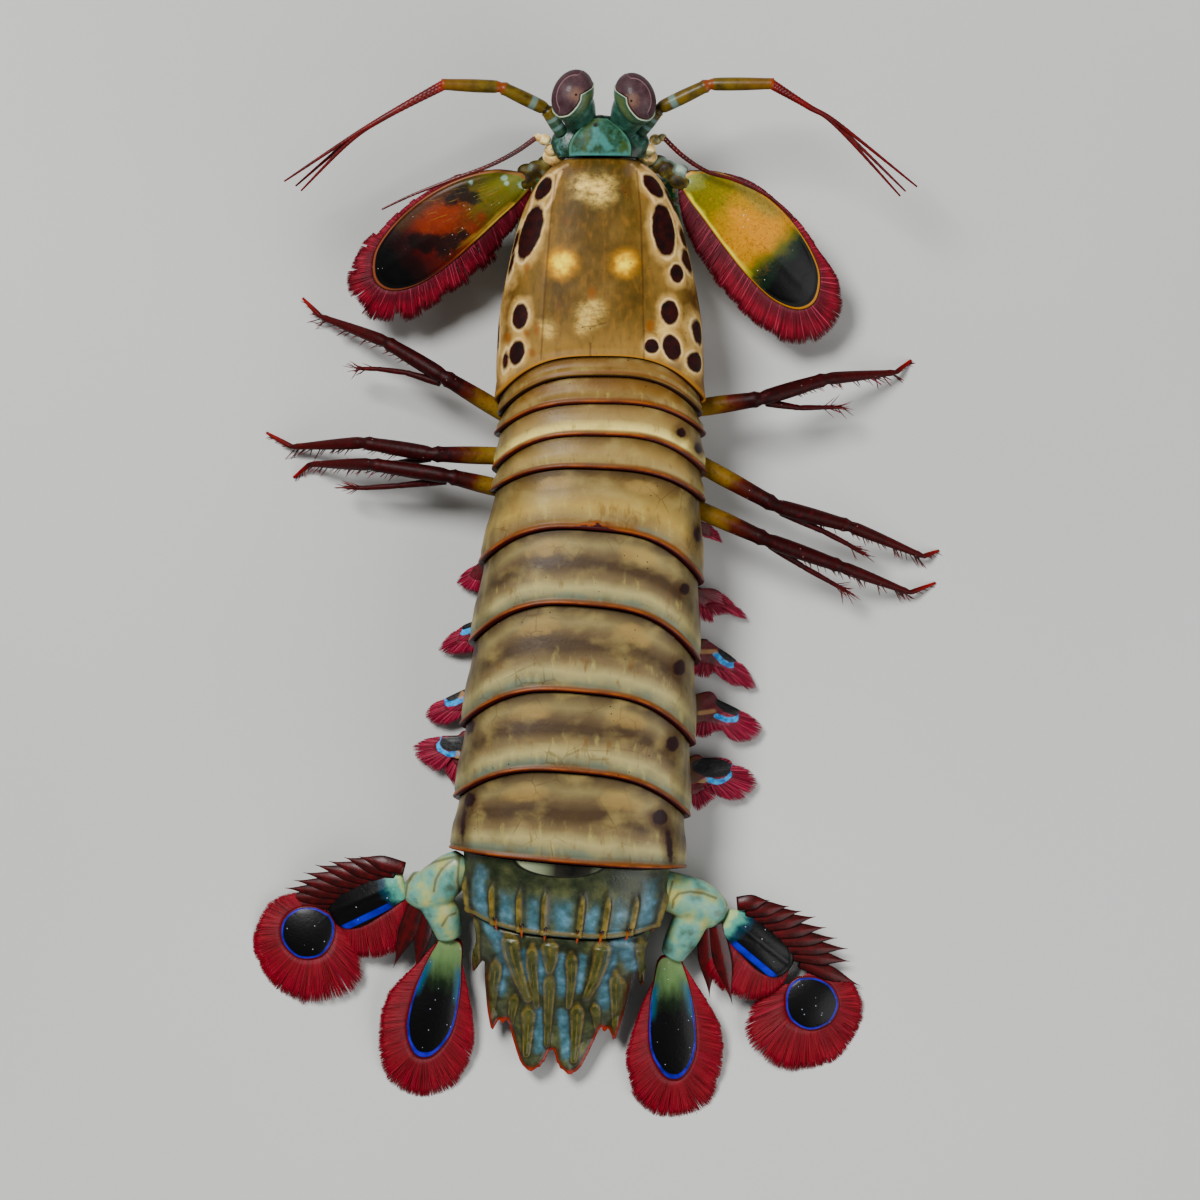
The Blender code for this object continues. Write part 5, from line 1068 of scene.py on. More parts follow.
class Leaf:
    """Thin leaf of a limb: (along, across, fringe length) round its outline, placed in the body."""

    def __init__(self, outline, place, thick, dome=0.5, droop=0.0, lean=0.35, rim=0.16, bead=0.10):
        self.edge = even_outline(outline, EDGE_POINTS)
        self.place, self.thick, self.dome, self.droop = place, thick, dome, droop
        self.lean, self.rim, self.bead = lean, rim, bead
        self.middle = self.edge[:, :2].mean(axis=0)
        self.reach = self.edge[:, 0].max()
        a, b = self.edge[:, 0], self.edge[:, 1]
        area = np.sum(a * np.roll(b, -1) - np.roll(a, -1) * b)
        step = np.roll(self.edge[:, :2], -1, axis=0) - np.roll(self.edge[:, :2], 1, axis=0)
        out = np.stack([step[:, 1], -step[:, 0]], -1) * (1.0 if area > 0 else -1.0)
        self.out = out / np.linalg.norm(out, axis=1)[:, None]
        low, high = self.edge[:, :2].min(axis=0), self.edge[:, :2].max(axis=0)
        self.low, self.span = low, (high - low).max()

    def lift(self, a, rise):
        return rise - self.droop * (np.maximum(a, 0.0) / self.reach) ** 2

    def level(self, a, share):
        """Height of the leaf's middle sheet where share runs from its centre to its edge."""
        return self.lift(a, self.dome * (1.0 - share ** 2))

    def unwrap(self, a, b):
        return 0.05 + 0.9 * (np.stack([a, b], -1) - self.low) / self.span

    def mesh(self, ridges=(), rows=22):
        """Points, quads, tris and fields; ridges are (line, height, width) on its upper face."""
        share = np.linspace(0.04, 1.0, rows) ** 0.8
        flat = self.middle + (self.edge[None, :, :2] - self.middle) * share[:, None, None]
        a, b = flat[..., 0], flat[..., 1]
        level = self.level(a, share[:, None])
        half = self.rim + (0.5 * self.thick - self.rim) * np.sqrt(np.maximum(0.0, 1.0 - share ** 2))
        half = half + self.bead * bell(share, 0.955, 0.03) - 0.05 * bell(share, 0.90, 0.03)
        half = half * np.where(share > 0.999, 0.45, 1.0)
        top = level + half[:, None]
        for line, height, width in ridges:
            top = top + height * near_lines([line], a, b, width)
        low = level - half[:, None]
        rise = self.level(self.middle[0], 0.0)
        rings = np.concatenate([np.stack([a, b, top], -1), np.stack([a, b, low], -1)[::-1]])
        ends = [(*self.middle, rise + 0.5 * self.thick), (*self.middle, rise - 0.5 * self.thick)]
        wide = np.broadcast_to(share[:, None], a.shape)
        leaf = np.stack([rings[..., 0], rings[..., 1], np.concatenate([wide, wide[::-1]])], -1)
        points, quads, tris, fields = loft(rings, ends, {"leaf": leaf})
        return moved(self.place, points), quads, tris, fields

    def roots(self, rng, spacing, layers, start):
        """Random places round the edge where the fringe is longer than start: rows of
        distance along it, layer, place along and across, fringe length and outward direction."""
        run = np.hypot(*(np.roll(self.edge[:, :2], -1, axis=0) - self.edge[:, :2]).T)
        total = run.sum()
        count = int(total / spacing)
        closed = np.concatenate([np.arange(len(self.edge)), [0]])
        lengths = np.concatenate([[0.0], np.cumsum(run)])
        at = np.concatenate([(np.arange(count) + rng.random(count)) * total / count for _ in range(layers)])
        a, b, fringe = [np.interp(at, lengths, self.edge[closed, k]) for k in range(3)]
        out = np.stack([np.interp(at, lengths, self.out[closed, k]) for k in range(2)], -1)
        keep = fringe > start
        return [v[keep] for v in (at, np.repeat(np.arange(layers), count), a, b, fringe, out)]

    def setae(self, rng, spacing, layers, width, length=1.0, clump=0.9, steps=6, ragged=0.08, start=0.5):
        """Mesh of tapered strands from the part of the edge whose fringe is longer than start."""
        at, layer, a, b, fringe, out = self.roots(rng, spacing, layers, start)
        number = len(at)
        group = at / clump
        lump = np.floor(group + 0.5 * np.sin(group * 2.3))
        seeds = rng.random(SEEDS)
        tag = seeds[(lump.astype(int) * 7 + 13) % SEEDS]
        tag_b = seeds[(lump.astype(int) * 11 + 5) % SEEDS]
        tangent = np.stack([-out[:, 1], out[:, 0]], -1)
        way = out + np.stack([np.full(number, self.lean), np.zeros(number)], -1)
        way += (ragged * (tag - 0.5))[:, None] * tangent + rng.normal(0.0, 0.018, (number, 2))
        way /= np.linalg.norm(way, axis=1)[:, None]
        long = fringe * length * (1.0 - ragged * tag_b) * rng.uniform(0.93, 1.0, number)
        middle = (lump + 0.5 - 0.5 * np.sin(group * 2.3)) * clump
        pull = ragged * np.clip(middle - at, -clump, clump)
        t = np.linspace(0.0, 1.0, steps)
        base = np.stack([a, b], -1) - 0.35 * out
        path = base[:, None] + way[:, None] * (long[:, None] * t)[..., None]
        path += tangent[:, None] * (2.0 * pull[:, None] * t ** 1.6)[..., None]
        stack = (layer / max(layers - 1, 1) - 0.5) * 1.2 * self.rim
        rise = self.lift(path[..., 0], 0.0) + stack[:, None] * (1.0 - 0.3 * t)
        rise += (rng.normal(0.0, 0.015, number) + 0.35 * ragged * (tag_b - 0.5))[:, None] \
            * long[:, None] * t ** 1.4
        rise -= SETA_SAG * long[:, None] * t ** 2
        points = np.concatenate([path, rise[..., None]], -1)
        world = moved(self.place, points)
        world[..., 2] = np.maximum(world[..., 2], 0.08 + 0.08 * rng.random(number)[:, None])
        return strands(world, width * rng.uniform(0.75, 1.2, number), t,
                       rng.random(number), self.unwrap(a, b), np.stack([a, b], -1), tag_b)


PATCH = 0.003        # size of one strand's place on the unwrap


def strands(paths, width, share, number, root_uv, root, tag):
    """Mesh of three-sided tapered strands along paths (N, T, 3)."""
    count, steps = paths.shape[:2]
    along = np.gradient(paths, axis=1)
    along /= np.maximum(np.linalg.norm(along, axis=2), 1e-9)[..., None]
    side = np.cross(along, UP)
    side /= np.maximum(np.linalg.norm(side, axis=2), 1e-6)[..., None]
    up = np.cross(side, along)
    radius = 0.5 * width[:, None] * (1.0 - 0.5 * share ** 2)
    radius[:, -1] *= 0.35
    corners = ((1.0, -0.35), (-1.0, -0.35), (0.0, 0.75))
    rings = np.stack([paths + side * (radius * p)[..., None] + up * (radius * q)[..., None]
                      for p, q in corners], 2)
    points = rings.reshape(-1, 3)
    base = (np.arange(count) * steps * 3)[:, None]
    strip = []
    for k in range(steps - 1):
        for c in range(3):
            d = (c + 1) % 3
            p, q, r, s = 3 * k + c, 3 * k + d, 3 * k + 3 + d, 3 * k + 3 + c
            strip += [(p, q, r), (p, r, s)]
    strip += [(0, 2, 1), (3 * steps - 3, 3 * steps - 2, 3 * steps - 1)]
    tris = (base[:, :, None] + np.array(strip)[None]).reshape(-1, 3)
    tall = np.broadcast_to(share[None, :, None], (count, steps, 3))
    field = np.stack([tall, np.broadcast_to(number[:, None, None], tall.shape),
                      np.broadcast_to(tag[:, None, None], tall.shape)], -1).reshape(-1, 3)
    place = np.broadcast_to(root[:, None, None, :], (count, steps, 3, 2)).reshape(-1, 2)
    leaf = np.concatenate([place, np.ones((len(place), 1))], -1)
    local = np.stack([tall, np.broadcast_to(np.array((0.0, 0.5, 1.0))[None, None], tall.shape)], -1)
    uv = root_uv[:, None, None, :] + PATCH * (local - 0.5)
    return points, None, tris, {"seta": field, "leaf": leaf}, uv.reshape(-1, 2)


def seta_look(name, stops, near=None, pale=(206, 112, 124), line=0.93):
    """Strands coloured by stops from root to tip; near is a dull dark tint laid on those close to the limb's
    root, painted shade where they lie in shadow beside the body.
    """
    look = Look(name, 0.5, specular=0.2)
    share, number, tag = look.axes("seta")
    wobble = look.wave(2.4, 2.0, 0.20)
    look.colour = look.ramp(look.plus(share, wobble), stops)
    if near:
        # Painted shade: strands close to the root are dulled to the tint near[2], as if shaded by the body.
        a, _, _ = look.axes("leaf")
        inner = look.plus(a, look.wave(3.0, 2.0, 5.0))
        look.lay(look.step(inner, near[1], near[0]), near[2], 0.9)
    look.lay(look.step(number, 0.45, 0.0), (84, 10, 26), 0.55)
    look.lay(look.step(tag, 0.6, 1.0), stops[-1][1], 0.25)
    look.lay(look.step(number, line, line + 0.02), pale, 0.6)
    return look.finish(look.noise(0.12, 2.0), 0.02)


# ---------------------------------------------------------------- antennal scales
SCALE_OUTLINE = ((-0.6, 1.4, 0.0), (2.6, 4.2, 0.4), (7.0, 6.0, 1.0), (12.0, 6.8, 1.0),
                 (17.0, 6.6, 1.3), (21.5, 5.6, 1.6), (25.2, 3.8, 3.2), (27.4, 0.6, 5.0),
                 (26.4, -2.2, 6.0), (22.5, -3.8, 5.4), (17.0, -3.9, 5.0), (11.0, -3.2, 5.0),
                 (6.0, -2.4, 4.4), (2.0, -1.8, 2.6), (-0.8, -0.8, 0.0))
SCALE_VEIN = [(x, 1.3 - 0.02 * (x - 13.0) ** 2 / 13.0) for x in np.linspace(1.0, 24.0, 12)]
# Root, yaw, pitch, roll
SCALE_POSES = {
    "l": ((-11.2, 62.6, 13.4), 34.0, 7.0, 14.0),
    "r": ((12.9, 63.0, 13.4), 44.0, 11.0, 4.0),
}
# Colours of each scale from its root outwards
SCALE_COLOURS = {
    "l": ((0.0, (132, 140, 84)), (0.10, (122, 124, 48)), (0.24, (112, 108, 42)), (0.36, (128, 74, 32)),
          (0.50, (146, 66, 26)), (0.64, (112, 46, 24)), (0.74, (58, 30, 22)), (0.84, (18, 18, 24)),
          (1.0, (16, 14, 20))),
    "r": ((0.0, (150, 158, 104)), (0.10, (128, 128, 46)), (0.20, (140, 136, 54)), (0.32, (176, 152, 50)),
          (0.46, (190, 158, 38)), (0.57, (180, 152, 46)), (0.64, (112, 116, 54)), (0.70, (46, 62, 50)),
          (0.76, (16, 18, 24)), (1.0, (12, 12, 18))),
}
SCALE_MARGIN_WIDTH = 0.55
# Patches of each scale: light blue, black and bright ones as places and radii, and the pale inner margin
SCALE_MARKS = {
    "l": (((504, 177, 4), (506, 182, 3), (521, 184, 4), (471, 181, 3)),
          ((462, 194, 10), (473, 197, 9), (452, 198, 8), (452, 241, 11), (441, 246, 12), (428, 242, 12),
           (416, 238, 10), (462, 233, 8)),
          ((438, 214, 17), (424, 226, 13), (450, 208, 11), (471, 228, 9), (481, 216, 6)),
          ((456, 246), (478, 233), (496, 217), (512, 203))),
    "r": (((684, 172, 4), (698, 166, 4), (698, 170, 3), (688, 180, 3)),
          ((722, 178, 7), (732, 186, 7), (742, 190, 6)),
          ((745, 222, 14), (760, 236, 16), (772, 226, 12), (735, 212, 8)),
          ((687, 194), (700, 213), (716, 234), (734, 256), (750, 272))),
}


def patches(rows, x, y):
    """1 at each place of rows (x, y, radius), falling off past its radius."""
    found = np.zeros(np.shape(x))
    for px, py, radius in rows:
        cx, cy = photo_xy(px, py)
        found = np.maximum(found, np.exp(-((x - cx) ** 2 + (y - cy) ** 2) / (PIXEL * radius) ** 2))
    return found


def scale_look(side_name):
    left = side_name == "l"
    look = Look("scale_" + side_name, coat=0.05, coat_roughness=0.25, specular=0.14)
    a, b, r = look.axes("leaf")
    blue, black, bright = look.axes("mark")
    pale = look.value("pale")
    along = look.plus(look.times(a, 1.0 / 27.0), look.wave(3.0, 4.0, 0.14))
    look.colour = look.ramp(along, SCALE_COLOURS[side_name])
    worm = look.math("MULTIPLY_ADD", look.math("SUBTRACT", look.noise(0.55, 3.0, rough=0.6), 0.46),
                     look.step(along, 0.70, 0.58), 0.46)
    curl = look.band(look.noise(0.75, 1.0), 0.5, 0.012, 0.02)
    middle = look.band(a, 11.0, 6.0, 3.0)
    if left:
        front = look.times(look.step(b, 3.6, 5.4), look.band(a, 12.0, 7.0, 2.0))
        look.lay(front, (76, 62, 38), 0.75)
        look.lay(look.step(bright, 0.1, 0.9), (152, 72, 30), 0.7)
        look.lay(look.step(worm, 0.52, 0.76), (176, 96, 42), 0.35)
    else:
        front = look.times(look.step(b, 3.4, 5.2), look.band(a, 9.5, 3.5, 2.5))
        look.lay(front, (150, 146, 94), 0.7)
        look.lay(look.step(bright, 0.1, 0.9), (194, 160, 40), 0.8)
        look.lay(curl, (150, 98, 34), look.times(middle, 0.45))
        look.lay(look.step(worm, 0.54, 0.76), (206, 180, 80), 0.25)
    look.lay(look.step(worm, 0.46, 0.26), (66, 48, 22), 0.45)
    shade = look.plus(black, look.wave(1.9, 5.0, 1.5, rough=0.65))
    if left:
        look.lay(look.step(shade, 0.20, 0.75), (24, 18, 16), 0.9)
    angle = look.plus(look.math("DIVIDE", b, look.plus(a, 4.0)), look.wave(3.0, 2.0, 0.06))
    rays = look.band(look.math("FRACT", look.times(angle, 19.0)), 0.5, 0.03, 0.10)
    rays = look.times(rays, look.step(look.noise(2.0, 2.0), 0.50, 0.62))
    look.lay(rays, (176, 158, 92), look.times(look.band(a, 8.0, 5.0, 3.0), 0.25))
    soft = look.plus(pale, look.wave(1.9, 4.0, 1.0))
    soft = look.times(look.step(soft, 0.15, 1.05), look.step(a, *((14.5, 8.0) if left else (19.5, 12.0))))
    look.lay(soft, (190, 176, 112) if left else (204, 206, 134), 0.75)
    chalk = look.plus(blue, look.wave(0.8, 3.0, 0.9))
    look.lay(look.step(chalk, 0.30, 0.80), (164, 182, 172), 0.75)
    border = look.band(r, 0.966, 0.008, 0.012)
    look.lay(border, (166, 108, 76) if left else (196, 160, 88), 0.75)
    look.lay(look.step(r, 0.978, 0.995), (116, 44, 44))
    glints = look.times(look.step(look.cells(0.9), 0.10, 0.06), look.step(look.noise(4.0, 1.0), 0.52, 0.6))
    look.lay(glints, (190, 190, 184))
    return look.finish(shell_bump(look, 0.3), 0.04, satin(look, 0.34, 0.2))


def joint_look():
    """Shell pieces at a scale's root: olive with a few chalky light-blue marks and dark edges."""
    look = Look("scale_joint", 0.5, coat=0.03, coat_roughness=0.3, specular=0.12)
    look.colour = look.ramp(look.noise(1.8, 3.0), ((0.34, (58, 48, 26)), (0.52, (92, 80, 42)),
                                                   (0.68, (122, 114, 66))))
    chalk = look.noise(3.6, 2.0)
    look.lay(look.step(chalk, 0.53, 0.61), (118, 132, 126), 0.8)
    look.lay(look.step(chalk, 0.62, 0.76), (180, 188, 180), 0.7)
    look.lay(look.band(chalk, 0.44, 0.012, 0.02), (44, 42, 28), 0.5)
    return look.finish(look.noise(1.3, 4.0), 0.16, satin(look, 0.44, 0.2))


SCALE_ROOT = 12.0       # from the middle; the joint pieces follow a scale's stray from it by half
# Shell pieces between the carapace and a scale's leaf: place, radii; mirrored
SCALE_JOINTS = (((8.3, 65.6, 13.0), (1.6, 1.4, 0.8)), ((9.8, 64.8, 13.3), (1.7, 1.4, 0.65)),
                ((11.3, 64.6, 13.3), (1.5, 1.1, 0.55)), ((11.7, 63.2, 13.5), (1.8, 1.4, 0.5)))


def antennal_scale_pieces(side_name, side, fringe, joint):
    root, yaw, pitch, roll = SCALE_POSES[side_name]
    place = placed(root, yaw, pitch, roll, side)
    leaf = Leaf(SCALE_OUTLINE, place, 1.3, dome=0.9, droop=1.2)
    mesh = leaf.mesh(((SCALE_VEIN, 0.12, 0.9),), rows=38)
    x, y = mesh[0][:, 0], mesh[0][:, 1]
    *marks, margin = SCALE_MARKS[side_name]
    mesh[3]["mark"] = np.stack([patches(rows, x, y) for rows in marks], -1)
    mesh[3]["pale"] = near_lines(lines_at(margin), x, y, SCALE_MARGIN_WIDTH)
    node = "antennal_scale_" + side_name
    add_piece(node + "_leaf", scale_look(side_name), mesh, "scale", node)
    parts = Parts()
    shift = root[0] - side * SCALE_ROOT
    for (x, y, z), radii in SCALE_JOINTS:
        parts.add(*ball((side * x + 0.5 * shift, y - 0.3, z), radii))
    add_piece(node + "_joint", joint, parts.mesh(), "scale")
    rng = np.random.default_rng(11 if side < 0 else 12)
    hair = leaf.setae(rng, 0.053, 3, 0.17, ragged=0.30 if side < 0 else 0.10)
    add_piece(node + "_setae", fringe, hair, "fringe")


# ---------------------------------------------------------------- head and eyes
ROSTRAL_PLATE = ((66.1, 4.7), (67.4, 4.75), (68.7, 4.3), (70.0, 3.2), (71.0, 1.9), (71.7, 1.0), (72.1, 0.4))
ROSTRAL_TOP, ROSTRAL_THICK, ROSTRAL_CROWN = 20.0, 1.1, 0.9
ROSTRAL_HALF_WIDTH, ROSTRAL_COLUMNS, ROSTRAL_BEAD, ROSTRAL_BEVEL = 4.6, 45, 0.14, 0.3
HEAD_STATIONS = ((66.1, 6.4, 17.8, 11.4), (67.6, 7.4, 17.8, 11.2), (69.6, 7.0, 17.6, 11.6),
                 (71.2, 5.2, 17.0, 12.6), (72.2, 3.0, 16.4, 13.6))
HEAD_ENDS = ((0.0, 66.1, 14.6), (0.0, 72.6, 15.0))
HEAD_SIDES, HEAD_POWER = 96, 0.7        # power of the cosine and sine round the head
POLES = np.array(((0.0, 1.0, 0.0), (0.0, -1.0, 0.0)))
# Middle, radii and turn
EYES = {
    "l": ((-4.1, 75.0, 21.6), (3.08, 4.05, 2.9), -22.0),
    "r": ((5.25, 74.5, 21.6), (3.08, 4.05, 2.9), 20.0),
}
STALK_ROOTS = {"l": (-2.6, 70.8, 16.9), "r": (3.4, 70.5, 16.9)}
STALK_STATIONS = ((0.0, 2.0), (0.3, 2.5), (0.6, 2.8), (0.85, 2.75))      # share of the way, radius
EYE_SPOTS = {"l": (575.8, 99.0), "r": (630.4, 105.0)}
# Border of cornea and stalk on the unit ball, for the right eye: plane, and how far it strays from it
CORNEA_NORMAL = (-0.62, -0.56, -0.55)
CORNEA_STRAY = ((-1.0, 0.20), (-0.77, 0.20), (-0.456, 0.05), (-0.13, -0.12), (0.09, -0.31),
                (0.30, -0.20), (0.53, -0.02), (1.0, 0.02))
CORNEA_EDGE = 0.06


def teal_look(name):
    look = Look(name, 0.36, coat=0.1, coat_roughness=0.2, specular=0.25)
    cloud = look.noise(1.5, 5.0, rough=0.62)
    look.colour = look.ramp(cloud, ((0.28, (40, 50, 36)), (0.42, (52, 72, 58)), (0.54, (66, 94, 84)),
                                    (0.63, (104, 132, 128)), (0.74, (140, 164, 164))))
    dots = look.step(look.cells(1.1), 0.16, 0.10)
    look.lay(dots, (30, 48, 38), 0.5)
    return look


# Light-blue marks of the rostral plate
ROSTRAL_MARKS = lines_at(
    ((596, 132), (595, 142), (590, 149)), ((598, 135), (603, 142)), ((604, 144), (607, 149)),
    ((574, 158), (600, 159), (624, 157)))
ROSTRAL_SPOT = (595, 127)


def rostral_look():
    look = Look("rostral_plate", 0.5, coat=0.02, coat_roughness=0.3, specular=0.10)
    spot, share, mark = look.axes("spot")
    cloud = look.noise(1.3, 4.0, rough=0.58)
    look.colour = look.ramp(cloud, ((0.34, (58, 76, 50)), (0.48, (72, 102, 86)), (0.62, (92, 126, 118))))
    olive = look.step(look.noise(2.2, 3.0), 0.50, 0.62)
    look.lay(olive, (84, 102, 54), look.times(look.step(share, 0.15, 0.45), 0.7))
    blue = look.plus(mark, look.wave(1.2, 3.0, 1.4))
    look.lay(look.step(blue, 0.25, 0.95), (108, 148, 148), 0.7)
    look.lay(look.step(share, 0.86, 0.93), (120, 156, 140), 0.4)
    look.lay(look.step(share, 0.965, 0.985), (26, 50, 44))
    grain = look.step(look.cells(0.45), 0.16, 0.08)
    look.lay(grain, (42, 66, 44), 0.45)
    look.lay(look.step(spot, 0.40, 0.24), (10, 12, 12))
    return look.finish(shell_bump(look, 0.3), 0.05)


def rostral_piece(look):
    share = np.linspace(-1.0, 1.0, ROSTRAL_COLUMNS)
    edge = np.sqrt(np.maximum(0.0, 1.0 - np.abs(share) ** 6))
    bead = ROSTRAL_BEAD * bell(np.abs(share), 0.95, 0.035)
    rings = []
    for y, half_width in resample(ROSTRAL_PLATE, 56):
        crown = ROSTRAL_CROWN * (1.0 - share ** 2) * half_width / ROSTRAL_HALF_WIDTH
        top = ROSTRAL_TOP + crown - ROSTRAL_BEVEL * (1.0 - edge) + bead
        low = ROSTRAL_TOP + crown - ROSTRAL_THICK + ROSTRAL_BEVEL * (1.0 - edge)
        x, ys = share * max(half_width, 0.3), np.full(ROSTRAL_COLUMNS, y)
        rings.append(np.concatenate([np.stack([x, ys, top], -1),
                                     np.stack([x, ys, np.minimum(low, top - 0.4)], -1)[::-1]]))
    rings = np.array(rings)
    middle = ROSTRAL_TOP - 0.3 * ROSTRAL_THICK
    x, y = rings[..., 0], rings[..., 1]
    cx, cy = photo_xy(*ROSTRAL_SPOT)
    across = np.abs(np.concatenate([share, share[::-1]]))
    apex = smooth(y, 70.9, 71.7)
    fields = {"spot": np.stack([np.hypot(x - cx, y - cy), np.maximum(across, apex) + 0.0 * x,
                                near_lines(ROSTRAL_MARKS, x, y, 0.75)], -1)}
    ends = ((0.0, ROSTRAL_PLATE[0][0], middle), (0.0, ROSTRAL_PLATE[-1][0], middle))
    add_piece("rostral_plate_shell", look, loft(rings, ends, fields), "head_shell", "rostral_plate")


def head_piece(look):
    angle = 2.0 * np.pi * (np.arange(HEAD_SIDES) + 0.5) / HEAD_SIDES
    across, up = [np.sign(v) * np.abs(v) ** HEAD_POWER for v in (np.cos(angle), np.sin(angle))]
    rings = []
    for y, half_width, top, under in resample(HEAD_STATIONS, 44):
        rings.append(np.stack([half_width * across, np.full(HEAD_SIDES, y),
                               0.5 * (top + under) + 0.5 * (top - under) * up], -1))
    add_piece("head_shell", look, loft(np.array(rings), HEAD_ENDS), "head_shell", "head")


def unit_ball(rows, columns):
    """Directions of a unit ball in rows from its pole at +Y."""
    v = np.pi * (np.arange(rows) + 0.5) / rows
    u = 2.0 * np.pi * np.arange(columns) / columns
    return np.stack([np.sin(v)[:, None] * np.cos(u), np.broadcast_to(np.cos(v)[:, None], (rows, columns)),
                     np.sin(v)[:, None] * np.sin(u)], -1)


def past_border(unit, side):
    """How far places on the unit ball lie past the cornea's border, on the stalk's side."""
    stray = np.interp(unit[..., 1], *np.array(CORNEA_STRAY).T)
    stray = lerp(CORNEA_EDGE, stray, smooth(unit[..., 2], -0.1, 0.35))
    return unit @ np.array((side * CORNEA_NORMAL[0], *CORNEA_NORMAL[1:])) - stray


def eye_look(name):
    """Cornea: mauve-brown with fine lines, its midband near the outer edge, tan about the spot."""
    look = Look(name, 0.46, coat=0.04, coat_roughness=0.12, specular=0.12)
    over, ring, spot = look.axes("eye")
    look.colour = look.ramp(look.noise(1.4, 4.0), ((0.32, (78, 60, 62)), (0.52, (96, 77, 79)),
                                                   (0.70, (112, 91, 91))))
    lines = look.math("SINE", look.times(ring, 110.0))
    look.lay(look.step(lines, 0.2, 1.0), (140, 118, 118), 0.20)
    look.lay(look.step(look.cells(0.17), 0.3, 0.6), (78, 54, 60), 0.3)
    fan = look.plus(spot, look.wave(0.5, 3.0, 0.9))
    look.lay(look.step(fan, 1.7, 0.3), (146, 120, 102), 0.7)
    look.lay(look.step(ring, 0.74, 0.78), (84, 50, 56), 0.55)
    look.lay(look.step(ring, 0.90, 0.98), (66, 26, 34), 0.7)
    look.lay(look.band(ring, 0.735, 0.010, 0.016), (160, 136, 136), 0.75)
    look.lay(look.step(over, -0.10, -0.03), (62, 32, 36), 0.8)
    look.lay(look.step(spot, 0.24, 0.14), (14, 8, 8))
    return look.finish(look.cells(0.17), 0.012)


def stalk_look(name):
    """Teal cup with an olive glow and a white lip along the cornea."""
    look = Look(name, 0.38, coat=0.1, coat_roughness=0.2, specular=0.25)
    over, _, spot = look.axes("eye")
    look.colour = look.ramp(look.noise(1.2, 5.0, rough=0.6),
                            ((0.3, (52, 78, 70)), (0.5, (72, 102, 92)), (0.7, (94, 128, 114))))
    glow = look.times(look.band(over, 0.34, 0.06, 0.24), look.step(spot, 4.2, 1.0))
    look.lay(glow, (112, 120, 66), 0.75)
    look.lay(look.step(over, 1.6, 2.0), (34, 66, 66), 0.6)
    grain = look.step(look.cells(0.3), 0.18, 0.08)
    look.lay(grain, (22, 46, 36), 0.5)
    look.lay(look.step(over, 0.058, 0.034), (172, 178, 162))
    look.lay(look.step(over, 0.0, -0.02), (44, 26, 28))
    return look.finish(look.noise(0.5, 4.0), 0.03)


def eye_piece(side_name, side):
    centre, radii, tilt = EYES[side_name]
    turn = np.array(Matrix.Rotation(math.radians(tilt), 3, "Z"))
    unit = unit_ball(88, 120)
    over, out = past_border(unit, side), side * unit[..., 0]
    ring = np.hypot(unit[..., 0], unit[..., 1]) * smooth(out + 0.15 * unit[..., 1], -0.15, 0.25)
    spot_x, spot_y = photo_xy(*EYE_SPOTS[side_name])

    def skin(rise):
        """Ball of the eye with its radius times rise."""
        points = (unit * rise[..., None] * radii) @ turn.T + centre
        spot = np.hypot(points[..., 0] - spot_x, points[..., 1] - spot_y) + 9.0 * (points[..., 2] < centre[2])
        ends = (POLES * np.array((rise[0].mean(), rise[-1].mean()))[:, None] * radii) @ turn.T + centre
        return loft(points, ends, {"eye": np.stack([over, ring, spot], -1)})

    cornea = 0.985 - 0.10 * smooth(over, -0.01, 0.10) + 0.012 * bell(ring, 0.735, 0.02)
    cornea -= 0.012 * smooth(ring, 0.74, 0.78)
    node = "eye_" + side_name
    add_piece(node + "_cornea", eye_look(node), skin(cornea), "eye", node)
    cup = 1.0 - 0.12 * smooth(over, 0.025, -0.02) + 0.028 * bell(over, 0.045, 0.022)
    parts = Parts()
    parts.add(*skin(cup))
    root, middle = np.array(STALK_ROOTS[side_name]), np.array(centre)
    shares = np.linspace(0.0, STALK_STATIONS[-1][0], 28)
    path = root + (middle - root) * shares[:, None]
    radius = catmull(STALK_STATIONS, np.interp(shares, [s[0] for s in STALK_STATIONS], range(4)))[:, 1]
    rings = tube_rings(path, radius, 48)
    far = np.stack([np.broadcast_to(2.0 - 1.4 * shares[:, None], rings.shape[:2]),
                    *np.zeros((2, *rings.shape[:2])) + 5.0], -1)
    parts.add(*loft(rings, (path[0], path[-1]), {"eye": far}))
    node = "eyestalk_" + side_name
    add_piece(node + "_skin", stalk_look(node), parts.mesh(), "head_shell", node)


# ---------------------------------------------------------------- shapes of flesh and limbs
def ball(centre, radii):
    return loft(unit_ball(20, 28) * radii + centre, POLES * radii + centre)[:3]


ROD_CAP = 0.45      # of a rod's radius


def rod(stations, count, sides, flat=1.0):
    """Smooth tube through (x, y, z, radius) stations with rounded ends."""
    rows = resample(stations, count)
    path, radii = rows[:, :3], rows[:, 3]
    ends = []
    for end, inner in ((0, 1), (-1, -2)):
        out = path[end] - path[inner]
        ends.append(path[end] + ROD_CAP * radii[end] * out / np.linalg.norm(out))
    return loft(tube_rings(path, radii, sides, flat), ends)[:3]


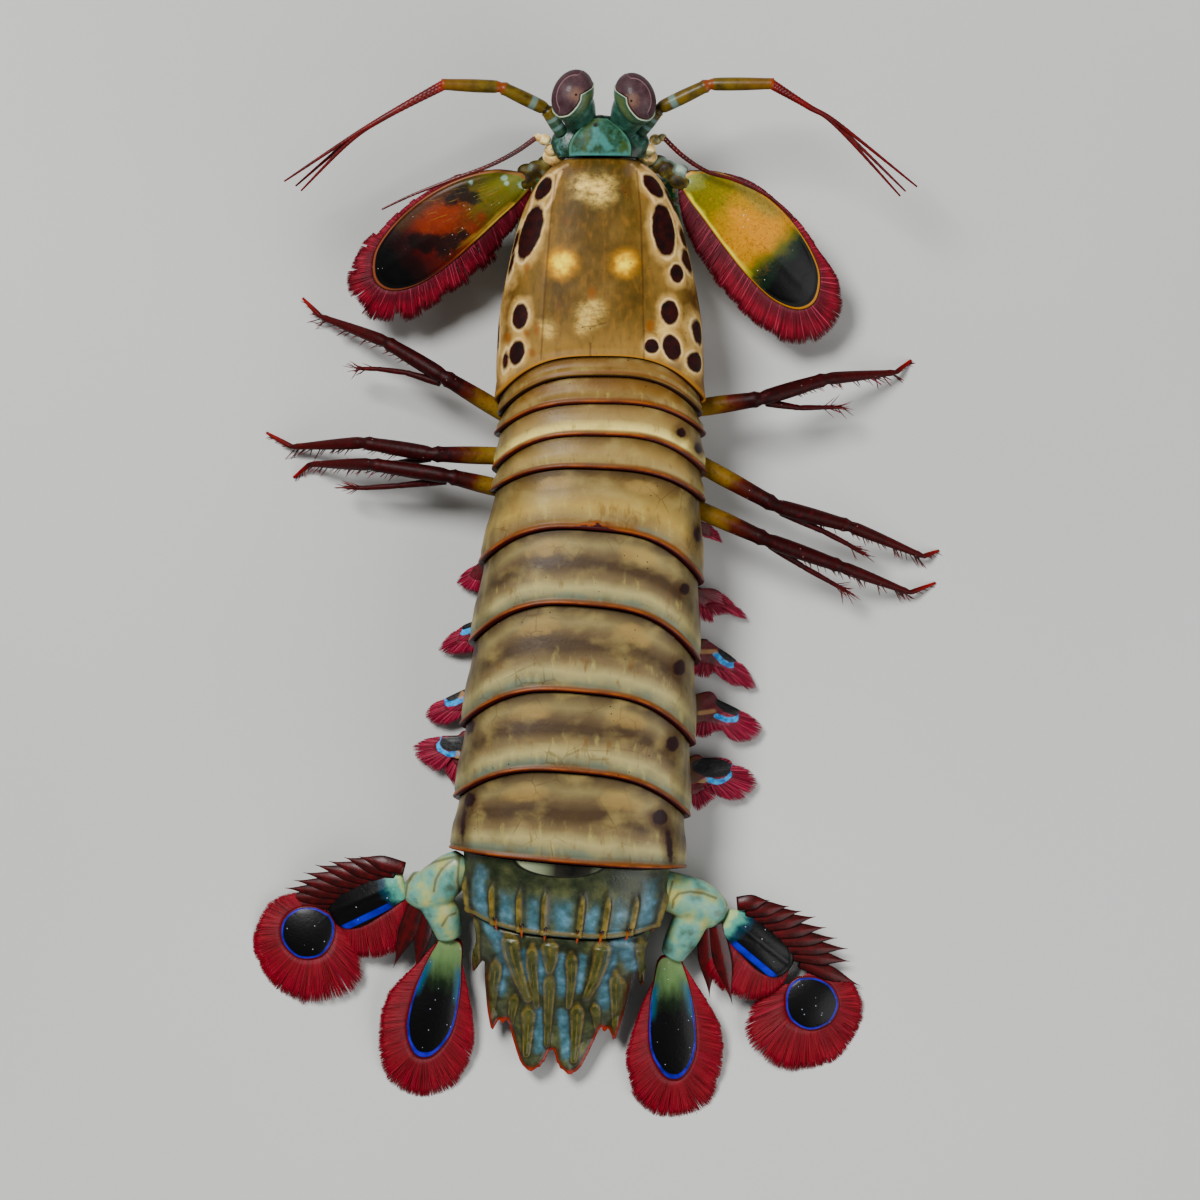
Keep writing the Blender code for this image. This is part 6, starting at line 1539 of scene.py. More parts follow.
def melt(shapes, voxel, smoothing=4):
    """The shapes grown together into one smooth skin: points, quads and tris, in mm."""
    parts = Parts()
    for shape in shapes:
        parts.add(*shape)
    points, quads, tris, *_ = parts.mesh()
    mesh = bpy.data.meshes.new("melt")
    mesh.from_pydata(points.tolist(), [], quads.tolist() + tris.tolist())
    obj = bpy.data.objects.new("melt", mesh)
    bpy.context.scene.collection.objects.link(obj)
    remesh = obj.modifiers.new("remesh", "REMESH")
    remesh.mode = "VOXEL"
    remesh.voxel_size = voxel
    soften = obj.modifiers.new("soften", "SMOOTH")
    soften.factor = 0.5
    soften.iterations = smoothing
    evaluated = obj.evaluated_get(bpy.context.evaluated_depsgraph_get())
    grown = evaluated.to_mesh()
    points = np.zeros(len(grown.vertices) * 3, np.float32)
    grown.vertices.foreach_get("co", points)
    quads, tris = [np.array([tuple(p.vertices) for p in grown.polygons if len(p.vertices) == corners])
                   for corners in (4, 3)]
    evaluated.to_mesh_clear()
    bpy.data.objects.remove(obj)
    bpy.data.meshes.remove(mesh)
    return points.reshape(-1, 3).astype(float), quads, tris if len(tris) else None


def limb_path(joints, radii, pinch, rows=26):
    """Rows of a jointed limb: points, radii, and (place along, share of segment)."""
    joints = np.asarray(joints, float)
    path, out, run = [], [], []
    shares = np.linspace(0.0, 1.0, rows)
    for k, (a, b) in enumerate(zip(joints, joints[1:])):
        for share in shares[(1 if k else 0):]:
            radius = lerp(radii[k], radii[k + 1], share)
            swell = 1.0 + 0.10 * math.sin(math.pi * min(1.0, share * 1.15))
            narrow, rim = pinch * (bell(share, 0.0, 0.05) if k else 0.0), 0.0
            if k < len(joints) - 2:
                narrow += pinch * bell(share, 1.0, 0.045)
                rim = 0.12 * bell(share, 0.92, 0.035)
            path.append(a + (b - a) * share)
            out.append(radius * (swell - narrow + rim))
            run.append((k + share, share))
    path, out, run = np.array(path), np.array(out), np.array(run)
    for _ in range(3):
        path[1:-1] = 0.25 * path[:-2] + 0.5 * path[1:-1] + 0.25 * path[2:]
    return path, out, run


def limb_mesh(joints, radii, sides, **options):
    """Jointed limb kept above the floor, with its run as a field."""
    path, out, run = limb_path(joints, radii, **options)
    rings = tube_rings(path, out, sides)
    rings[..., 2] = np.maximum(rings[..., 2], 0.0)
    places = np.concatenate([run, np.zeros((len(run), 1))], 1)
    field = np.broadcast_to(places[:, None, :], rings.shape)
    return loft(rings, (path[0], path[-1] + 0.3 * (path[-1] - path[-2])), {"limb": field})


# ---------------------------------------------------------------- antennules and antennae
ANTENNULES = {
    "l": (((-5.6, 69.6, 16.4), (-8.0, 73.2, 17.8), (-14.8, 76.4, 19.4), (-23.6, 76.7, 20.4)),
          ((-31.9, 71.9, 20.4), (-37.3, 68.4, 19.0), (-45.0, 61.6, 16.4))),
    "r": (((6.0, 69.8, 16.4), (8.8, 73.3, 17.8), (16.3, 76.8, 19.4), (25.9, 76.8, 20.4)),
          ((31.0, 73.4, 20.4), (35.2, 70.7, 19.4), (45.2, 60.8, 16.4))),
}
FLAGELLUM_SPREAD = ((3.6, 1.5, 0.5), (-0.6, -0.8, 0.0), (0.9, 0.6, -3.4))
PEDUNCLE_RADII = (0.95, 0.98, 0.95, 0.85)
FLAGELLUM_RADIUS, FLAGELLUM_TIP, FLAGELLUM_START = 0.52, 0.13, 0.28
BEADS_PER_MM, BEAD_STEPS, BEAD_SWELL, WHIP_SIDES = 1.6, 6, 0.10, 12
# Round segments at the root of an antenna: place, radii; mirrored
ANTENNA_BASE = (((6.9, 66.4, 13.6), (1.7, 1.4, 1.5)), ((7.3, 67.3, 15.0), (1.05, 0.95, 1.0)),
                ((8.3, 68.8, 15.7), (0.95, 0.85, 0.85)), ((9.3, 69.1, 16.0), (0.7, 0.6, 0.6)))
ANTENNA_RADIUS, ANTENNA_TIP = 0.38, 0.13
ANTENNA_FLAGELLA = {
    "l": ((-9.5, 69.1, 16.1), (-12.6, 66.9, 16.6), (-16.6, 64.8, 17.0), (-22.5, 62.6, 17.0),
          (-28.0, 60.5, 16.4), (-32.6, 58.4, 15.4)),
    "r": ((9.5, 69.1, 16.1), (12.4, 66.3, 16.3), (16.0, 64.0, 16.3), (20.2, 62.7, 16.1),
          (24.9, 60.4, 15.7), (28.8, 57.1, 15.2)),
}


def whip(points, first, last):
    """Thin flagellum of short rings, from the first radius to the last."""
    points = np.asarray(points, float)
    length = np.linalg.norm(np.diff(points, axis=0), axis=1).sum()
    beads = int(length * BEADS_PER_MM)
    t = np.linspace(0.0, 1.0, beads * BEAD_STEPS + 1)
    path = catmull(points, t * (len(points) - 1))
    bead = np.abs(np.sin(np.pi * t * beads))
    rings = tube_rings(path, lerp(first, last, t ** 1.4) * (1.0 + BEAD_SWELL * bead), WHIP_SIDES)
    field = np.broadcast_to(np.stack([4.0 + t, bead, np.ones(len(t))], -1)[:, None], rings.shape)
    return loft(rings, (path[0], path[-1]), {"limb": field})


def antennule_look():
    look = Look("antennule", 0.42, coat=0.05, coat_roughness=0.2, specular=0.2)
    along, share, whip_part = look.axes("limb")
    look.colour = look.ramp(look.noise(1.6, 4.0), ((0.3, (84, 72, 34)), (0.6, (126, 108, 52))))
    look.lay(look.step(along, 0.9, 0.4), (74, 98, 82))
    for place in (0.30, 0.62, 1.30):
        look.lay(look.band(along, place, 0.035, 0.05), (132, 152, 150), 0.7)
    look.lay(look.step(along, 2.2, 2.9), (140, 100, 44), 0.5)
    joint = look.times(look.band(along, 2.0, 0.05, 0.05), 0.65)
    look.lay(joint, (164, 82, 42))
    look.lay(look.step(along, 2.92, 2.98), (168, 84, 42), 0.8)
    look.lay(look.band(along, 1.0, 0.03, 0.03), (52, 44, 24), 0.8)
    red = look.ramp(look.noise(2.0, 3.0), ((0.3, (104, 24, 28)), (0.7, (146, 40, 38))))
    red = look.mix(look.step(along, 4.10, 4.0), red, (170, 64, 40))
    red = look.mix(look.times(look.step(share, 0.5, 0.0), 0.5), red, (60, 12, 18))
    look.lay(look.step(whip_part, 0.4, 0.6), red)
    return look.finish(look.noise(0.4, 3.0), 0.03)


def antennule_piece(side_name, side, look):
    joints, bends = ANTENNULES[side_name]
    parts = Parts()
    parts.add(*limb_mesh(joints, PEDUNCLE_RADII, 24, pinch=0.2))
    elbow = lerp(np.array(joints[-2]), np.array(joints[-1]), 0.95)
    for out, ahead, up in FLAGELLUM_SPREAD:
        path = [elbow]
        for step, bend in enumerate(bends):
            spread = (step + 0.6) / len(bends)
            path.append(np.array(bend) + spread ** 3.6 * np.array((side * out, ahead, up)))
        start = np.array((0.0, ahead, 0.5 * up))
        path[0] = path[0] + FLAGELLUM_START * start / np.linalg.norm(start)
        parts.add(*whip(path, FLAGELLUM_RADIUS, FLAGELLUM_TIP))
    node = "antennule_" + side_name
    add_piece(node + "_skin", look, parts.mesh(), "limb", node)


def antenna_look():
    look = Look("antenna", 0.34, coat=0.12, coat_roughness=0.2)
    _, _, whip_part = look.axes("limb")
    look.colour = look.ramp(look.noise(1.4, 4.0), ((0.3, (160, 128, 70)), (0.55, (204, 190, 150)),
                                                   (0.75, (222, 214, 190))))
    look.lay(look.step(look.noise(2.2, 2.0), 0.55, 0.62), (40, 96, 84), 0.7)
    red = look.ramp(look.noise(2.0, 3.0), ((0.3, (80, 26, 22)), (0.7, (124, 48, 38))))
    look.lay(look.step(whip_part, 0.4, 0.6), red)
    return look.finish(look.noise(0.5, 3.0), 0.04)


def antenna_piece(side_name, side, look):
    parts = Parts()
    for (x, y, z), radii in ANTENNA_BASE:
        points, quads, tris = ball((side * x, y, z), radii)
        parts.add(points, quads, tris, {"limb": np.zeros((len(points), 3))})
    parts.add(*whip(ANTENNA_FLAGELLA[side_name], ANTENNA_RADIUS, ANTENNA_TIP))
    node = "antenna_" + side_name
    add_piece(node + "_skin", look, parts.mesh(), "limb_pale", node)


# ---------------------------------------------------------------- walking legs
# Joints of each leg, and of the thin branch that leaves it
LEGS = {
    "leg_1_l": (((-13.0, 27.2, 10.6), (-23.6, 33.6, 12.0), (-32.3, 38.9, 8.4), (-42.4, 43.0, 1.7),
                 (-45.1, 45.8, 0.1)),
                ((-24.0, 32.6, 11.2), (-29.2, 34.2, 9.6), (-33.5, 34.8, 8.0), (-36.7, 34.9, 6.8))),
    "leg_2_l": (((-13.5, 21.6, 10.2), (-25.3, 21.9, 11.6), (-35.6, 23.7, 8.0), (-46.7, 23.2, 1.7),
                 (-50.6, 25.4, 0.1)),
                ((-25.6, 21.3, 10.6), (-30.4, 20.7, 6.8), (-35.0, 20.4, 5.0), (-38.0, 20.4, 4.2))),
    "leg_3_l": (((-13.5, 16.4, 10.0), (-22.7, 18.6, 11.2), (-34.4, 20.4, 9.6), (-43.9, 20.6, 1.7),
                 (-46.5, 18.6, 0.1)),
                ((-23.2, 17.9, 10.4), (-30.5, 17.2, 8.0), (-35.6, 16.9, 6.6), (-38.4, 17.0, 5.8))),
    "leg_1_r": (((13.0, 28.6, 10.6), (24.2, 30.2, 12.0), (34.1, 33.3, 8.4), (44.9, 34.5, 1.7),
                 (47.2, 36.4, 0.1)),
                ((25.0, 29.6, 11.2), (30.0, 28.9, 9.4), (33.4, 29.0, 8.0), (36.4, 29.1, 6.8))),
    "leg_2_r": (((13.8, 21.1, 10.0), (26.5, 14.1, 11.6), (37.7, 11.1, 8.0), (49.0, 6.6, 1.7),
                 (51.4, 7.5, 0.1)),
                ((27.2, 13.2, 10.6), (33.7, 10.3, 8.4), (37.4, 8.4, 7.0), (39.8, 6.9, 6.2))),
    "leg_3_r": (((13.5, 14.2, 10.0), (25.1, 9.0, 11.2), (36.4, 5.0, 7.6), (47.0, 1.1, 1.7),
                 (50.9, 2.6, 0.1)),
                ((25.6, 8.2, 10.2), (30.6, 5.0, 8.0), (34.6, 2.8, 6.4), (37.4, 1.2, 5.6))),
}
LEG_RADII = (1.3, 1.15, 0.98, 0.42, 0.2)       # at its joints
BRANCH_RADII = (0.6, 0.42, 0.36, 0.24)
BRISTLE_STEPS, BRISTLE_BEND, BRISTLE_FLOOR = 6, 0.15, 0.06
# Bristles of the last three segments: first and last share of the segment, number, length, width
LEG_BRISTLES = ((0.45, 1.0, 12, 2.2, 0.17), (0.0, 1.0, 24, 2.7, 0.18), (0.1, 0.9, 8, 1.3, 0.13))
BRANCH_BRISTLES = (22, 2.6, 0.15)
# Way the leg's bristles point, as parts along it, to the rear and up; and how far they spread from it
BRISTLE_ALONG, BRISTLE_REAR, BRISTLE_UP = 0.65, 0.5, -0.45
LEG_SPREAD, BRANCH_SPREAD = 0.16, 0.34


def leg_look():
    look = Look("leg", 0.5, coat=0.02, coat_roughness=0.3, specular=0.09)
    along, share, _ = look.axes("limb")
    cloud = look.wave(3.0, 3.0, 0.5)
    look.colour = look.ramp(look.times(look.plus(along, cloud), 0.25),
                            ((0.0, (150, 130, 70)), (0.10, (134, 108, 54)), (0.155, (96, 50, 38)),
                             (0.20, (64, 8, 28)), (0.50, (80, 8, 30)), (0.76, (104, 12, 32)),
                             (0.90, (158, 30, 34)), (1.0, (176, 60, 50))))
    joint = look.math("MAXIMUM", look.step(share, 0.90, 0.98), look.step(share, 0.08, 0.01))
    look.lay(joint, (54, 10, 22), 0.4)
    streak = look.noise(0.8, 4.0)
    look.lay(look.step(streak, 0.52, 0.8), (150, 40, 54), 0.35)
    look.lay(look.step(streak, 0.46, 0.30), (40, 8, 18), 0.35)
    specks = look.step(look.cells(1.3), 0.07, 0.04)
    look.lay(specks, (186, 160, 160), 0.7)
    return look.finish(look.noise(0.45, 4.0), 0.08)


def bristles(rng, path, number, length, width, way, spread):
    """Mesh of strands from places on a path, their directions spread round way."""
    t = rng.random(number)
    path = np.asarray(path, float)
    run = np.concatenate([[0.0], np.cumsum(np.linalg.norm(np.diff(path, axis=0), axis=1))])
    root = np.stack([np.interp(t * run[-1], run, path[:, k]) for k in range(3)], -1)
    direction = way + rng.normal(0.0, spread, (number, 3))
    direction /= np.linalg.norm(direction, axis=1)[:, None]
    long = length * rng.uniform(0.7, 1.1, number)
    s = np.linspace(0.0, 1.0, BRISTLE_STEPS)
    lines = root[:, None] + direction[:, None] * (long[:, None] * s)[..., None]
    lines[..., 2] -= BRISTLE_BEND * long[:, None] * s ** 2
    lines[..., 2] = np.maximum(lines[..., 2], BRISTLE_FLOOR)
    place = np.stack([0.05 + 0.9 * t, 0.05 + 0.9 * rng.random(number)], -1)
    return strands(lines, width * rng.uniform(0.8, 1.2, number), s, rng.random(number), place,
                   np.stack([t, np.zeros(number)], -1), rng.random(number))


def leg_piece(node, look, seta):
    joints, branch = LEGS[node]
    parts = Parts()
    parts.add(*limb_mesh(joints, LEG_RADII, 22, pinch=0.16))
    points, quads, tris, fields = limb_mesh(branch, BRANCH_RADII, 14, rows=20, pinch=0.08)
    fields["limb"] = fields["limb"] * (0.45, 1.0, 1.0) + (1.6, 0.0, 1.0)
    parts.add(points, quads, tris, fields)
    add_piece(node + "_skin", look, parts.mesh(), "limb", node)
    rng = np.random.default_rng(200 + 10 * sum(map(ord, node)))
    joints, branch = np.array(joints), np.array(branch)
    hair = Parts()
    for k, (first, last, number, length, width) in enumerate(LEG_BRISTLES):
        a, b = joints[k + 1], joints[k + 2]
        along = (b - a) / np.linalg.norm(b - a)
        rear = np.cross(along, UP) * math.copysign(1.0, a[0])
        way = BRISTLE_ALONG * along + BRISTLE_REAR * rear + BRISTLE_UP * UP
        line = [lerp(a, b, t) + 0.5 * LEG_RADII[k + 1] * (rear - (0.0, 0.0, 0.6)) for t in (first, last)]
        hair.add(*bristles(rng, line, number, length, width, way, LEG_SPREAD))
    end = branch[-1] - branch[-2]
    end /= np.linalg.norm(end)
    hair.add(*bristles(rng, branch[-2:], *BRANCH_BRISTLES, end, BRANCH_SPREAD))
    add_piece(node + "_setae", seta, hair.mesh(), "fringe")


# ---------------------------------------------------------------- swimming legs
SWIM_INNER = ((0.0, 0.9, 0.3), (2.4, 1.8, 0.6), (5.0, 2.2, 1.0), (7.4, 1.4, 1.6), (8.4, 0.0, 1.8),
              (7.4, -1.4, 1.8), (5.0, -2.2, 1.6), (2.4, -1.8, 1.0), (0.0, -0.9, 0.0))
# Roots of the legs on the body's axis and beside it; tips of their outer leaves, and their inner yaw
SWIM_Y = (14.6, 4.6, -7.0, -19.0, -29.4)
SWIM_X = 8.6
SWIM_TIPS = {
    "l": (((-16.2, 8.4), 62.0), ((-23.0, 2.6), 62.0), ((-25.4, -6.4), 62.0),
          ((-27.6, -16.0), 58.0), ((-29.2, -22.0), 38.0)),
    "r": (((19.4, 10.2), 62.0), ((23.2, -2.2), 66.0), ((24.6, -12.6), 66.0),
          ((25.8, -18.6), 62.0), ((24.8, -26.6), 60.0)),
}
SWIM_ROOT_Z, SWIM_TIP_Z = 5.3, 1.5
SWIM_ROLL, SWIM_MARK_WIDTH = 4.0, 2.6
SWIM_INNER_ROOT = (0.6, 1.0, 1.3)       # of an inner leaf, inwards, back and down from the leg's root
SWIM_STALK = (2.0, 1.7, 2.6)
# Outer leaf of each swimming leg: the place its fringe runs out from, then its outline from the front
# to the back as (x, y, percent of the way out to there that is fringe)
SWIM_FANS = {
    "l": (
        ((520, 522), ((512, 520, 0), (503, 524, 20), (495, 532, 40), (491, 541, 50), (498, 546, 50),
                      (508, 545, 40), (516, 540, 20))),
        ((482, 566), ((485, 557, 0), (475, 561, 10), (466, 566, 30), (458, 573, 45), (453.5, 580, 50),
                      (456, 584, 50), (463, 589, 50), (472, 591, 50), (484, 590, 40))),
        ((478, 626), ((484, 617, 0), (470, 620, 0), (460, 624, 5), (452, 629, 30), (443, 637, 42),
                      (436.7, 646.7, 48), (440, 651, 48), (450, 653.5, 50), (463, 653, 50),
                      (475, 652, 50), (488, 642, 20))),
        ((470, 694), ((478, 683, 0), (463, 688, 0), (452, 693, 0), (441, 698, 5), (430, 703, 30),
                      (423, 711, 40), (424, 717.5, 42), (431.7, 723, 45), (443, 724, 48),
                      (455, 719, 50), (464, 712, 50), (474, 713, 40))),
        ((461, 743), ((470, 733, 0), (455, 734.5, 0), (441, 735, 0), (434, 735.5, 15),
                      (422, 737.5, 38), (414, 742, 42), (411, 750, 45), (413, 757.5, 47),
                      (422, 765, 50), (432, 770, 50), (441, 767, 50), (447, 759, 40), (455, 757, 20))),
    ),
    "r": (
        ((700, 527), ((703, 519, 0), (711, 521, 0), (718, 527, 30), (722, 534, 45), (724.5, 541, 50),
                      (715, 539, 50), (706, 536, 40))),
        ((700, 588), ((702, 586, 0), (711, 586, 0), (718, 588, 0), (726, 593, 10), (733.6, 600, 30),
                      (741, 607, 40), (748, 615.5, 45), (739, 614.5, 50), (729, 613, 50),
                      (720, 614, 50), (712, 618, 50), (704, 621, 50))),
        ((706, 648), ((700, 637, 0), (710, 640, 0), (719, 646, 0), (730, 653, 0), (739, 660, 5),
                      (748, 667, 30), (755, 680, 40), (757, 686, 42), (745, 686, 45), (733.6, 685, 50),
                      (726, 680, 45), (717, 673, 50), (708, 675, 50), (699, 676, 50))),
        ((706, 705), ((703, 691, 0), (720, 699, 0), (735, 706, 0), (743, 710, 5), (755, 716, 30),
                      (763, 724.5, 40), (763, 732, 42), (755, 739, 45), (742, 742, 45), (731, 738, 45),
                      (725, 730, 40), (716, 733, 50), (707, 736, 50), (699, 737, 50))),
        ((703, 768), ((690, 756, 0), (705, 757, 0), (722, 757, 0), (731, 760, 0), (737, 765, 10),
                      (747, 768, 35), (755, 775.7, 42), (758, 783, 45), (753, 792, 48),
                      (742, 799.7, 50), (729, 800.8, 50), (716, 794, 50), (711, 785, 40),
                      (700, 784, 20))),
    ),
}
# Inner leaf of the last leg, the only inner one that shows beside the body
SWIM_LAST = {
    "l": ((459, 752), ((462, 748, 0), (450, 756, 30), (443, 765, 50), (441, 772, 55), (449, 783, 55),
                       (456, 788, 55), (462, 780, 50), (466, 766, 30))),
    "r": ((694, 780), ((694, 776, 0), (706, 781, 20), (714, 788, 45), (718, 797, 50), (710, 804, 55),
                       (699, 812, 55), (692, 806, 50), (688, 795, 30))),
}
# Marks of legs 3 to 5: black oval (x, y, half length, half width, turn), light-blue and cream lines
SWIM_MARKS = {
    "l": (((466, 624.5, 13.0, 3.6, -22.0), ((454, 627), (461, 631), (471, 628)), ((476, 630), (482, 631))),
          ((455, 695, 13.0, 4.4, -25.0), ((441, 699), (446, 703), (453, 702), (462, 697)),
           ((461, 692), (459, 696))),
          ((454, 743, 17.0, 8.0, 0.0), ((437, 736), (434.5, 743), (438, 750), (446, 754), (456, 753)),
           ((457, 752), (455, 758)))),
    "r": (((729, 655, 12.5, 4.4, 35.0), ((716, 652.5), (722.7, 660), (730, 664), (740, 663)),
           ((700, 650), (716, 650))),
          ((729, 706, 15.0, 6.0, 28.0), ((717, 715), (727, 719), (737, 718.5), (744, 713)),
           ((700, 712), (714, 710))),
          ((713, 767, 22.0, 10.0, 5.0), ((708, 779), (718, 782), (727, 780), (734, 773), (735.5, 765)),
           ((696, 786), (706, 779)))),
}


def fan_leaf(place, hub, rows, root=1.3, thick=0.55):
    """Leaf whose fringe runs straight out from the hub, and that hub in the leaf's own measures."""
    spread = np.linalg.inv(place[:2, :2])
    centre = spread @ (np.array(photo_xy(*hub)) - place[:2, 3])
    outline = [(0.0, root, 0.0)]
    for px, py, fringe in rows:
        arm = spread @ (np.array(photo_xy(px, py)) - place[:2, 3]) - centre
        outline.append((*(centre + arm * (1.0 - fringe / 100.0)), float(np.hypot(*arm)) * fringe / 100.0))
    outline.append((0.0, -root, 0.0))
    leaf = Leaf(outline, place, thick, dome=0.15, lean=0.0, rim=0.10, bead=0.03)
    arms = leaf.edge[:, :2] - centre
    leaf.out = arms / np.maximum(np.hypot(*arms.T), 1e-6)[:, None]
    return leaf, centre


def swim_look():
    look = Look("pleopod", 0.45, coat=0.04, coat_roughness=0.2, specular=0.22)
    angle, reach, inward = look.axes("fan")
    black, blue, cream = look.axes("mark")
    look.colour = look.ramp(look.noise(1.1, 4.0), ((0.3, (130, 22, 50)), (0.5, (160, 34, 66)),
                                                   (0.7, (184, 52, 82))))
    look.lay(look.step(reach, 4.0, 1.5), (104, 20, 34))
    lines = look.band(look.math("FRACT", look.times(angle, 9.0)), 0.5, 0.03, 0.13)
    lines = look.times(lines, look.step(look.noise(1.6, 2.0), 0.34, 0.60))
    look.lay(lines, (206, 120, 130), 0.7)
    folds = look.band(look.math("FRACT", look.times(angle, 4.3)), 0.5, 0.06, 0.16)
    look.lay(folds, (78, 8, 26), 0.35)
    look.lay(look.step(inward, -0.2, 1.6), (96, 74, 44), 0.85)
    ink = look.ramp(look.noise(1.2, 3.0), ((0.4, (14, 12, 18)), (0.65, (22, 18, 26)), (0.75, (54, 44, 52))))
    look.lay(look.step(black, -0.06, 0.10), ink)
    water = look.ramp(look.noise(0.8, 3.0), ((0.35, (70, 132, 190)), (0.65, (122, 184, 220))))
    look.lay(look.step(blue, 0.22, 0.50), water)
    look.lay(look.step(cream, 0.18, 0.80), (178, 154, 116), 0.75)
    bump = look.plus(look.noise(0.5, 4.0), look.times(lines, 0.4))
    return look.finish(bump, 0.06)


def fan_fields(leaf, centre, marks):
    """Mesh of a fan with its fields: turn round the hub, way from it, way inward; and the marks."""
    points, quads, tris, fields = leaf.mesh(rows=14)
    local = (points - leaf.place[:3, 3]) @ np.linalg.inv(leaf.place[:3, :3]).T
    arms = local[:, :2] - centre
    fields["fan"] = np.stack([np.arctan2(arms[:, 1], arms[:, 0]), np.hypot(*arms.T), -arms[:, 0]], -1)
    x, y = points[:, 0], points[:, 1]
    if marks:
        black, blue, cream = marks
        ring = oval(x, y, *black)
        fields["mark"] = np.stack([ring, *[line_mark(x, y, line, SWIM_MARK_WIDTH)
                                           for line in (blue, cream)]], -1)
    else:
        fields["mark"] = np.stack([x * 0.0 - 1.0, x * 0.0, x * 0.0], -1)
    return points, quads, tris, fields


def pleopod_piece(index, side_name, side, look, seta):
    (tip_x, tip_y), inner_yaw = SWIM_TIPS[side_name][index]
    root = moved(axis_frame(SWIM_Y[index]), np.array((side * SWIM_X, 0.0, SWIM_ROOT_Z)))
    out, along = side * (tip_x - root[0]), root[1] - tip_y
    reach = math.hypot(out, along)
    pitch = math.degrees(math.asin((SWIM_ROOT_Z - SWIM_TIP_Z) / reach))
    yaw = math.degrees(math.atan2(along, out))
    place = placed(Vector(root), yaw, pitch, SWIM_ROLL, side)
    inwards, back, down = SWIM_INNER_ROOT
    low = Vector((root[0] - side * inwards, root[1] - back, root[2] - down))
    marks = SWIM_MARKS[side_name][index - 2] if index > 1 else None
    fans = [(*fan_leaf(place, *SWIM_FANS[side_name][index]), marks)]
    if index == 4:
        fans.append((*fan_leaf(placed(low, yaw + 22.0, pitch * 0.7, 0.0, side), *SWIM_LAST[side_name]), None))
    else:
        inner = Leaf(SWIM_INNER, placed(low, inner_yaw, 9.0, 0.0, side), 0.9, dome=0.2, lean=0.6,
                     rim=0.12, bead=0.04)
        fans.append((inner, np.zeros(2), None))
    node = f"pleopod_{index + 1}_{side_name}"
    parts, hair = Parts(), Parts()
    rng = np.random.default_rng(300 + 10 * index + (side > 0))
    for leaf, centre, spots in fans:
        parts.add(*fan_fields(leaf, centre, spots))
        hair.add(*leaf.setae(rng, 0.055, 2, 0.15, length=1.2, clump=0.8, steps=5, ragged=0.10, start=0.35))
    stalk = ball((root[0] - side * inwards, root[1], root[2] + 0.3), SWIM_STALK)
    flat = np.zeros((len(stalk[0]), 3))
    parts.add(*stalk, {"leaf": flat, "fan": flat + 3.0, "mark": flat + (-1.0, 0.0, 0.0)})
    add_piece(node + "_leaf", look, parts.mesh(), "fringe", node)
    add_piece(node + "_setae", seta, hair.mesh(), "fringe")


# ---------------------------------------------------------------- tail fan
EXOPOD_OUTLINE = ((-0.6, 1.6, 0.0), (2.6, 3.3, 0.0), (7.0, 3.5, 0.0), (11.0, 2.9, 0.0),
                  (12.9, 0.9, 0.0), (12.3, -1.9, 2.0), (9.2, -3.0, 5.4), (4.6, -2.6, 6.8),
                  (1.6, -2.1, 6.0), (0.3, -1.7, 0.0))
PADDLE_OUTLINE = ((0.0, 0.9, 0.0), (1.6, 2.9, 1.6), (4.4, 4.0, 3.3), (7.4, 3.0, 4.2),
                  (8.7, 0.0, 5.2), (7.4, -3.2, 6.8), (4.2, -4.4, 7.8), (1.4, -3.0, 6.6),
                  (0.0, -1.0, 0.6))
ENDOPOD_OUTLINE = ((-0.4, 1.6, 0.0), (4.0, 2.8, 1.6), (9.6, 3.6, 4.4), (15.0, 3.4, 5.0),
                   (18.8, 1.2, 6.4), (18.4, -1.6, 6.4), (14.0, -3.6, 4.8), (8.0, -3.5, 2.2),
                   (3.0, -2.6, 0.4), (-0.4, -1.5, 0.0))
# Outline, thickness, dome and droop of the two dark leaves
TAIL_LEAVES = {"paddle": (PADDLE_OUTLINE, 1.2, 0.3, 0.78), "endopod": (ENDOPOD_OUTLINE, 1.2, 0.4, 0.6)}
EXOPOD_KEEL = [(x, 0.6 + 0.02 * x) for x in np.linspace(0.5, 12.0, 8)]
# Basal piece: socket, middle and rear; branches: root, yaw, pitch; then in pixels the two spines with
# their half widths, the exopod's outer edge and the tips of its blades
UROPODS = {
    "l": {"base": ((-22.4, -41.0, 9.0), (-25.6, -43.6, 7.6), (-23.6, -47.6, 6.4)),
          "exopod": ((-29.6, -43.0, 6.6), 25.0, 21.0),
          "paddle": ((-40.4, -48.3, 2.2), 26.0, 2.0),
          "endopod": ((-22.6, -51.4, 4.8), 76.0, 8.6),
          "spines": (((421, 894), (391, 969), 1.5), ((429, 896), (413, 976), 1.3)),
          "edge": ((403, 868), (330, 903)),
          "blades": ((357, 856), (342, 857), (326, 861), (312, 865), (300, 873), (290, 881),
                     (281, 889), (274, 898), (270, 909))},
    "r": {"base": ((10.6, -43.8, 9.0), (15.0, -45.6, 7.6), (12.6, -50.4, 6.4)),
          "exopod": ((18.9, -48.2, 6.6), 39.0, 17.0),
          "paddle": ((29.3, -57.6, 2.2), 50.0, 2.0),
          "endopod": ((10.6, -54.2, 4.8), 88.0, 8.6),
          "spines": (((705, 918), (710, 999), 1.4), ((714, 921), (733, 1006), 1.4)),
          "edge": ((737, 903), (804, 965)),
          "blades": ((770, 900), (790, 906), (803, 911), (817, 917), (828, 928), (839, 939),
                     (850, 950), (852, 963), (863, 988))},
}
BASE_VOXEL, BASE_LINE_WIDTH = 0.24, 3.4
BLADE_SIDES, BLADE_HALF_WIDTH = 14, 1.15
BLADE_LEAF = (6.0, 0.0, 0.5)                # place on the leaf that the blades take their colours from
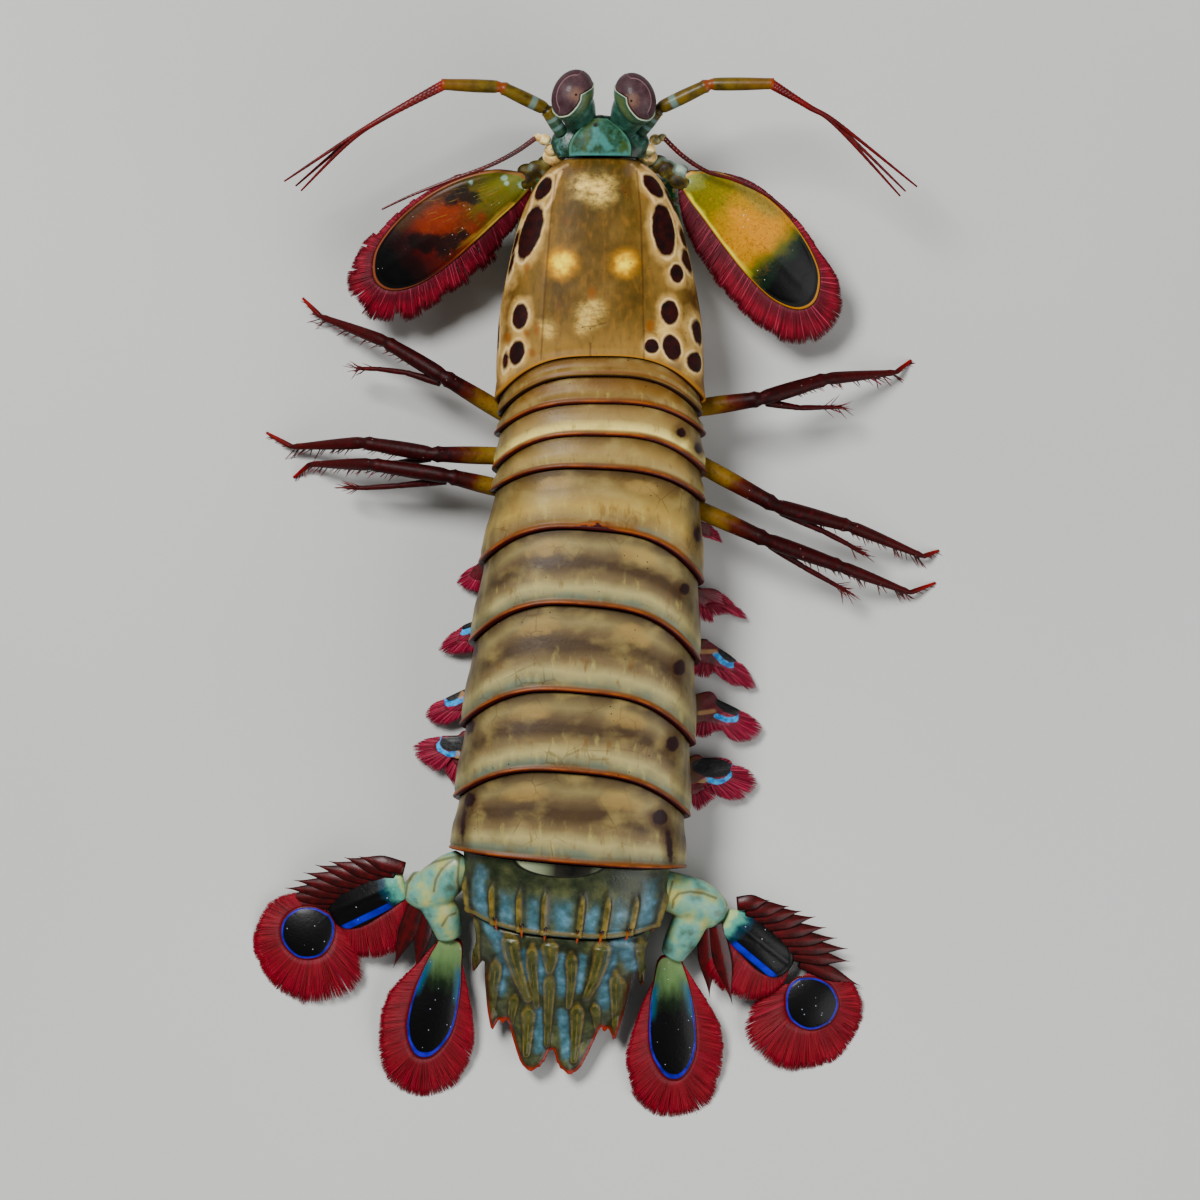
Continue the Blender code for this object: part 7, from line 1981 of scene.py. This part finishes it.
SPINE_ROOT_Z, SPINE_TIP_Z = 7.2, 3.2        # of the two spines between a basal piece's leaves
# Dark lines over the basal pieces
BASE_LINES = {
    "l": (((404, 895), (406, 883), (412, 873), (420, 867), (432, 861), (446, 857), (460, 854)),
          ((433, 890), (435, 878), (440, 869), (447, 862), (456, 857)),
          ((459, 850), (457, 880), (462, 905)), ((441, 925), (447, 915), (456, 912))),
    "r": (((665, 866), (680, 868), (694, 872), (706, 878), (718, 886), (725, 896), (729, 907)),
          ((672, 906), (673, 898), (678, 892), (690, 890), (703, 892), (716, 897)),
          ((660, 925), (668, 895), (672, 880))),
}


def blade_mesh(root, tip, half_width, rows=16):
    """Flat pointed blade with its fields: share along it, and place beside its middle line."""
    root, tip = np.asarray(root, float), np.asarray(tip, float)
    t = np.linspace(0.0, 1.0, rows)
    along = (tip - root) / np.linalg.norm(tip - root)
    cross = np.cross(along, UP)
    cross /= np.linalg.norm(cross)
    over = np.cross(cross, along)
    wide = half_width * (0.45 + 0.55 * np.sin(np.pi * np.clip(0.25 + 0.6 * t, 0.0, 1.0)) ** 0.8)
    wide = wide * (1.0 - smooth(t, 0.42, 1.0)) ** 0.85 + 0.03
    turn = 2.0 * np.pi * np.arange(BLADE_SIDES) / BLADE_SIDES
    path = root + (tip - root) * t[:, None] + over * (0.5 * np.sin(np.pi * t))[:, None]
    thick = 0.07 + 0.30 * (1.0 - t)
    height = thick[:, None] * np.sin(turn) + 0.16 * wide[:, None] * bell(np.cos(turn), 0.0, 0.3)
    rings = path[:, None] + cross * (wide[:, None] * np.cos(turn))[..., None] + over * height[..., None]
    share = np.broadcast_to(t[:, None], rings.shape[:2])
    beside = np.broadcast_to(np.cos(turn)[None], rings.shape[:2])
    return loft(rings, (path[0], path[-1]), {"share": share, "beside": beside})


def blade_colour(look, beside):
    """Dark maroon with a redder middle line and near-black borders."""
    blade = look.ramp(look.noise(1.2, 4.0), ((0.3, (64, 8, 22)), (0.55, (92, 12, 30)), (0.75, (120, 20, 40))))
    streak = look.band(beside, 0.1, 0.12, 0.3)
    blade = look.mix(look.times(streak, 0.35), blade, (136, 26, 42))
    border = look.step(look.size(beside), 0.72, 0.98)
    return look.mix(look.times(border, 0.8), blade, (24, 8, 12))


def uropod_base_look():
    look = Look("uropod_base", 0.34, coat=0.10, coat_roughness=0.18, specular=0.25)
    look.colour = look.ramp(look.noise(3.4, 4.0), ((0.32, (104, 126, 114)), (0.45, (134, 166, 160)),
                                                   (0.55, (154, 174, 150)), (0.66, (178, 180, 138))))
    shade = look.step(look.noise(1.6, 4.0), 0.56, 0.74)
    look.lay(shade, (100, 116, 84), 0.5)
    share, beside, mark = look.value("share"), look.value("beside"), look.value("mark")
    look.lay(look.step(mark, 0.05, 0.6), (170, 164, 112), 0.4)
    look.lay(look.step(mark, 0.72, 0.98), (84, 74, 50), 0.6)
    look.lay(look.step(share, 0.002, 0.03), blade_colour(look, beside))
    return look.finish(shell_bump(look, 0.3), 0.05)


def exopod_look():
    look = Look("exopod", 0.42, coat=0.05, coat_roughness=0.15, specular=0.18)
    a, b, _ = look.axes("leaf")
    share, beside = look.value("share"), look.value("beside")
    look.colour = look.ramp(look.noise(2.0, 4.0), ((0.3, (12, 11, 15)), (0.7, (26, 25, 33))))
    cloud = look.plus(a, look.wave(1.6, 3.0, 2.4))
    look.lay(look.step(cloud, 3.8, 2.4), (30, 74, 96))
    look.lay(look.step(cloud, 2.6, 1.2), (124, 166, 156))
    look.lay(look.step(cloud, 1.0, 0.0), (174, 186, 152))
    run = look.plus(b, look.times(a, 0.02))
    stripe = look.times(look.band(run, -1.9, 0.40, 0.15), look.band(a, 7.4, 3.8, 0.9))
    azure = look.ramp(look.noise(2.2, 2.0), ((0.36, (22, 54, 190)), (0.64, (24, 104, 226))))
    look.lay(stripe, azure)
    specks = look.step(look.cells(1.2), 0.10, 0.05)
    look.lay(specks, (172, 176, 186), look.step(share, 0.02, 0.0))
    look.lay(look.step(share, 0.002, 0.03), blade_colour(look, beside))
    return look.finish(shell_bump(look, 0.3), 0.06)


def lay_ring(look, r, place, weight=None):
    """Lays the dark leaf's cobalt ring, white specks within it and crimson outside."""
    wide = look.plus(r, look.wave(2.4, 2.0, 0.05))
    blue = look.ramp(look.noise(1.8, 2.0), ((0.36, (50, 28, 160)), (0.62, (64, 54, 206))))
    specks = look.step(look.cells(1.1), 0.10, 0.05)
    look.lay(specks, (172, 176, 186), 0.85)
    look.lay(look.band(wide, place, 0.024, 0.016), blue, weight)
    look.lay(look.step(wide, place + 0.035, place + 0.05), (132, 12, 42))


def paddle_look():
    look = Look("paddle", 0.42, coat=0.05, coat_roughness=0.15, specular=0.15)
    _, _, r = look.axes("leaf")
    look.colour = look.ramp(look.noise(2.0, 4.0), ((0.3, (10, 11, 18)), (0.7, (20, 22, 34))))
    lay_ring(look, r, 0.90)
    return look.finish(shell_bump(look, 0.3), 0.05)


def endopod_look():
    look = Look("endopod", 0.42, coat=0.05, coat_roughness=0.15, specular=0.15)
    a, _, r = look.axes("leaf")
    cloud = look.plus(a, look.wave(1.0, 3.0, 4.4, stretch=(1.0, 0.25, 1.0)))
    look.colour = look.ramp(look.times(cloud, 0.05),
                            ((0.0, (134, 150, 112)), (0.12, (118, 140, 100)), (0.24, (84, 104, 72)),
                             (0.33, (46, 56, 44)), (0.42, (22, 21, 26)), (1.0, (14, 14, 20))))
    teal = look.times(look.step(r, 0.6, 0.88), look.band(a, 6.4, 1.6, 2.0))
    look.lay(teal, (38, 110, 140), 0.8)
    lay_ring(look, r, 0.91, look.step(a, 4.6, 8.0))
    return look.finish(shell_bump(look, 0.3), 0.06)


def on_leaf(place, px, py, lift):
    """Place at a spot of the picture plane on a leaf's own sheet."""
    world = np.array(photo_xy(px, py))
    a, b = np.linalg.inv(place[:2, :2]) @ (world - place[:2, 3])
    return np.array((*world, place[2, :2] @ (a, b) + place[2, 3] + lift))


def uropod_base_piece(side_name, look):
    spec = UROPODS[side_name]
    socket, middle, rear = [np.array(p) for p in spec["base"]]
    exopod_root, endopod_root = np.array(spec["exopod"][0]), np.array(spec["endopod"][0])
    shapes = [rod([(*lerp(socket, middle, -0.6), 2.3), (*socket, 3.0), (*middle, 3.3),
                   (*lerp(middle, exopod_root, 0.75), 2.4)], 30, 32, 0.8),
              rod([(*middle, 2.7), (*rear, 2.6), (*lerp(rear, endopod_root, 0.85), 1.9)], 24, 32, 0.8)]
    points, quads, tris = melt(shapes, BASE_VOXEL, 8)
    dark = np.zeros(len(points))
    for line in BASE_LINES[side_name]:
        near = line_mark(points[:, 0], points[:, 1], line, BASE_LINE_WIDTH)
        dark = np.maximum(dark, near * (points[:, 2] > middle[2]))
    parts = Parts()
    parts.add(points, quads, tris, {"share": 0.0 * dark, "beside": 0.0 * dark, "mark": dark})
    for base, tip, half_width in spec["spines"]:
        points, quads, tris, fields = blade_mesh((*photo_xy(*base), SPINE_ROOT_Z),
                                                 (*photo_xy(*tip), SPINE_TIP_Z), half_width, 24)
        parts.add(points, quads, tris, {**fields, "mark": np.zeros(len(points))})
    node = "uropod_base_" + side_name
    add_piece(node + "_skin", look, parts.mesh(), "limb_pale", node)


def exopod_piece(side_name, side, look, seta, rng):
    """Outer branch of a uropod: a keeled leaf with a comb of blades along its outer edge."""
    spec = UROPODS[side_name]
    root, yaw, pitch = spec["exopod"]
    place = placed(root, yaw, pitch, 0.0, side)
    leaf = Leaf(EXOPOD_OUTLINE, place, 2.3, dome=0.4, rim=0.24, bead=0.08)
    points, quads, tris, fields = leaf.mesh(((EXOPOD_KEEL, 0.14, 0.5),))
    none = np.zeros(len(points))
    parts = Parts()
    parts.add(points, quads, tris, {**fields, "share": none, "beside": none})
    first, last = [np.array(p, float) for p in spec["edge"]]
    for i, tip in enumerate(spec["blades"]):
        share = i / (len(spec["blades"]) - 1)
        start = lerp(first, last, share * 0.96)
        points, quads, tris, fields = blade_mesh(on_leaf(place, *start, 0.5 - 0.5 * share),
                                                 on_leaf(place, *tip, 1.3 - 0.2 * share), BLADE_HALF_WIDTH)
        points[:, 2] = np.maximum(points[:, 2], 0.0)
        parts.add(points, quads, tris, {**fields, "leaf": np.tile(BLADE_LEAF, (len(points), 1))})
    node = "uropod_exopod_" + side_name
    add_piece(node + "_shell", look, parts.mesh(), "tail_dark", node)
    add_piece(node + "_setae", seta, leaf.setae(rng, 0.05, 3, 0.17), "fringe")


def uropod_pieces(side_name, side, looks, seta):
    uropod_base_piece(side_name, looks["base"])
    rng = np.random.default_rng(400 + (side > 0))
    exopod_piece(side_name, side, looks["exopod"], seta, rng)
    for part, (outline, thick, dome, droop) in TAIL_LEAVES.items():
        root, yaw, pitch = UROPODS[side_name][part]
        leaf = Leaf(outline, placed(root, yaw, pitch, 0.0, side), thick, dome=dome, droop=droop)
        points, quads, tris, fields = leaf.mesh()
        points[:, 2] = np.maximum(points[:, 2], 0.0)
        node = f"uropod_{part}_{side_name}"
        add_piece(node + "_leaf", looks[part], (points, quads, tris, fields), "tail_dark", node)
        add_piece(node + "_setae", seta, leaf.setae(rng, 0.05, 3, 0.18), "fringe")


# ---------------------------------------------------------------- under the carapace
# Right side of each pair; rods are rows of x, y, z, radius, and balls are a middle and its radii
CLAW_MERUS = ((8.6, 42.6, 7.4, 1.6), (9.4, 46.0, 7.6, 2.5), (9.9, 51.0, 7.7, 2.9),
              (10.2, 56.0, 7.7, 2.6), (10.2, 59.4, 7.6, 1.9))
CLAW_CARPUS = ((10.2, 60.2, 7.4, 1.6), (9.9, 62.0, 6.8, 1.9), (9.4, 62.8, 5.2, 1.6))
CLAW_HAND = ((9.3, 61.2, 3.6, 1.3), (9.2, 57.0, 2.9, 1.6), (8.8, 51.5, 2.6, 1.6),
             (8.2, 46.0, 2.7, 1.4))
CLAW_HEEL = ((7.9, 44.6, 2.9), (1.7, 2.0, 1.9))
CLAW_FINGER = ((7.4, 45.4, 3.6, 1.0), (6.0, 50.0, 3.6, 0.7), (5.6, 55.0, 3.4, 0.3))
MAXILLIPEDS = (((2.6, 50.0, 10.4), (3.4, 56.5, 7.4), (2.8, 60.6, 8.4)),
               ((2.8, 45.6, 10.4), (3.6, 50.6, 5.6), (2.2, 54.0, 4.2)),
               ((3.0, 40.8, 10.2), (4.0, 44.6, 5.8), (2.4, 47.4, 3.6)))
CLAW_VOXEL, MOUTH_VOXEL, FLESH_VOXEL = 0.18, 0.18, 0.16
MAXILLIPED_ROOT = ((2.8, 45.6, 10.2), (1.6, 6.6, 1.3))
MAXILLIPED_PALM = (1.0, 1.5, 1.2)
MOUTH = (((0.0, 63.0, 10.2), (2.6, 2.4, 2.2)), ((1.8, 60.4, 10.0), (1.5, 2.2, 1.7)),
         ((-1.8, 60.4, 10.0), (1.5, 2.2, 1.7)))


def claw_look():
    look = Look("claw", 0.26, coat=0.22, coat_roughness=0.12)
    cloud = look.noise(3.4, 4.0)
    look.colour = look.ramp(cloud, ((0.32, (20, 84, 66)), (0.5, (60, 120, 74)), (0.64, (150, 130, 50)),
                                    (0.76, (196, 60, 34))))
    look.lay(look.step(look.noise(1.0, 4.0), 0.55, 0.7), (206, 196, 150), 0.4)
    return look.finish(shell_bump(look, 0.3), 0.06)


def flesh_look(name):
    look = Look(name, 0.34, coat=0.1, coat_roughness=0.2, subsurface=0.1)
    look.colour = look.ramp(look.noise(2.0, 4.0), ((0.3, (150, 128, 90)), (0.5, (204, 190, 154)),
                                                   (0.72, (224, 214, 190))))
    look.lay(look.step(look.noise(1.2, 3.0), 0.56, 0.68), (96, 130, 96), 0.6)
    return look.finish(shell_bump(look, 0.3), 0.06)


def mirrored(side, rows):
    return [(side * row[0], *row[1:]) for row in rows]


def side_ball(side, centre, radii):
    return ball((side * centre[0], *centre[1:]), radii)


def under_pieces(side_name, side, claw, flesh):
    hand = [rod(mirrored(side, CLAW_HAND), 40, 32), side_ball(side, *CLAW_HEEL),
            rod(mirrored(side, CLAW_FINGER), 30, 20)]
    shapes = {"merus": rod(mirrored(side, CLAW_MERUS), 40, 36, 0.85),
              "carpus": rod(mirrored(side, CLAW_CARPUS), 24, 32), "hand": melt(hand, CLAW_VOXEL)}
    for part, shape in shapes.items():
        node = f"claw_{part}_{side_name}"
        add_piece(node + "_shell", claw, shape, "claw", node)
    shapes = [side_ball(side, *MAXILLIPED_ROOT)]
    for joints in MAXILLIPEDS:
        root, elbow, palm = mirrored(side, joints)
        shapes += [rod([(*root, 0.8), (*elbow, 0.8), (*palm, 0.65)], 20, 16), ball(palm, MAXILLIPED_PALM)]
    node = "maxillipeds_" + side_name
    add_piece(node + "_skin", flesh, melt(shapes, FLESH_VOXEL), "limb_pale", node)


def mouth_piece(flesh):
    mesh = melt([ball(*row) for row in MOUTH], MOUTH_VOXEL)
    add_piece("mouthparts_skin", flesh, mesh, "limb_pale", "mouthparts")


# ---------------------------------------------------------------- build
def build_body():
    carapace_piece(carapace_look())
    ring_looks = {"thorax_5": abdomen_look("thorax_front", FRONT_STOPS, PLAIN_RIM),
                  "thorax_6": abdomen_look("thorax_second", FRONT_STOPS, RIM_COLOURS),
                  "thorax_7": abdomen_look("thorax_pale", PALE_STOPS, RIM_COLOURS),
                  "abdomen_1": abdomen_look("abdomen_front", FIRST_STOPS, RIM_COLOURS, 0.6, 1.0)}
    thorax = abdomen_look("thorax", THORAX_STOPS, RIM_COLOURS)
    abdomen = abdomen_look("abdomen", ABDOMEN_STOPS, RIM_COLOURS, 0.6)
    for node in RING_ORDER[1:-1]:
        ring_piece(node, ring_looks.get(node, abdomen if node[0] == "a" else thorax))
    abdomen_6_piece(tail_look("abdomen_6", True))
    telson_piece(tail_look("telson", False))


def build_head():
    look = teal_look("head")
    teal = look.finish(shell_bump(look, 0.3), 0.08)
    rostral_piece(rostral_look())
    head_piece(teal)
    for side_name, side in SIDES:
        eye_piece(side_name, side)
    # The last tint is painted shade on the fringe near each scale's root, beside the carapace.
    fringe = seta_look("scale_setae", ((0.0, (124, 24, 52)), (0.35, (142, 16, 52)), (0.62, (190, 22, 66)),
                                       (0.9, (160, 18, 54))), (6.0, 19.0, (104, 40, 48)))
    joint = joint_look()
    for side_name, side in SIDES:
        antennal_scale_pieces(side_name, side, fringe, joint)


def build_limbs():
    feeler, antenna = antennule_look(), antenna_look()
    for side_name, side in SIDES:
        antennule_piece(side_name, side, feeler)
        antenna_piece(side_name, side, antenna)
    leg, seta = leg_look(), seta_look("leg_setae", ((0.0, (84, 12, 30)), (0.5, (130, 20, 38)),
                                                    (1.0, (180, 50, 50))))
    for node in LEGS:
        leg_piece(node, leg, seta)
    crimson = seta_look("swim_setae", ((0.0, (130, 18, 48)), (0.45, (168, 34, 68)), (1.0, (188, 58, 84))),
                      line=0.74)
    fan = seta_look("tail_setae", ((0.0, (146, 8, 46)), (0.5, (174, 10, 54)), (1.0, (200, 24, 66))),
                    pale=(190, 60, 80), line=0.95)
    swim = swim_look()
    for index in range(5):
        for side_name, side in SIDES:
            pleopod_piece(index, side_name, side, swim, crimson)
    looks = {"base": uropod_base_look(), "exopod": exopod_look(), "paddle": paddle_look(),
             "endopod": endopod_look()}
    for side_name, side in SIDES:
        uropod_pieces(side_name, side, looks, fan)
    claw, flesh = claw_look(), flesh_look("mouthpart_skin")
    for side_name, side in SIDES:
        under_pieces(side_name, side, claw, flesh)
    mouth_piece(flesh)


# ---------------------------------------------------------------- stage, light and camera
# In metres and the row frame
CAMERA_HEIGHT = 1.012
LENS = 200.0            # mm
NEAR, FAR = 0.05, 10.0
FLOOR_SIZE = 4.0
SKY, SKY_STRENGTH = (0.93, 0.96, 1.0, 1.0), 0.17
# Place, size and power of each light, all turned to the origin
LIGHTS = {"key": ((-0.42, 0.50, 0.95), 0.42, 21.0), "fill": ((0.70, -0.40, 0.60), 0.9, 8.0)}


def floor_look():
    look = Look("floor", 0.75, specular=0.2)
    look.colour = look.ramp(look.noise(260.0, 3.0), ((0.35, (186, 186, 185)), (0.65, (192, 192, 191))))
    return look.finish(look.noise(1.2, 4.0), 0.02)


def area_light(name, place, size, power):
    light = bpy.data.lights.new(name, "AREA")
    light.shape = "DISK"
    light.size = size
    light.energy = power
    obj = bpy.data.objects.new(name, light)
    bpy.context.scene.collection.objects.link(obj)
    obj.location = place
    obj.rotation_euler = (-Vector(place)).to_track_quat("-Z", "Y").to_euler()


def build_stage():
    size = FLOOR_SIZE / 2.0
    mesh = bpy.data.meshes.new("floor")
    mesh.from_pydata([(-size, -size, 0.0), (size, -size, 0.0), (size, size, 0.0), (-size, size, 0.0)],
                     [], [(0, 1, 2, 3)])
    mesh.materials.append(floor_look())
    floor = bpy.data.objects.new("floor", mesh)
    bpy.context.scene.collection.objects.link(floor)
    world = bpy.data.worlds.new("studio")
    world.use_nodes = True
    background = world.node_tree.nodes["Background"]
    background.inputs["Color"].default_value = SKY
    background.inputs["Strength"].default_value = SKY_STRENGTH
    bpy.context.scene.world = world
    for name, light in LIGHTS.items():
        area_light(name, *light)
    camera = bpy.data.cameras.new("camera")
    camera.lens = LENS
    camera.clip_start, camera.clip_end = NEAR, FAR
    obj = bpy.data.objects.new("camera", camera)
    obj.location = (OFFSET[0], OFFSET[1], CAMERA_HEIGHT)
    bpy.context.scene.collection.objects.link(obj)
    bpy.context.scene.camera = obj


def main():
    build_body()
    build_head()
    build_limbs()
    build_stage()


main()
